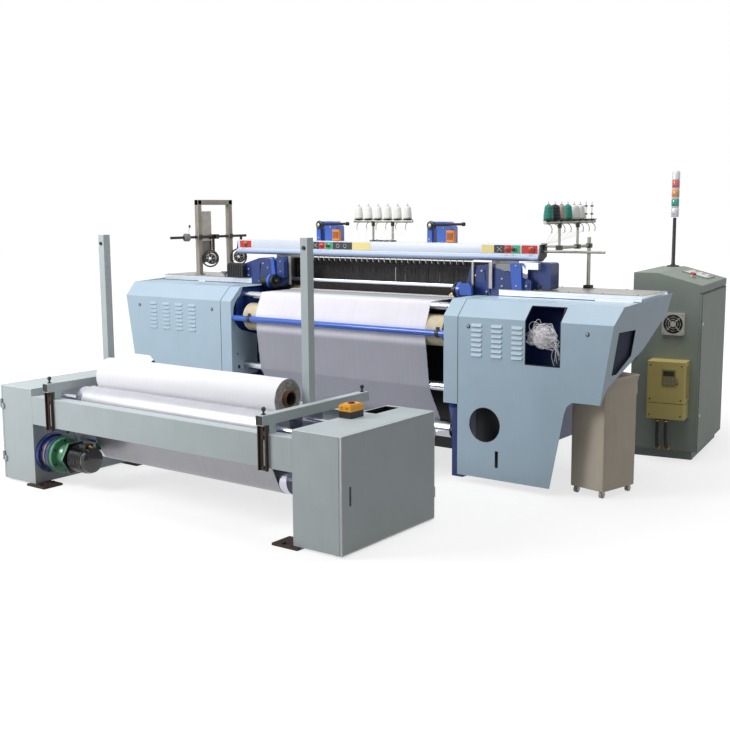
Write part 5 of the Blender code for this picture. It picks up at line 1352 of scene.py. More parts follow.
@dataclass
class FrontCovers(Assembly):
    """The folded sheet covers and strips on both sides, with what is fixed to them and seen through them."""

    fold_z: float = 1.037
    strip_in: float = 0.9092
    cover_in: float = 1.0138
    window_x: Pair = (1.48, 1.706)
    window_z: float = 0.776
    slope: Pair = (0.104, 1.136)
    port: Triple = (1.2078, 0.38, 0.106)
    bundle: Pair = (1.562, 0.955)
    lock_places: tuple[Pair, ...] = ((1.089, 0.979), (1.876, 0.98), (-1.881, 0.968), (-1.101, 0.972))

    def sheets(self) -> None:
        """Give the folded sheets soft edges."""
        for side in Side:
            softened(f"{side.word}_front_cover", PALE_BLUE_COAT)
            softened(f"{side.word}_cover_strip", PALE_BLUE_COAT)

    def locks(self) -> None:
        """Quarter-turn locks: a black bezel, a domed steel barrel and a dark slot across it."""
        bezel = lathe(mm(0.5, 12.5, -2, 12, -3.5, 9.5, -3, 8.5), Y, (0, -0.0002, 0), 24)
        barrel = lathe(mm(-2.8, 7.8, -5, 7.2, -6, 5), Y, (0, -0.0002, 0), 20, 1)
        slot = turned(block((-0.0045, -0.0068, -0.0009), (0.0045, -0.006, 0.0009), 2), Y, 35)
        places = [(x, 0, z) for x, z in self.lock_places]
        self.piece("cover_locks", [copies(shell, places) for shell in (bezel, barrel, slot)],
            [BLACK_RUBBER, ZINC_STEEL, BLACK_ABS])

    def seams(self) -> None:
        """The dark sponge gasket in the joint between each strip and its cover."""
        bands = []
        for side in Side:
            x = side.value * (self.cover_in - 0.0003)
            path = [(x, 0.0008, 0.5), (x, 0.0008, self.fold_z), (x, self.slope[0], self.slope[1] - 0.0012),
                (x, 0.39, self.slope[1] - 0.0012)]
            bands.append(tube(split_runs(np.array(path), 0.05), 0.0024, 6))
        self.piece("cover_joint_gaskets", bands, [BLACK_RUBBER])

    def window_trim(self) -> None:
        """The black edge strip pushed over the window's cut, and the ring round the leaf port."""
        (x0, x1), low = self.window_x, self.window_z
        fall = (self.slope[1] - self.fold_z) / self.slope[0]
        high_y = 0.0835
        high = self.fold_z + fall * high_y
        path = [(x0, 0.0015, low), (x1, 0.0015, low), (x1, 0.0015, self.fold_z), (x1, high_y, high),
            (x0, high_y, high), (x0, 0.0015, self.fold_z)]
        path = split_runs(np.array(path + path[:1]), 0.03)[:-1]
        bands = [tube(path, 0.0032, 8, closed=True)]
        x, z, radius = self.port
        turn = np.linspace(0, 2 * pi, 48, endpoint=False)
        bands.append(tube(np.column_stack([x + radius * np.cos(turn), 0 * turn + 0.0015,
            z + radius * np.sin(turn)]), 0.0026, 8, closed=True))
        self.piece("cut_edge_strips", bands, [BLACK_RUBBER])

    def waste_yarn(self) -> None:
        """The loose bundle of waste yarn in the window: threads in sagging loops about a slack coil.

        Each thread is a row of turns round a line that sags as a parabola, with a drawn radius and start.
        """
        draw = np.random.default_rng(5)
        count, steps, middle = 150, 22, self.bundle
        t = np.linspace(0, 1, steps)
        turns = draw.uniform(0.4, 1.3, count)[:, None] * 2 * pi * t + draw.uniform(0, 2 * pi, count)[:, None]
        size = draw.uniform(0.015, 0.06, count)[:, None] * (0.8 + 0.2 * np.sin(turns * 2.3))
        middle_x = middle[0] + draw.normal(0, 0.02, count)[:, None] + 0.05 * (t - 0.5)
        middle_z = middle[1] + draw.normal(0, 0.018, count)[:, None] - 0.1 * (t - 0.4) ** 2
        depth = 0.06 + 0.02 * np.sin(turns + 1) + draw.normal(0, 0.005, count)[:, None]
        paths = np.stack([middle_x + size * np.cos(turns), depth, middle_z + size * np.sin(turns)], axis=-1)
        rise = np.linspace(0, 1, 14)[:, None]
        hang = []
        for index in range(12):
            start = np.array((1.635 + draw.normal(0, 0.01), 0.062 + draw.normal(0, 0.004), 0.95))
            end = np.array((1.655 + draw.normal(0, 0.012), 0.06, 0.775 + 0.012 * index))
            sway = np.array((draw.normal(0, 0.01), 0, 0)) * np.sin(rise * 7 + index)
            hang.append(start + (end - start) * rise + sway)
        shells = [tube(path, 0.0015, 5) for path in paths] + [tube(path, 0.0014, 5) for path in hang]
        shells.append(self.fluff(draw))
        self.piece("waste_yarn_bundle", shells, [WASTE_YARN])

    def fluff(self, draw: np.random.Generator) -> Shell:
        """The felted heart of the bundle: a ball whose radius wavers by products of sines of both angles.

        Args:
            draw: Where the phases come from.

        Returns:
            The surface.
        """
        around = np.linspace(0, 2 * pi, 28, endpoint=False)
        down = np.linspace(0.05, pi - 0.05, 18)[:, None]
        phase = draw.uniform(0, 2 * pi, 4)
        size = 1 + 0.1 * np.sin(5 * around + phase[0]) * np.sin(6 * down + phase[1])
        size = size + 0.07 * np.sin(9 * around + phase[2]) * np.sin(11 * down + phase[3])
        points = np.stack([self.bundle[0] + 0.046 * size * np.sin(down) * np.cos(around),
            0.066 + 0.014 * size * np.sin(down) * np.sin(around),
            self.bundle[1] + 0.04 * size * np.cos(down)], axis=-1)
        return grid(points, close_columns=True)

    def plug(self) -> None:
        """The black plug in the left strip's side panel."""
        plug = lathe(mm(0, 14, 1.5, 13, 3, 9), X, (-self.strip_in + 0.0002, 0.073, 0.555), 20)
        screws = [bolts([(sign * (self.strip_in - 0.0002), y, z) for y, z in ((0.06, 0.65), (0.2, 0.56))], X,
            0.0055, sign * -0.005) for sign in (-1, 1)]
        self.piece("strip_plug_and_screws", [plug, *screws], [BLACK_ABS])

    def guard_clamps(self) -> None:
        """The bright-blue guard tube, with a strap clamp near each end."""
        dress("guard_tube", BRIGHT_BLUE_ENAMEL)
        shells = []
        for x in (-0.756, 0.847):
            shells += [lathe(mm(-12, 21.2, -12, 25, -10, 26.2, 10, 26.2, 12, 25, 12, 21.2), X,
                (x, 0.03, 0.917), 28, caps=OPEN), block((x - 0.012, 0.026, 0.94), (x + 0.012, 0.034, 0.957)),
                block((x - 0.012, 0.0515, 0.905), (x + 0.012, 0.06, 0.929))]
        self.piece("guard_tube_clamps", shells, [BLACK_ABS], edge_mm=0.6)

    def build(self) -> None:
        """Make the covers and their fittings."""
        self.sheets()
        self.locks()
        self.seams()
        self.window_trim()
        self.waste_yarn()
        self.plug()
        self.guard_clamps()


@dataclass
class GuideBoxes(Assembly):
    """The aluminium rapier guide boxes on top of the covers, with their steel lids."""

    x: Pair = (1.0698, 2.0258)
    y: Pair = (0.4, 0.8)
    z: Pair = (1.1403, 1.18)

    def box(self, side: Side) -> None:
        """A grooved extrusion carried along X, and a lid of ground steel that laps over it.

        Args:
            side: The loom's side.
        """
        (front, back), (low, high) = self.y, self.z
        groove = 0.003
        section = [(front, low), (front, low + 0.01), (front + groove, low + 0.011),
            (front + groove, low + 0.016), (front, low + 0.017), (front, high - 0.005), (back, high - 0.005),
            (back, low)]
        x0, x1 = sorted((side.value * self.x[0], side.value * self.x[1]))
        body = prism(section, X, x0, x1, 0)
        lid = prism([(front - 0.0002, high - 0.0048), (front - 0.0002, high - 0.0002), (front + 0.001, high),
            (back - 0.001, high), (back, high - 0.001), (back, high - 0.0048)], X, x0 + 0.0005, x1 - 0.0005,
            1)
        seams = [block((x - 0.0006, front + 0.002, high - 0.0002), (x + 0.0006, back - 0.002, high + 0.0001),
            2) for x in np.linspace(x0, x1, 4)[1:-1]]
        shells = [body, lid, *seams]
        heads = [(x, y, high) for x in np.linspace(x0 + 0.03, x1 - 0.03, 5)
            for y in (front + 0.018, back - 0.018)]
        screw = lathe(mm(-1, 6.5, 1.5, 6, 2.5, 4.5), Z, (0, 0, 0), 12, 2)
        shells.append(copies(screw, heads))
        self.piece(f"{side.word}_guide_box_with_lid", shells, [DRAWN_ALUMINIUM, STEEL_LID, OILED_STEEL],
            replaced=[f"{side.word}_rapier_guide_box"], edge_mm=0.8, sharp=50)

    def lid_fittings(self) -> None:
        """Black and blue knobs that stand on the right lid near the drive."""
        top = self.z[1] + 0.0003
        knob = mm(0, 16, 4, 16, 6, 9, 14, 9, 18, 20, 34, 21, 40, 16)
        low = mm(0, 20, 6, 20, 8, 12, 20, 12, 22, 16, 30, 14)
        shells = [lathe(knob, Z, (1.145, 0.47, top), 20, 0), lathe(low, Z, (1.205, 0.445, top), 20, 1),
            lathe(knob, Z, (1.262, 0.47, top), 20, 0), lathe(low, Z, (1.33, 0.45, top), 20, 0),
            block((1.11, 0.436, top), (1.35, 0.498, top + 0.006), 2),
            tube(smooth_path([(1.262, 0.47, top + 0.04), (1.262, 0.47, top + 0.075), (1.24, 0.46, top + 0.1)],
            5), 0.004, 8, 2)]
        self.piece("right_lid_knobs", shells, [BLACK_ABS, BRIGHT_BLUE_ENAMEL, ZINC_STEEL], edge_mm=0.5)

    def build(self) -> None:
        """Make both boxes."""
        for side in Side:
            self.box(side)
        self.lid_fittings()


@dataclass
class OperatingRail(Assembly):
    """The extruded control rail across the loom, with its lettering left bare."""

    half: float = 1.3
    y: float = 0.5
    deep: float = 0.09
    z: Pair = (1.355, 1.462)
    face_z: Pair = (1.4045, 1.456)
    plates: tuple[tuple[float, float, int], ...] = ((-1.276, -1.159, 2), (-0.62, -0.486, 3),
        (-0.484, -0.434, 2), (-0.432, -0.364, 4), (-0.362, -0.186, 3), (-0.184, -0.023, 5), (0.88, 0.972, 5),
        (0.974, 1.053, 3), (1.055, 1.103, 2), (1.105, 1.166, 4), (1.174, 1.288, 2))
    buttons: tuple[tuple[float, float, int], ...] = ((-1.221, 0.018, 6), (-0.466, 0.0135, 6),
        (-0.4, 0.0135, 7), (1.07, 0.0135, 6), (1.122, 0.0135, 7), (1.245, 0.0185, 6))

    def extrusion(self) -> list[Shell]:
        """The rail's section carried along X: a pale face over a bluer slanted lip, with drawn grooves."""
        y, (low, high) = self.y, self.z
        section = [(y, high - 0.006), (y + 0.0018, high - 0.0018), (y + 0.006, high), (y + self.deep, high),
            (y + self.deep, low + 0.03), (y + 0.03, low), (y + 0.01, low), (y - 0.0125, low + 0.0145),
            (y - 0.014, low + 0.018), (y - 0.014, low + 0.03), (y - 0.012, low + 0.033),
            (y - 0.001, low + 0.0385), (y, low + 0.04), (y, low + 0.0455), (y + 0.0016, low + 0.046),
            (y + 0.0016, low + 0.0475), (y, low + 0.048)]
        sides = [0] * len(section)
        for index in (6, 7, 8, 9, 10):
            sides[index] = 1
        return [prism(section, X, -self.half, self.half, sides + [0, 0])]

    def face(self) -> list[Shell]:
        """The coloured plates set on the face, with crossed hatches on the long black ones."""
        low, high = self.face_z
        shells = [prism(rounded(oblong(a, low, b, high), 0.003, 2), Y, self.y - 0.0009, self.y + 0.0004,
            colour) for a, b, colour in self.plates]
        mark = []
        for middle in (-0.58, -0.525, 1.013):
            bar = block((middle - 0.022, self.y - 0.0013, (low + high) / 2 - 0.0011),
                (middle + 0.022, self.y - 0.0008, (low + high) / 2 + 0.0011), 0)
            for angle in (38, -38):
                mark.append(turned(bar, Y, angle, (middle, 0, (low + high) / 2)))
        for middle in (-0.315, -0.25):
            ring = lathe(mm(0.4, 12, 0.4, 14, -0.4, 14, -0.4, 12), Y,
                (middle, self.y - 0.0009, (low + high) / 2), 28, caps=OPEN)
            mark.append(ring)
        return shells + mark

    def controls(self) -> list[Shell]:
        """The push buttons, each a bright steel collar under a mushroom head."""
        z = sum(self.face_z) / 2
        shells = []
        for x, radius, colour in self.buttons:
            collar = [(0.0005, radius * 1.05), (-0.004, radius), (-0.006, radius * 0.72)]
            head = [(-0.005, radius * 0.62), (-0.012, radius * 0.62), (-0.0125, radius * 0.95),
                (-0.016, radius), (-0.02, radius * 0.86), (-0.0218, radius * 0.5)]
            shells += [lathe(collar, Y, (x, self.y, z), 24, 8), lathe(head, Y, (x, self.y, z), 24, colour)]
        return shells

    def ends(self) -> list[Shell]:
        """A black tapered cap at each end."""
        y, (low, high) = self.y, self.z
        cap = [(y + 0.001, high - 0.008), (y + 0.008, high - 0.001), (y + self.deep - 0.002, high - 0.001),
            (y + self.deep - 0.002, low + 0.031), (y + 0.03, low + 0.001), (y - 0.01, low + 0.016),
            (y - 0.012, low + 0.03)]
        return [prism(cap, X, self.half, self.half + 0.01, 7),
            prism(cap, X, -self.half - 0.003, -self.half, 7)]

    def build(self) -> None:
        """Make the rail."""
        shells = self.extrusion() + self.face() + self.controls() + self.ends()
        self.piece("lettered_bare_rail", shells,
            [PALE_LACQUER, BLUE_LACQUER, RED_PLATE, BLACK_PLATE, GREEN_PLATE, CREAM_PLATE, RED_ABS, BLACK_ABS,
            ZINC_STEEL], replaced=["operating_rail"])


@dataclass
class Harness(Assembly):
    """Heald frames full of thin healds, the reed, and the hooks that hang under the rail."""

    half: float = 0.9119
    frames: tuple[tuple[str, float], ...] = (("front_heald_frame", 0.72), ("rear_heald_frame", 0.8))
    z: Pair = (0.96, 1.325)
    healds: int = 380
    dents: int = 620
    reed_half: float = 0.9122
    reed_y: Pair = (0.56, 0.572)
    reed_z: Pair = (1.04, 1.185)

    def port_liner(self) -> Shell:
        """A dark navy plate of painted shade behind the port in the right side panel, leaning with the panel:
        x moves in by the lean times the drop.
        """
        outline = mm(75, 722, 165, 722, 480, 795, 480, 1005, 75, 1005)
        plate = prism(outline, X, 2.008, 2.011, 6)
        plate.points = plate.points + np.outer(plate.points[:, 2] - 1.033, (0.157, 0, 0))
        return plate

    def heald_frame(self, node: str, y: float, seed: int) -> None:
        """A frame of two rails and two stays, with flat steel healds whose eyes bulge at mid height.

        A heald is a thin strip whose width swells to its eye as a narrow bell; each stands a hair off even.

        Args:
            node: The heald frame's node.
            y: Its middle.
            seed: The draws' seed.
        """
        (low, high), half, thick = self.z, self.half, 0.006
        rail_low, rail_high, inner = low + 0.05, high - 0.05, half - 0.02
        shells = [block((-half, y - thick, low), (half, y + thick, rail_low), 1),
            block((-half, y - thick, rail_high), (half, y + thick, high), 1),
            block((-half, y - thick, rail_low), (-inner, y + thick, rail_high), 1),
            block((inner, y - thick, rail_low), (half, y + thick, rail_high), 1)]
        draw = np.random.default_rng(seed)
        x = np.linspace(-inner + 0.004, inner - 0.004, self.healds) + draw.uniform(-0.0012, 0.0012,
            self.healds)
        z = np.linspace(rail_low - 0.002, rail_high + 0.002, 9)
        bell = np.exp(-((z - (low + high) / 2) / 0.012) ** 2)
        wide = 0.0035 + 0.0008 * bell
        lean = draw.uniform(-0.001, 0.001, (self.healds, 1)) * np.sin((z - low) * 9)
        shift = draw.uniform(-0.0028, 0.0028, (self.healds, 1)) + 0 * z
        across = np.stack([x[:, None] + lean - wide, x[:, None] + lean + wide], axis=-1)
        points = np.stack([across, np.broadcast_to((y + shift)[..., None], across.shape),
            np.broadcast_to(z[None, :, None], across.shape)], axis=-1)
        index = np.arange(points.size // 3).reshape(points.shape[:3])
        quads = np.stack([index[:, :-1, 0], index[:, 1:, 0], index[:, 1:, 1], index[:, :-1, 1]], axis=-1)
        shells.append(Shell(points.reshape(-1, 3), quads.reshape(-1, 4).tolist(), 0, False))
        holders = [(a, y - thick, c) for a in np.linspace(-inner, inner, 12)[1:-1]
            for c in (rail_low - 0.012, rail_high + 0.012)]
        shells.append(bolts(holders, Y, 0.005, -0.004, 1))
        self.piece(node + "_with_healds", shells, [HEALD_WIRE, OILED_STEEL], node, [node])

    def reed(self) -> None:
        """The reed: a rounded cap over fine upright dents, with a lower baulk."""
        (y0, y1), (low, high), half = self.reed_y, self.reed_z, self.reed_half
        middle = (y0 + y1) / 2
        cap = rounded(oblong(middle - 0.011, high - 0.024, middle + 0.011, high + 0.001), 0.006)
        x = np.linspace(-half + 0.006, half - 0.006, self.dents)
        dent = block((-0.0007, y0 + 0.001, low + 0.012), (0.0007, y1 - 0.001, high - 0.02))
        shells = [prism(cap, X, -half, half, 1), copies(dent, np.column_stack([x, 0 * x, 0 * x])),
            prism(rounded(oblong(y0, low, y1, low + 0.022), 0.003), X, -half, half, 1)]
        self.piece("reed_with_dents", shells, [HEALD_WIRE, DRAWN_ALUMINIUM], replaced=["reed"])

    def hooks(self) -> None:
        """The row of cream lifting hooks with black dampers under the rail, in front of the healds."""
        low, high, y = 1.305, 1.352, 0.535
        hook = [(0, 0, high), (0, 0, high - 0.008), (0, -0.005, high - 0.016), (0.001, -0.006, high - 0.022),
            (0.002, -0.003, high - 0.028), (0.001, 0.002, high - 0.031)]
        arm = tube(smooth_path([(x, y + b, z) for x, b, z in hook], 3), 0.0028, 8, 0)
        damper = lathe([(low + 0.006, 0.0065), (low + 0.014, 0.0085), (low + 0.028, 0.0085),
            (low + 0.034, 0.006)], Z, (0.02, y, 0), 12, 1)
        tie = tube([(0.02, y, low + 0.008), (0.02, y + 0.01, low - 0.06)], 0.001, 5, 2)
        steps = [(x, 0, 0) for x in np.linspace(-0.62, 0.72, 28)]
        bar = prism(oblong(y - 0.006, high - 0.004, y + 0.012, high + 0.004), X, -0.7, 0.79, 2)
        self.piece("lifting_hooks", [copies(arm, steps), copies(damper, steps), copies(tie, steps), bar],
            [WHITE_ABS, BLACK_RUBBER, OILED_STEEL])

    def gantry(self) -> None:
        """The steel beam and uprights behind the rail."""
        softened("harness_gantry", ZINC_STEEL)

    def uprights(self) -> None:
        """Stays beside the harness, the pale strip before the reed, and the dark plates and screen behind.

        The wide dark screen across the inside of the loom and the dark plates behind the right cover's port
        are painted shade.
        """
        shells = [prism(rounded(oblong(-0.734, 1.14, -0.714, 1.35), 0.003, 2), Y, 0.44, 0.452, 2),
            prism(oblong(0.878, 1.15, 0.892, 1.35), Y, 0.38, 0.39, 2),
            prism(oblong(1.006, 1.183, 1.03, 1.352), Y, 0.38, 0.392, 2),
            prism(oblong(-0.72, 1.1068, 0.72, 1.113), Y, 0.44, 0.498, 4),
            # Painted shade: a wide dark screen across the inside of the loom, then a dark plate behind the
            # right cover's port and a navy plate inside the right side panel
            prism(oblong(-0.9085, 0.04, 0.9085, 0.88), Y, 0.6, 0.603, 5),
            prism(mm(1050, 70, 1430, 70, 1460, 560, 1050, 560), Y, 0.16, 0.163, 5), self.port_liner(),
            prism(rounded(mm(836, 1138, 924, 1138, 924, 1190, 900, 1214, 836, 1214), 0.014), Y, 0.3, 0.322,
            3)]
        self.piece("harness_side_fittings", shells,
            [CREAM_ABS, WASTE_YARN, ZINC_STEEL, BRIGHT_BLUE_ENAMEL, PALE_STRIP, BLACK_ENAMEL, NAVY_SHADE],
            edge_mm=0.8)

    def temples(self) -> None:
        """The temples that hold the cloth's width at the fell."""
        shells = []
        for side in Side:
            x = side.value * 0.69
            shells += [block((x - 0.06, 0.5, 1.107), (x + 0.05, 0.536, 1.124), 0),
                lathe(mm(-50, 10, 50, 10), X, (x, 0.516, 1.125), 16, 1),
                block((side.value * 0.76 - 0.012, 0.48, 1.104), (side.value * 0.76 + 0.012, 0.545, 1.14), 2)]
        self.piece("temples", shells, [ZINC_STEEL, TURNED_BRASS, BLACK_ABS], edge_mm=0.8)

    def build(self) -> None:
        """Make the whole harness."""
        for seed, (node, y) in enumerate(self.frames):
            self.heald_frame(node, y, seed)
        self.reed()
        self.hooks()
        self.gantry()
        self.uprights()
        self.temples()


@dataclass
class RapierDrives(Assembly):
    """The castings over the side frames, their clamps, bolts, motor box and bright-blue columns."""

    low: float = 1.1203
    step: float = 1.0695
    over: float = 1.1803
    x: Pair = (0.8, 1.3)
    y: Pair = (0.4, 0.53)
    top: float = 1.335
    neck: Pair = (0.86, 0.98)
    clamp: Triple = (0.8825, 1.185, 0.046)

    def casting(self, side: Side) -> None:
        """A sand casting with soft corners, a rib, a machined pad, bolts and an inspection cover.

        Args:
            side: The loom's side.
        """
        s, (front, back) = side.value, self.y
        corners = [(self.x[0], self.low), (self.step, self.low), (self.step, self.over),
            (self.x[1], self.over), (self.x[1], self.over + 0.06), (self.neck[1], self.top),
            (self.neck[0], self.top - 0.015)]
        body = prism(rounded([(s * a, b) for a, b in corners], 0.012, 5), Y, front, back)
        inner = [(self.x[0] + 0.02, self.low + 0.02), (self.neck[1] + 0.01, self.low + 0.022),
            (self.neck[1] - 0.018, self.top - 0.03), (self.neck[0] + 0.012, self.top - 0.04)]
        pad = prism(rounded([(s * a, b) for a, b in inner], 0.012), Y, front - 0.006, front + 0.001)
        rib = [(self.neck[1] + 0.004, self.low + 0.03), (self.neck[1] + 0.028, self.low + 0.03),
            (self.neck[1] + 0.018, self.top - 0.05), (self.neck[1] - 0.006, self.top - 0.04)]
        shells = [body, pad, prism(rounded([(s * a, b) for a, b in rib], 0.005, 2), Y, front - 0.008,
            front + 0.001)]
        box = [(self.step + 0.012, self.over + 0.01), (self.x[1] - 0.014, self.over + 0.01),
            (self.x[1] - 0.014, self.over + 0.048), (self.step + 0.012, self.over + 0.09)]
        shells.append(prism(rounded([(s * a, b) for a, b in box], 0.01), Y, front - 0.005, front + 0.001, 0))
        heads = [(s * 0.985, front - 0.0055, 1.16), (s * 0.9, front - 0.0055, 1.262),
            (s * 0.945, front - 0.0055, 1.292), (s * 1.095, front - 0.0045, 1.246),
            (s * 1.268, front - 0.0045, 1.206), (s * 1.095, front - 0.0045, 1.2)]
        shells.append(bolts(heads, Y, 0.0065, -0.006, 2))
        self.piece(f"{side.word}_drive_casting", shells, [CAST_BLUE_ENAMEL, BLACK_ENAMEL, ZINC_STEEL],
            replaced=[f"{side.word}_rapier_drive"], edge_mm=1.5)

    def clamp_ring(self, side: Side) -> None:
        """The shaft clamp: a dark drum on a line along X with a bright-blue band and a dark disc.

        Args:
            side: The loom's side.
        """
        s = side.value
        at, z, radius = self.clamp[0], self.clamp[1] - 0.025, self.clamp[2] + 0.006
        profile = [(-0.1, 0.03), (-0.092, 0.034), (-0.062, 0.034), (-0.06, radius - 0.006),
            (-0.02, radius - 0.004), (-0.018, radius), (0.004, radius), (0.006, radius - 0.012),
            (0.012, radius - 0.012), (0.014, radius - 0.002), (0.032, radius - 0.002), (0.034, 0.02),
            (0.058, 0.018)]
        drum = lathe([(s * -a, r) for a, r in profile], X, (s * (at - 0.07), 0.348, z + 0.008), 36,
            [0, 0, 0, 0, 0, 1, 1, 1, 2, 2, 0, 0])
        heads = bolts([(s * (at - 0.1005 + 0.132), 0.348 + 0.026 * cos(a), z + 0.008 + 0.026 * sin(a))
            for a in np.arange(6) * pi / 3], X, 0.004, s * 0.004, 2)
        stay = block((min(s * (at - 0.088), s * (at - 0.064)), 0.38, z - 0.02),
            (max(s * (at - 0.088), s * (at - 0.064)), 0.402, z + 0.03), 0)
        self.piece(f"{side.word}_shaft_clamp", [drum, heads, stay],
            [BLACK_ENAMEL, BRIGHT_BLUE_ENAMEL, OILED_STEEL])

    def left_boxes(self) -> None:
        """The black motor box with its funnel, the bright column and the navy block of the left side."""
        box = prism(rounded(mm(-1276, 1181, -1114, 1181, -1114, 1268, -1132, 1291, -1258, 1291, -1276, 1272),
            0.008), Y, 0.402 - 0.052, 0.399)
        ribs = copies(block((-1.268, 0.347, 1.19), (-1.264, 0.351, 1.28)),
            [(k * 0.018, 0, 0) for k in range(8)])
        funnel = lathe(mm(1150, 10, 1170, 12, 1186, 30, 1192, 32, 1192, 29, 1172, 10), Z,
            (-1.335, 0.386, 0.03), 24, 1)
        column = prism(rounded(mm(-862, 1344, -838, 1344, -816, 1215, -850, 1215), 0.005), Y, 0.384, 0.3995,
            2)
        lump = prism(rounded(mm(-812, 1190, -740, 1190, -740, 1310, -770, 1348, -812, 1348), 0.01), Y, 0.396,
            0.47, 3)
        heads = bolts([(-0.85, 0.3835, 1.33), (-0.776, 0.3955, 1.235), (-0.776, 0.3955, 1.31)], Y, 0.005,
            -0.005, 4)
        self.piece("left_drive_boxes", [box, ribs, funnel, column, lump, heads],
            [BLACK_ENAMEL, GREY_ABS, BRIGHT_BLUE_ENAMEL, CAST_BLUE_ENAMEL, ZINC_STEEL], edge_mm=1.0)

    def right_boxes(self) -> None:
        """The bright bar, the grey block and the aluminium bracket of the right side."""
        bar = prism(rounded(mm(1180, 1184, 1246, 1184, 1238, 1350, 1160, 1350), 0.006), Y, 0.374, 0.3985, 0)
        grey = block((1.04, 0.402, 1.296), (1.15, 0.44, 1.338), 1)
        bracket = prism(mm(1255, 1310, 1345, 1310, 1345, 1352, 1225, 1352), Y, 0.404, 0.48, 2)
        heads = bolts([(1.21, 0.3735, 1.205), (1.205, 0.3735, 1.332)], Y, 0.006, -0.005, 3)
        box = prism(rounded(oblong(1.248, 1.184, 1.41, 1.352), 0.018), Y, 0.45, 0.56, 4)
        self.piece("right_drive_boxes", [bar, grey, bracket, heads, box],
            [BRIGHT_BLUE_ENAMEL, GREY_ABS, DRAWN_ALUMINIUM, ZINC_STEEL, CAST_BLUE_ENAMEL], edge_mm=1.0)

    def build(self) -> None:
        """Make both sides."""
        for side in Side:
            self.casting(side)
            self.clamp_ring(side)
        self.left_boxes()
        self.right_boxes()


@dataclass
class ArchBrackets(Assembly):
    """The blue arches over the rail: a disc on a boss, a black bar and a brown block on each."""

    x: float = 0.49
    wide: float = 0.19
    y: Pair = (0.5903, 0.68)
    z: Pair = (1.4523, 1.602)

    def build(self) -> None:
        """Make both."""
        for side in Side:
            middle, (low, high), (front, _) = side.value * self.x, self.z, self.y
            softened(f"{side.word}_arch_bracket", BRIGHT_BLUE_ENAMEL, curved=True)
            disc = mm(2, 30, -4, 32, -10, 32, -12, 28, -12, 16, -24, 14, -26, 10)
            shells = [lathe(disc, Y, (middle - 0.06, front, high - 0.026), 32, [1, 1, 1, 1, 0, 2]),
                tube([(middle - 0.055, front - 0.006, high - 0.02),
                (middle + 0.196, front - 0.006, high - 0.016)], 0.0085, 12, 0),
                lathe(mm(0, 13, 18, 13, 20, 10), X, (middle + 0.19, front - 0.006, high - 0.016), 16, 0),
                block((middle + 0.08, front - 0.034, low + 0.014),
                (middle + 0.138, front - 0.004, low + 0.092), 3),
                block((middle + 0.086, front - 0.038, low + 0.03),
                (middle + 0.132, front - 0.033, low + 0.076), 4),
                bolts([(middle - 0.075, front - 0.0003, low + 0.03),
                (middle + 0.04, front - 0.0003, low + 0.11)], Y, 0.0065, -0.006, 2)]
            self.piece(f"{side.word}_arch_fittings", shells,
                [BLACK_RUBBER, BLACK_ENAMEL, ZINC_STEEL, ORANGE_ABS, RUST_BAR], edge_mm=0.8)


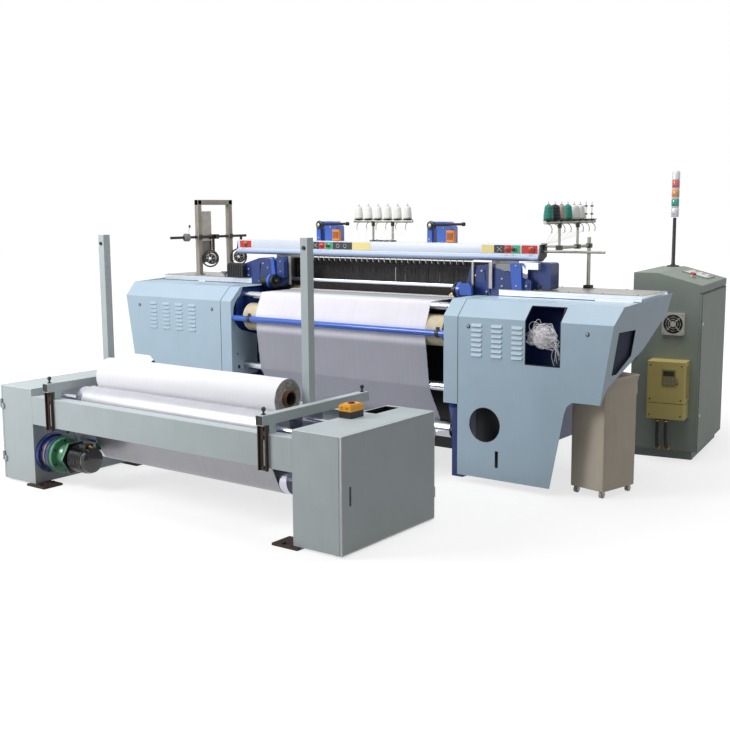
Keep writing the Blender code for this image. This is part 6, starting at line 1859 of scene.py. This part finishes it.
@dataclass
class YarnCreel(Assembly):
    """One creel: a bar on uprights, with cones on its pins and eyelets under it."""

    side: Side
    seat: Seat
    yarns: tuple[tuple[int, float], ...]
    legs: Pair
    foot: float
    pins: int
    bar_z: float = 1.605
    pitch: float = 0.085
    cone: Pair = (0.028, 0.104)
    pin_top: float = 0.123
    post: float = 0.27
    post_top: float = 1.505
    cross_z: float = 1.451

    def cones(self) -> list[Shell]:
        """Cones of yarn with a waisted build and soft shoulders, standing on black discs."""
        radius, high = self.cone
        shells = []
        half = self.pins * self.pitch / 2
        for index in range(self.pins):
            x, z = (index + 0.5) * self.pitch - half, self.bar_z
            disc = [(0.004, 0.006), (0.012, radius + 0.004), (0.0155, radius + 0.006),
                (0.0165, radius + 0.002)]
            shells += [lathe(disc, Z, (x, 0, z), 20, 6),
                lathe([(0.01, 0.003), (self.pin_top - 0.002, 0.003), (self.pin_top, 0.002)], Z, (x, 0, z), 8,
                7)]
            if index < len(self.yarns):
                stage = np.linspace(0, 1, 13)
                finish, base = self.yarns[index]
                size = base * (1 - 0.3 * stage) * (1 + 0.06 * np.sin(stage * pi))
                size[0], size[-1] = size[0] * 0.9, size[-1] * 0.84
                along = 0.017 + (high - 0.02) * stage
                profile = [*zip(along, size), (along[-1] + 0.003, size[-1] * 0.6)]
                shells += [lathe(profile, Z, (x, 0, z), 28, finish),
                    lathe([(high - 0.001, 0.01), (high + 0.003, 0.01)], Z, (x, 0, z), 14, 6)]
                continue
            for rise in (0.042, 0.092):
                shells.append(lathe([(rise, 0.01), (rise + 0.006, 0.011), (rise + 0.01, 0.004)], Z, (x, 0, z),
                    16, 6))
        return shells

    def eyelets(self) -> list[Shell]:
        """A wire hook with a ceramic eye below each pin."""
        half = self.pins * self.pitch / 2
        hook = tube(smooth_path([(0, 0, 0), (0, -0.016, -0.008), (0, -0.026, -0.028), (0, -0.024, -0.04)], 4),
            0.0022, 6, 6)
        turn = np.linspace(0, 2 * pi, 14, endpoint=False)
        eye = tube(np.column_stack([0.006 * np.cos(turn), 0 * turn - 0.024, 0.006 * np.sin(turn) - 0.046]),
            0.0018, 6, 8, closed=True)
        places = [((index + 0.5) * self.pitch - half, 0, self.bar_z - 0.01) for index in range(self.pins)]
        return [copies(hook, places), copies(eye, places)]

    def stand(self) -> list[Shell]:
        """The bar, its uprights, and for the right creel its post, crossbar and foot."""
        half = self.pins * self.pitch / 2
        low = self.foot + 0.008 if self.side is Side.LEFT else self.cross_z
        shells = [tube([(-half, 0, self.bar_z), (half, 0, self.bar_z)], 0.011, 16, 7)]
        shells += [tube([(x, 0, low), (x, 0, self.bar_z)], 0.008, 12, 7) for x in self.legs]
        for x in self.legs:
            shells.append(lathe(mm(-20, 8.5, -18, 13, 16, 13, 18, 8.5), Z, (x, 0, self.bar_z - 0.016), 14, 6,
                caps=OPEN))
        if self.side is Side.LEFT:
            shells.append(block((self.legs[0] - 0.02, -0.018, self.foot),
                (self.legs[1] + 0.02, 0.018, self.foot + 0.018), 6))
            shells += [bolts([(x, 0.01, self.foot + 0.018) for x in (-0.06, 0.06)], Z, 0.005, 0.005, 7)]
            return shells
        shells += [tube([(self.legs[0] - 0.012, 0, self.cross_z), (self.post + 0.035, 0, self.cross_z)],
            0.0095, 12, 7), tube([(self.post, 0, self.foot + 0.001), (self.post, 0, self.post_top)], 0.012,
            16, 7),
            block((self.post - 0.022, -0.025, self.foot), (self.post + 0.022, 0.025, self.foot + 0.02), 6)]
        for x, z in ((self.post, self.cross_z), (self.legs[0], self.cross_z), (self.legs[1], self.cross_z)):
            shells.append(block((x - 0.016, -0.016, z - 0.014), (x + 0.016, 0.016, z + 0.014), 6))
        return shells

    def build(self) -> None:
        """Make the creel."""
        shells = self.seat.place(self.cones() + self.eyelets() + self.stand())
        self.piece(f"{self.side.word}_creel_with_cones", shells,
            [COTTON_YARN, GREEN_YARN, BLACK_YARN, GREY_YARN, WASTE_YARN, COTTON_YARN, BLACK_ABS, ZINC_STEEL,
            CREAM_ABS], replaced=[f"{self.side.word}_yarn_creel"], edge_mm=0.5, sharp=50)


@dataclass
class CreelYarns(Assembly):
    """The thin yarns that lead from the creels to the rail, and the rods that carry the right creel."""

    def build(self) -> None:
        """Make the yarns: each sags as a shallow parabola between its eyelet and its guide."""
        share = np.linspace(0, 1, 10)[:, None]
        shells = []
        for index in range(6):
            x = -0.015 + (index + 0.5) * 0.085 - 0.255
            start, end = np.array((x, 0.616, 1.549)), np.array((x * 0.6 - 0.05, 0.592, 1.463))
            shells.append(tube(start + (end - start) * share - np.array((0, 0, 0.01)) * 4 * share
                * (1 - share), 0.001, 5))
        for index in range(6):
            y = 0.505 + (index + 0.5) * 0.085 - 0.34
            start, end = np.array((1.534, y, 1.549)), np.array((1.3 - 0.008 * index, 0.52 + 0.008 * index,
                1.463))
            shells.append(tube(start + (end - start) * share - np.array((0, 0, 0.02)) * 4 * share
                * (1 - share), 0.001, 5))
        self.piece("creel_yarns", shells, [WASTE_YARN])
        rods = [tube([(1.3, 0.556, 1.451), (1.5098, 0.556, 1.451)], 0.0075, 12),
            tube([(1.29, 0.545, 1.417), (1.7, 0.6, 1.417)], 0.008, 12)]
        clamp = block((1.292, 0.54, 1.43), (1.318, 0.572, 1.47), 1)
        self.piece("creel_carrier_rods", [*rods, clamp], [ZINC_STEEL, BLACK_ABS], edge_mm=0.6)


@dataclass
class FeederStand(Assembly):
    """The frame of dark square tube with two plates, the rod, the yarn brake and two weft feeders."""

    x: float = -1.6998
    y: Pair = (0.457, 0.842)
    tube: float = 0.04
    top: float = 1.77
    low: float = 1.1803
    rod: Triple = (0.184, 1.01, 1.478)
    brake_y: float = 0.345
    feeders: tuple[tuple[str, float], ...] = (("front_weft_feeder", 0.637), ("rear_weft_feeder", 0.96))
    feeder_z: float = 1.312
    feeder_turn: float = -53.0
    reach: float = 0.125
    ring: float = 0.07

    def stand(self) -> None:
        """Posts, top bar, plates, rod, brake and clamp."""
        half, (front, back), x = self.tube / 2, self.y, self.x
        shells = []
        for y0 in (front, back - self.tube):
            outline = rounded(oblong(x - half, y0, x + half, y0 + self.tube), 0.004, 3)
            shells.append(prism(outline, Z, self.low, self.top - 0.0005, 0))
        bar = rounded(oblong(x - half, self.top - self.tube, x + half, self.top), 0.004, 3)
        shells += [prism(bar, Y, front, back - 0.002, 0),
            prism([(a, b - 0.0002) for a, b in bar], Y, back - 0.0018, back + 0.001, 1)]
        plate_x, plate_y = (x - half, x - half + 0.003), (front + self.tube + 0.001,
            front + self.tube + 0.138)
        shells += [block((plate_x[0], plate_y[0], 1.452), (plate_x[1], plate_y[1], 1.68), 2),
            block((plate_x[0] + 0.0005, plate_y[0], 1.275), (plate_x[1] + 0.0005, plate_y[1], 1.45), 3)]
        for y in (front, back - self.tube):
            shells.append(block((x - half - 0.014, y - 0.008, self.low),
                (x + half + 0.014, y + self.tube + 0.008, self.low + 0.008), 0))
        rod_low, rod_high, rod_z = self.rod
        shells.append(tube([(x, rod_low, rod_z), (x, rod_high, rod_z)], 0.01, 16, 4))
        for y in (rod_low, rod_high):
            shells.append(lathe(mm(-6, 11.2, 6, 11.2), Y, (x, y, rod_z), 16, 1))
        for y in (self.y[0] + half, self.y[1] - half, 0.66):
            shells.append(block((x - half - 0.006, y - 0.018, rod_z - 0.018),
                (x + half + 0.006, y + 0.018, rod_z + 0.018), 1))
        cones = mm(-16, 30, -14, 32, -10, 31, -4, 16, 4, 16, 10, 31, 14, 32, 16, 30)
        shells.append(lathe(cones, X, (x, self.brake_y, rod_z), 32, 5))
        handle = smooth_path([(x, self.brake_y + 0.003, rod_z + 0.01),
            (x, self.brake_y + 0.014, rod_z + 0.04), (x, self.brake_y + 0.034, rod_z + 0.082)], 5)
        shells += [tube(handle, 0.004, 10, 6),
            lathe(mm(-12, 6, 0, 9, 10, 6), Z, (x, self.brake_y + 0.034, rod_z + 0.086), 14, 1)]
        self.piece("feeder_stand_frame", shells, [DARK_TUBE, BLACK_ABS, ZINC_STEEL, DULL_STEEL, BROWNED_STEEL,
            GREY_ABS, GROUND_STEEL], replaced=["feeder_stand"], edge_mm=0.6, sharp=50)

    def feeder(self, node: str, y: float) -> None:
        """A weft accumulator: ribbed motor housing, yarn winding on its drum, spoked ring, knob and buttons.

        Args:
            node: The node that it stands for.
            y: Its place along the rod.
        """
        body = lathe(mm(-85, 28, -80, 34, -70, 43, -52, 44, -50, 42, -46, 42, -44, 44, -28, 44, -26, 42, -22,
            42, -20, 44, -10, 44, -9, 50, -1, 50, 0, 41), X, (0, 0, 0), 36, 0)
        drum = lathe(mm(0, 36.5, 4, 39.5, 40, 38.5, 44, 36.5, 58, 35.5, 62, 30, 64, 12, 84, 10.5), X,
            (0, 0, 0), 36, [1, 1, 1, 0, 0, 0, 0])
        arc_turn = np.linspace(-0.6, 1.9, 20)
        amber = tube(np.column_stack([0 * arc_turn + 0.06, 0.06 * np.cos(arc_turn), 0.06 * np.sin(arc_turn)]),
            0.005, 8, 3)
        pins = [turned(block((0.058, -0.003, 0.016), (0.066, 0.003, 0.034), 2), X, 60 * k + 30)
            for k in range(6)]
        turn = np.linspace(0, 2 * pi, 36, endpoint=False)
        hoop = self.ring - 0.0066
        ring = tube(np.column_stack([0 * turn + 0.077, hoop * np.cos(turn), hoop * np.sin(turn)]), 0.0064, 10,
            0, True)
        spoke = [turned(tube([(0.077, 0, 0.008), (0.077, 0, hoop)], 0.003, 8, 0), X, 120 * k + 5.7)
            for k in range(3)]
        centre = lathe(mm(66, 12, 88, 11, 90, 6), X, (0, 0, 0), 18, 5)
        arm = block((-self.reach - 0.012, -0.009, 0.026), (-0.05, 0.009, 0.04), 0)
        stem_top = self.rod[2] - 0.0103 - self.feeder_z
        stem = block((-self.reach - 0.01, -0.01, 0.03), (-self.reach + 0.01, 0.01, stem_top), 0)
        knob = lathe(mm(42, 10, 60, 12, 66, 10), Z, (-0.03, 0, 0), 18, 4)
        buttons = [lathe(mm(43, 4.5, 47, 4), Z, (x, b, 0), 12, 6) for x,
            b in ((-0.06, 0.006), (-0.06, -0.008))]
        dome = lathe(mm(-94, 20, -90, 30, -84, 33), X, (0, 0, 0), 24, 5)
        shells = [body, amber, drum, ring, *spoke, *pins, centre, arm, stem, knob, *buttons, dome]
        inward = [turned(Shell(s.points + (self.reach, 0, 0), s.faces, s.finish, s.smooth), Z,
            self.feeder_turn) for s in shells]
        for shell in inward:
            shell.points = shell.points + np.array((self.x, y, self.feeder_z))
        self.piece(node + "_unit", inward, [BLACK_ABS, COTTON_YARN, ZINC_STEEL, AMBER_LENS, YELLOW_ABS,
            WHITE_ABS, ORANGE_ABS], replaced=[node], edge_mm=0.6, sharp=40)

    def build(self) -> None:
        """Make the stand and both feeders."""
        self.stand()
        for node, y in self.feeders:
            self.feeder(node, y)


@dataclass
class ControlCabinet(Assembly):
    """The cabinet with its console, and the inverter, fan guard and signal tower on it."""

    seat: Seat = Seat(2.0458, 1.367, 8.5)
    wide: float = 0.455
    deep: float = 0.86
    high: float = 1.257
    flat: float = 0.16
    lip_z: float = 1.178
    panel_y: Pair = (0.43, 0.7)
    knob_share: float = 0.56
    knob_y: float = 0.3
    inverter_x: Pair = (-0.312, -0.062)
    inverter_z: Pair = (0.298, 0.682)
    inverter_deep: float = 0.15
    hoses: tuple[Pair, ...] = ((0.2, 0.062), (0.264, 0.118))
    hose_z: float = 0.078
    hose_r: float = 0.01
    fan: Triple = (-0.18, 0.919, 0.148)
    tower: Pair = (-0.37, 0.79)
    lamp: Triple = (0.028, 0.0666, 0.359)
    lenses: tuple[int, ...] = (1, 5, 4, 3, 1)

    def case(self) -> None:
        """The sheet case and its door, with a gasket between them."""
        softened("cabinet_body", CABINET_COAT)
        softened("cabinet_door", CABINET_COAT, "cabinet_door")
        high = self.lip_z - 0.048 - 0.005
        corners = oblong(0.004, 0.064, self.deep - 0.004, high - 0.002)
        path = [(-0.0162, y, z) for y, z in rounded(corners, 0.01, 3)]
        gasket = tube(path, 0.0013, 6, 0, closed=True)
        latches = [lathe(mm(-1, 13, 3, 12, 4, 8), X, (0.0002, 0.045, z), 20, 1) for z in (0.3, 0.92)]
        self.piece("cabinet_door_gasket", self.seat.place([gasket]), [BLACK_RUBBER])
        edge = [block((-0.001, 0.0002, 0.064), (0.0005, 0.015, high - 0.002), 0),
            block((-0.001, 0.015, high - 0.0105), (0.0005, self.deep - 0.004, high - 0.002), 0)]
        self.piece("cabinet_door_fittings", self.seat.place(latches + edge), [BLACK_RUBBER, ZINC_STEEL],
            "cabinet_door")

    def console(self) -> None:
        """The grey display panel and the red mushroom knob on the slope."""
        flat_x = self.flat - self.wide
        run = np.array((0 - flat_x, self.lip_z - self.high))
        length = float(np.linalg.norm(run))
        ahead = run / length
        out = np.array((-ahead[1], ahead[0]))
        top = np.array((flat_x, self.high))

        def lifted(first: float, last: float, low: float, high: float) -> list[Pair]:
            """The outline of a slab on the slope, from two shares of it and two heights."""
            corners = oblong(first, low, last, high)
            return [tuple(top + run * share + out * step) for share, step in corners]
        y0, y1 = self.panel_y
        shells = [prism(lifted(0.22, 0.82, -0.001, 0.0072), Y, y0, y1, 0),
            prism(lifted(0.28, 0.76, 0.007, 0.0082), Y, y0 + 0.02, y0 + 0.15, 1)]
        for row in range(3):
            for column in range(4):
                first, start = 0.3 + row * 0.16, y0 + 0.166 + column * 0.023
                shells.append(prism(lifted(first, first + 0.1, 0.007, 0.0094), Y, start, start + 0.016, 2))
        profile = mm(0, 21.5, 10, 21, 11, 12, 21, 12, 22, 19, 28, 20.5, 34, 16.5, 35.5, 8)
        knob = lathe(profile, Z, (0, 0, 0), 32, [3, 3, 3, 4, 4, 4, 4])
        at = top + run * self.knob_share
        angle = np.degrees(atan2(out[0], out[1]))
        knob = turned(knob, Y, angle)
        knob.points = knob.points + np.array((at[0], self.knob_y, at[1]))
        self.piece("console_panel", self.seat.place([*shells, knob]),
            [GREY_ABS, PANEL_GLASS, WHITE_ABS, ZINC_STEEL, RED_ABS], edge_mm=0.6)

    def inverter(self) -> None:
        """The inverter's moulded case with a ribbed side, keypad, display, and its two black hoses."""
        (x0, x1), (z0, z1), deep = self.inverter_x, self.inverter_z, self.inverter_deep
        corners = rounded([(x0, -0.0003), (x0, -deep), (x1, -deep), (x1, -0.0003)], 0.011, 4)
        lower, upper = prism(corners, Z, z0, z0 + 0.1045, 0), prism(corners, Z, z0 + 0.1085, z1, 0)
        inner = [(a + (0.004 if a < (x0 + x1) / 2 else -0.004), min(-0.0003, b + 0.004)) for a, b in corners]
        core = prism(inner, Z, z0 + 0.104, z0 + 0.109, 4)
        ribs = block((x1 - 0.0005, -deep + 0.03, z0 + 0.14), (x1 + 0.0012, -deep + 0.034, z1 - 0.03), 3)
        pad = block((x0 + 0.1, -deep - 0.005, z1 - 0.16), (x1 - 0.06, 0.001 - deep, z1 - 0.05), 3)
        show = block((x0 + 0.11, -deep - 0.0062, z1 - 0.092), (x1 - 0.07, -deep - 0.0048, z1 - 0.06), 4)
        keys = []
        for row in range(3):
            for column in range(4):
                x, z = x0 + 0.114 + column * 0.0255, z1 - 0.148 + row * 0.0165
                keys.append(block((x, -deep - 0.0066, z), (x + 0.018, -deep - 0.0048, z + 0.01),
                    5 if (row, column) == (0, 3) else 6))
        screws = lathe(mm(1, 6, -1.5, 5), Y, (0, 0, 0), 12, 4)
        places = [(x, -deep, z) for x in (x0 + 0.024, x1 - 0.024)
            for z in (z0 + 0.026, z0 + 0.132, z1 - 0.026)]
        hoses = self.hose_runs(x0, z0, deep)
        shells = [lower, upper, core, copies(ribs, [(0, k * 0.016, 0) for k in range(6)]), pad, show, *keys,
            copies(screws, places), *hoses]
        self.piece("inverter_and_leads", self.seat.place(shells),
            [OLIVE_ABS, TURNED_BRASS, BLACK_RUBBER, OLIVE_SHADE, BLACK_ABS, RED_ABS, GREY_ABS],
            replaced=["inverter"], edge_mm=0.8)

    def hose_runs(self, x0: float, z0: float, deep: float) -> list[Shell]:
        """Both hoses with a cable gland at each end; a run drops, bends and enters the cabinet's front.

        Args:
            x0: The inverter's left side.
            z0: Its lower side.
            deep: Its depth.

        Returns:
            The surfaces.
        """
        shells = []
        for enter, leave in self.hoses:
            start, end, middle = x0 + leave, enter - self.wide, -deep / 2
            line = np.array([(start, middle, z0 - 0.004), (start, middle, self.hose_z + 0.02),
                (end, middle, self.hose_z), (end, -0.01, self.hose_z)])
            t = np.linspace(0, 1, 28)[:, None]
            curve = ((1 - t) ** 3 * line[0] + 3 * t * (1 - t) ** 2 * line[1] + 3 * t ** 2 * (1 - t) * line[2]
                + t ** 3 * line[3])
            shells += [tube(np.vstack([[(start, middle, z0 + 0.004)], curve]), self.hose_r, 14, 2),
                lathe(mm(-14, 13, -10, 16, -0.3, 17), Y, (end, 0, self.hose_z), 12, 1, False),
                lathe(mm(-24, 13, -18, 16, 0, 16), Z, (start, middle, z0), 12, 2, False),
                lathe(mm(-30, 12.5, -24.2, 12.5), Z, (start, middle, z0), 16, 1)]
        return shells

    def fan_guard(self) -> None:
        """The pierced guard, the dark blades behind it and its four screws."""
        softened("fan_guard", PALE_STRIP, edge_mm=0.6)
        x, z, size = self.fan
        hub = lathe(mm(-10, 20, -2, 20), Y, (x, 0, z), 24, 0)
        blades = []
        for step in range(7):
            blade = turned(block((x + 0.018, -0.0075, z - 0.014), (x + 0.062, -0.006, z + 0.014), 0), X, 28,
                (x, -0.0065, z))
            blades.append(turned(blade, Y, step * 360 / 7, (x, 0, z)))
        backing = lathe(mm(-1.6, 68, -0.5, 68), Y, (x, 0, z), 32, 1)
        screw = lathe(mm(1, 4.8, -1.8, 4.2), Y, (0, -0.018, 0), 12, 2)
        places = [(x + a * size * 0.42, 0, z + b * size * 0.42) for a in (-1, 1) for b in (-1, 1)]
        self.piece("fan_rotor_and_screws", self.seat.place([hub, *blades, backing, copies(screw, places)]),
            [BLACK_ABS, FAN_WELL, ZINC_STEEL])

    def signal_tower(self) -> None:
        """The stack of lamps on a black pole: a silver module, three lenses and a silver cap."""
        x, y = self.tower
        radius, step, pole = self.lamp
        base = self.high + 0.0003
        foot = [(0, 0.045), (0.006, 0.045), (0.009, 0.04), (0.013, 0.018), (0.022, 0.0135),
            (pole - 0.004, 0.012)]
        shells = [lathe(foot, Z, (x, y, base), 28, 0)]
        for index, finish in enumerate(self.lenses):
            low = pole + index * step
            if index == len(self.lenses) - 1:
                cap = [(low, radius - 0.003), (low + 0.004, radius), (low + step - 0.012, radius),
                    (low + step - 0.003, radius - 0.004), (low + step, radius - 0.012)]
                shells.append(lathe(cap, Z, (x, y, base), 32, finish))
                continue
            collar = [(low, radius - 0.003), (low + 0.004, radius - 0.0005), (low + 0.012, radius - 0.0005)]
            shells.append(lathe(collar, Z, (x, y, base), 32, 1))
            rows = [(low + 0.012, radius - 0.002), (low + 0.015, radius), (low + step - 0.004, radius),
                (low + step - 0.001, radius - 0.002)]
            shells.append(lathe(rows, Z, (x, y, base), 32, finish))
        heads = bolts([(x + 0.034 * cos(a), y + 0.034 * sin(a), base + 0.0062)
            for a in np.arange(4) * pi / 2 + 0.4], Z, 0.004, 0.004, 2)
        self.piece("signal_lamp_stack", self.seat.place([*shells, heads]),
            [BLACK_ABS, SILVER_ABS, ZINC_STEEL, RED_LENS, AMBER_LENS, GREEN_LENS], replaced=["signal_tower"])

    def build(self) -> None:
        """Make the cabinet and all that it carries."""
        self.case()
        self.console()
        self.inverter()
        self.fan_guard()
        self.signal_tower()


@dataclass
class WasteBin(Assembly):
    """The moulded bin on casters beside the loom."""

    seat: Seat = Seat(1.9438, 0.11, -13.0)
    wide: float = 0.245
    deep: float = 0.31

    def build(self) -> None:
        """Give the shell soft edges, and add the swivel housings of its casters."""
        softened("waste_bin", BIN_PLASTIC, edge_mm=1.5, curved=True)
        fork = [prism(mm(-13, 40, -13, 16, -11, 10, -10, 10, -10, 40), Y, -0.01, 0.01, 0),
            prism(mm(13, 40, 13, 16, 11, 10, 10, 10, 10, 40), Y, -0.01, 0.01, 0),
            prism(oblong(-0.013, 0.04, 0.013, 0.0448), Y, -0.013, 0.013, 0)]
        places = [(x, y, 0) for x in (-self.wide + 0.03, -0.03) for y in (0.03, self.deep - 0.03)]
        hubs = copies(lathe(mm(-10.5, 5, 10.5, 5), X, (0, 0, 0.02), 10, 1), places)
        lip = rounded(oblong(-self.wide - 0.008, -0.008, 0.008, self.deep + 0.008), 0.02, 5)
        rim = tube([(x, y, 0.706) for x, y in lip], 0.0055, 10, 0, True)
        self.piece("rolled_bin_lip", self.seat.place([rim]), [BIN_PLASTIC])
        self.piece("caster_forks", self.seat.place([copies(s, places) for s in fork] + [hubs]),
            [ZINC_STEEL, BLACK_RUBBER])


@dataclass
class WarpSide(Assembly):
    """The warp beam with its yarn, the rear tube and the cast side frames."""

    beam: Pair = (1.4, 0.5)
    yarn_r: float = 0.28
    flange_r: float = 0.35
    flange: float = 0.014
    half: float = 0.74
    shaft: float = 0.9405

    def warp_beam(self) -> None:
        """A yarn body with a faint barrel, between flanges with a rolled rim, a recessed face and a hub."""
        radius, inner, outer = self.yarn_r, self.half, self.half + self.flange
        along = np.linspace(-inner + 0.0005, inner - 0.0005, 25)
        swell = radius - 0.0008 * (along / inner) ** 2
        body = lathe([(along[0], 0.03), *zip(along, swell), (along[-1], 0.03)], X, (0, *self.beam), 72,
            caps=OPEN)
        sides = []
        for sign in (-1, 1):
            profile = [(inner, self.flange_r - 0.003), (inner + 0.003, self.flange_r),
                (outer - 0.003, self.flange_r), (outer, self.flange_r - 0.003),
                (outer, self.flange_r - 0.016), (outer - 0.005, self.flange_r - 0.02), (outer - 0.005, 0.1),
                (outer, 0.09), (outer, 0.021), (self.shaft, 0.02)]
            sides.append(lathe([(sign * a, r) for a, r in profile], X, (0, *self.beam), 56, 1))
        self.piece("warp_beam_with_yarn", [body, *sides], [BEAMED_WARP, DRAWN_ALUMINIUM],
            replaced=["warp_beam"])

    def castings(self) -> None:
        """The side frames, gear cases and rear tube."""
        for side in Side:
            softened(f"loom_{side.word}_frame", CAST_BLUE_ENAMEL, edge_mm=1.5, curved=True)
            softened(f"{side.word}_gear_case", CAST_BLUE_ENAMEL, edge_mm=1.5, curved=True)
            x = side.value * 0.9925
            heads = [(x, y, z) for y, z in ((0.3, 1.06), (0.7, 1.06), (0.98, 0.76), (0.2, 0.48), (0.2, 0.25),
                (1.0, 0.25), (1.4, 0.12), (0.5, 0.12))]
            self.piece(f"{side.word}_frame_bolts", [bolts(heads, X, 0.012, side.value * 0.01)], [ZINC_STEEL])
            out = side.value * 1.5738
            ring = [(out + side.value * 0.0603, 0.53 + 0.165 * cos(a), 0.86 + 0.165 * sin(a))
                for a in np.arange(8) * pi / 4 + 0.3]
            self.piece(f"{side.word}_wheel_cover_bolts", [bolts(ring, X, 0.009, side.value * 0.008)],
                [ZINC_STEEL])
        softened("rear_cross_tube", CAST_BLUE_ENAMEL, edge_mm=1.5)

    def build(self) -> None:
        """Make them all."""
        self.warp_beam()
        self.castings()


@dataclass
class Studio(Assembly):
    """A white floor, soft lamps, and a camera where the photographer stood."""

    camera_at: Triple = (4.48, -5.57, 1.7)
    yaw: float = 36.9
    pitch: float = 8.37
    roll: float = -0.39
    focal_px: float = 1069.5
    frame_px: float = 730.0
    sensor_mm: float = 36.0
    sky: float = 0.25
    floor_half: float = 30.0
    floor_glow: Pair = (0.72, 1.0)
    glow_from: Pair = (2.4, 4.8)

    def camera(self) -> None:
        """Set the camera: turned by the yaw, tipped down by the pitch and rolled about its own axis."""
        lens = bpy.data.cameras.new("camera")
        lens.sensor_width = self.sensor_mm
        lens.lens = self.sensor_mm * self.focal_px / self.frame_px
        item = bpy.data.objects.new("camera", lens)
        turn = (Matrix.Rotation(radians(self.yaw), 4, "Z") @ Matrix.Rotation(radians(90 - self.pitch), 4,
            "X") @ Matrix.Rotation(radians(self.roll), 4, "Z"))
        item.matrix_world = Matrix.Translation(self.bench.place(self.camera_at)) @ turn
        bpy.context.scene.collection.objects.link(item)
        bpy.context.scene.camera = item

    def lamp(self, name: str, place: Sequence[float], watts: float, size: float,
            aim: Sequence[float] = (0, 0, 0.8)) -> None:
        """Add a square lamp that faces a point of the plant.

        Args:
            name: Its name.
            place: Where it hangs.
            watts: Its power.
            size: The length of its side.
            aim: The point that it faces.
        """
        light = bpy.data.lights.new(name, "AREA")
        light.energy = watts
        light.size = size
        item = bpy.data.objects.new(name, light)
        item.location = place
        item.rotation_mode = "QUATERNION"
        item.rotation_quaternion = (Vector(aim) - Vector(place)).to_track_quat("-Z", "Y")
        bpy.context.scene.collection.objects.link(item)

    def background_ray(self, tree: Tree) -> Socket:
        """One on the rays that show the background: seen by the camera, in metal or through glass."""
        path = add_node(tree, "LightPath").outputs
        either = add_node(tree, "Math", {0: path["Is Glossy Ray"], 1: path["Is Transmission Ray"]},
            operation="MAXIMUM").outputs[0]
        return add_node(tree, "Math", {0: path["Is Camera Ray"], 1: either}, operation="MAXIMUM").outputs[0]

    def world(self) -> None:
        """Even grey light from all round, which shows as white."""
        sky = bpy.data.worlds.new("studio")
        bpy.context.scene.world = sky
        sky.use_nodes = True
        tree = sky.node_tree
        level = add_node(tree, "MapRange",
            {"Value": self.background_ray(tree), "To Min": self.sky, "To Max": 1.0}).outputs[0]
        shine = tree.nodes["Background"]
        shine.inputs["Color"].default_value = linear("FFFFFF")
        tree.links.new(level, shine.inputs["Strength"])

    def floor(self) -> None:
        """A white matt floor that the camera sees a little brighter, so that only the shadows show on it."""
        material = bpy.data.materials.new("studio_floor")
        material.use_nodes = True
        tree = material.node_tree
        shader = tree.nodes["Principled BSDF"]
        shader.inputs["Base Color"].default_value = linear("959595")
        shader.inputs["Roughness"].default_value = 0.9
        shader.inputs["Specular IOR Level"].default_value = 0.0
        seen = self.background_ray(tree)
        shader.inputs["Emission Color"].default_value = linear("FFFFFF")
        place = add_node(tree, "TexCoord").outputs["Object"]
        away = add_node(tree, "VectorMath", {0: place}, operation="LENGTH").outputs["Value"]
        glow = add_node(tree, "MapRange",
            {"Value": away, "From Min": self.glow_from[0], "From Max": self.glow_from[1],
            "To Min": self.floor_glow[0], "To Max": self.floor_glow[1]}).outputs[0]
        tree.links.new(add_node(tree, "Math", {0: seen, 1: glow}, operation="MULTIPLY").outputs[0],
            shader.inputs["Emission Strength"])
        half = self.floor_half
        mesh = bpy.data.meshes.new("studio_floor")
        mesh.from_pydata([(-half, -half, 0), (half, -half, 0), (half, half, 0), (-half, half, 0)], [],
            [(0, 1, 2, 3)])
        mesh.materials.append(material)
        item = bpy.data.objects.new("studio_floor", mesh)
        bpy.context.scene.collection.objects.link(item)

    def build(self) -> None:
        """Make the whole studio."""
        bpy.context.scene.view_settings.view_transform = "Standard"
        self.camera()
        self.world()
        self.floor()
        self.lamp("top_lamp", (1.4, -0.6, 6.3), 210, 4.0)
        self.lamp("key_lamp", (-2.7, -4.9, 3.7), 272, 2.4, (-0.5, -0.6, 0.7))


LEFT_CREEL = Seat(-0.015, 0.64)
RIGHT_CREEL = Seat(1.5098, 0.505, 90.0)
LEFT_YARNS = ((0, 0.03),) * 6
RIGHT_YARNS = ((1, 0.03), (2, 0.036), (3, 0.026), (1, 0.03), (0, 0.04), (0, 0.034))


def main() -> None:
    """Build the studio and each sub-assembly in order."""
    logging.basicConfig(level=logging.INFO, format="%(name)s %(message)s")
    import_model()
    bench = Bench.from_frame()
    Studio(bench).build()
    BatchingUnit(bench).build()
    Gearmotor(bench).build()
    ClothRoll(bench).build()
    ClothRun(bench).build()
    Rollers(bench).build()
    FrontCovers(bench).build()
    GuideBoxes(bench).build()
    OperatingRail(bench).build()
    Harness(bench).build()
    RapierDrives(bench).build()
    ArchBrackets(bench).build()
    YarnCreel(bench, Side.LEFT, LEFT_CREEL, LEFT_YARNS, (-0.085, 0.085), 1.4523, 6).build()
    YarnCreel(bench, Side.RIGHT, RIGHT_CREEL, RIGHT_YARNS, (-0.148, 0.1), 1.1803, 8).build()
    CreelYarns(bench).build()
    FeederStand(bench).build()
    ControlCabinet(bench).build()
    WasteBin(bench).build()
    WarpSide(bench).build()


if __name__ == "__main__":
    main()
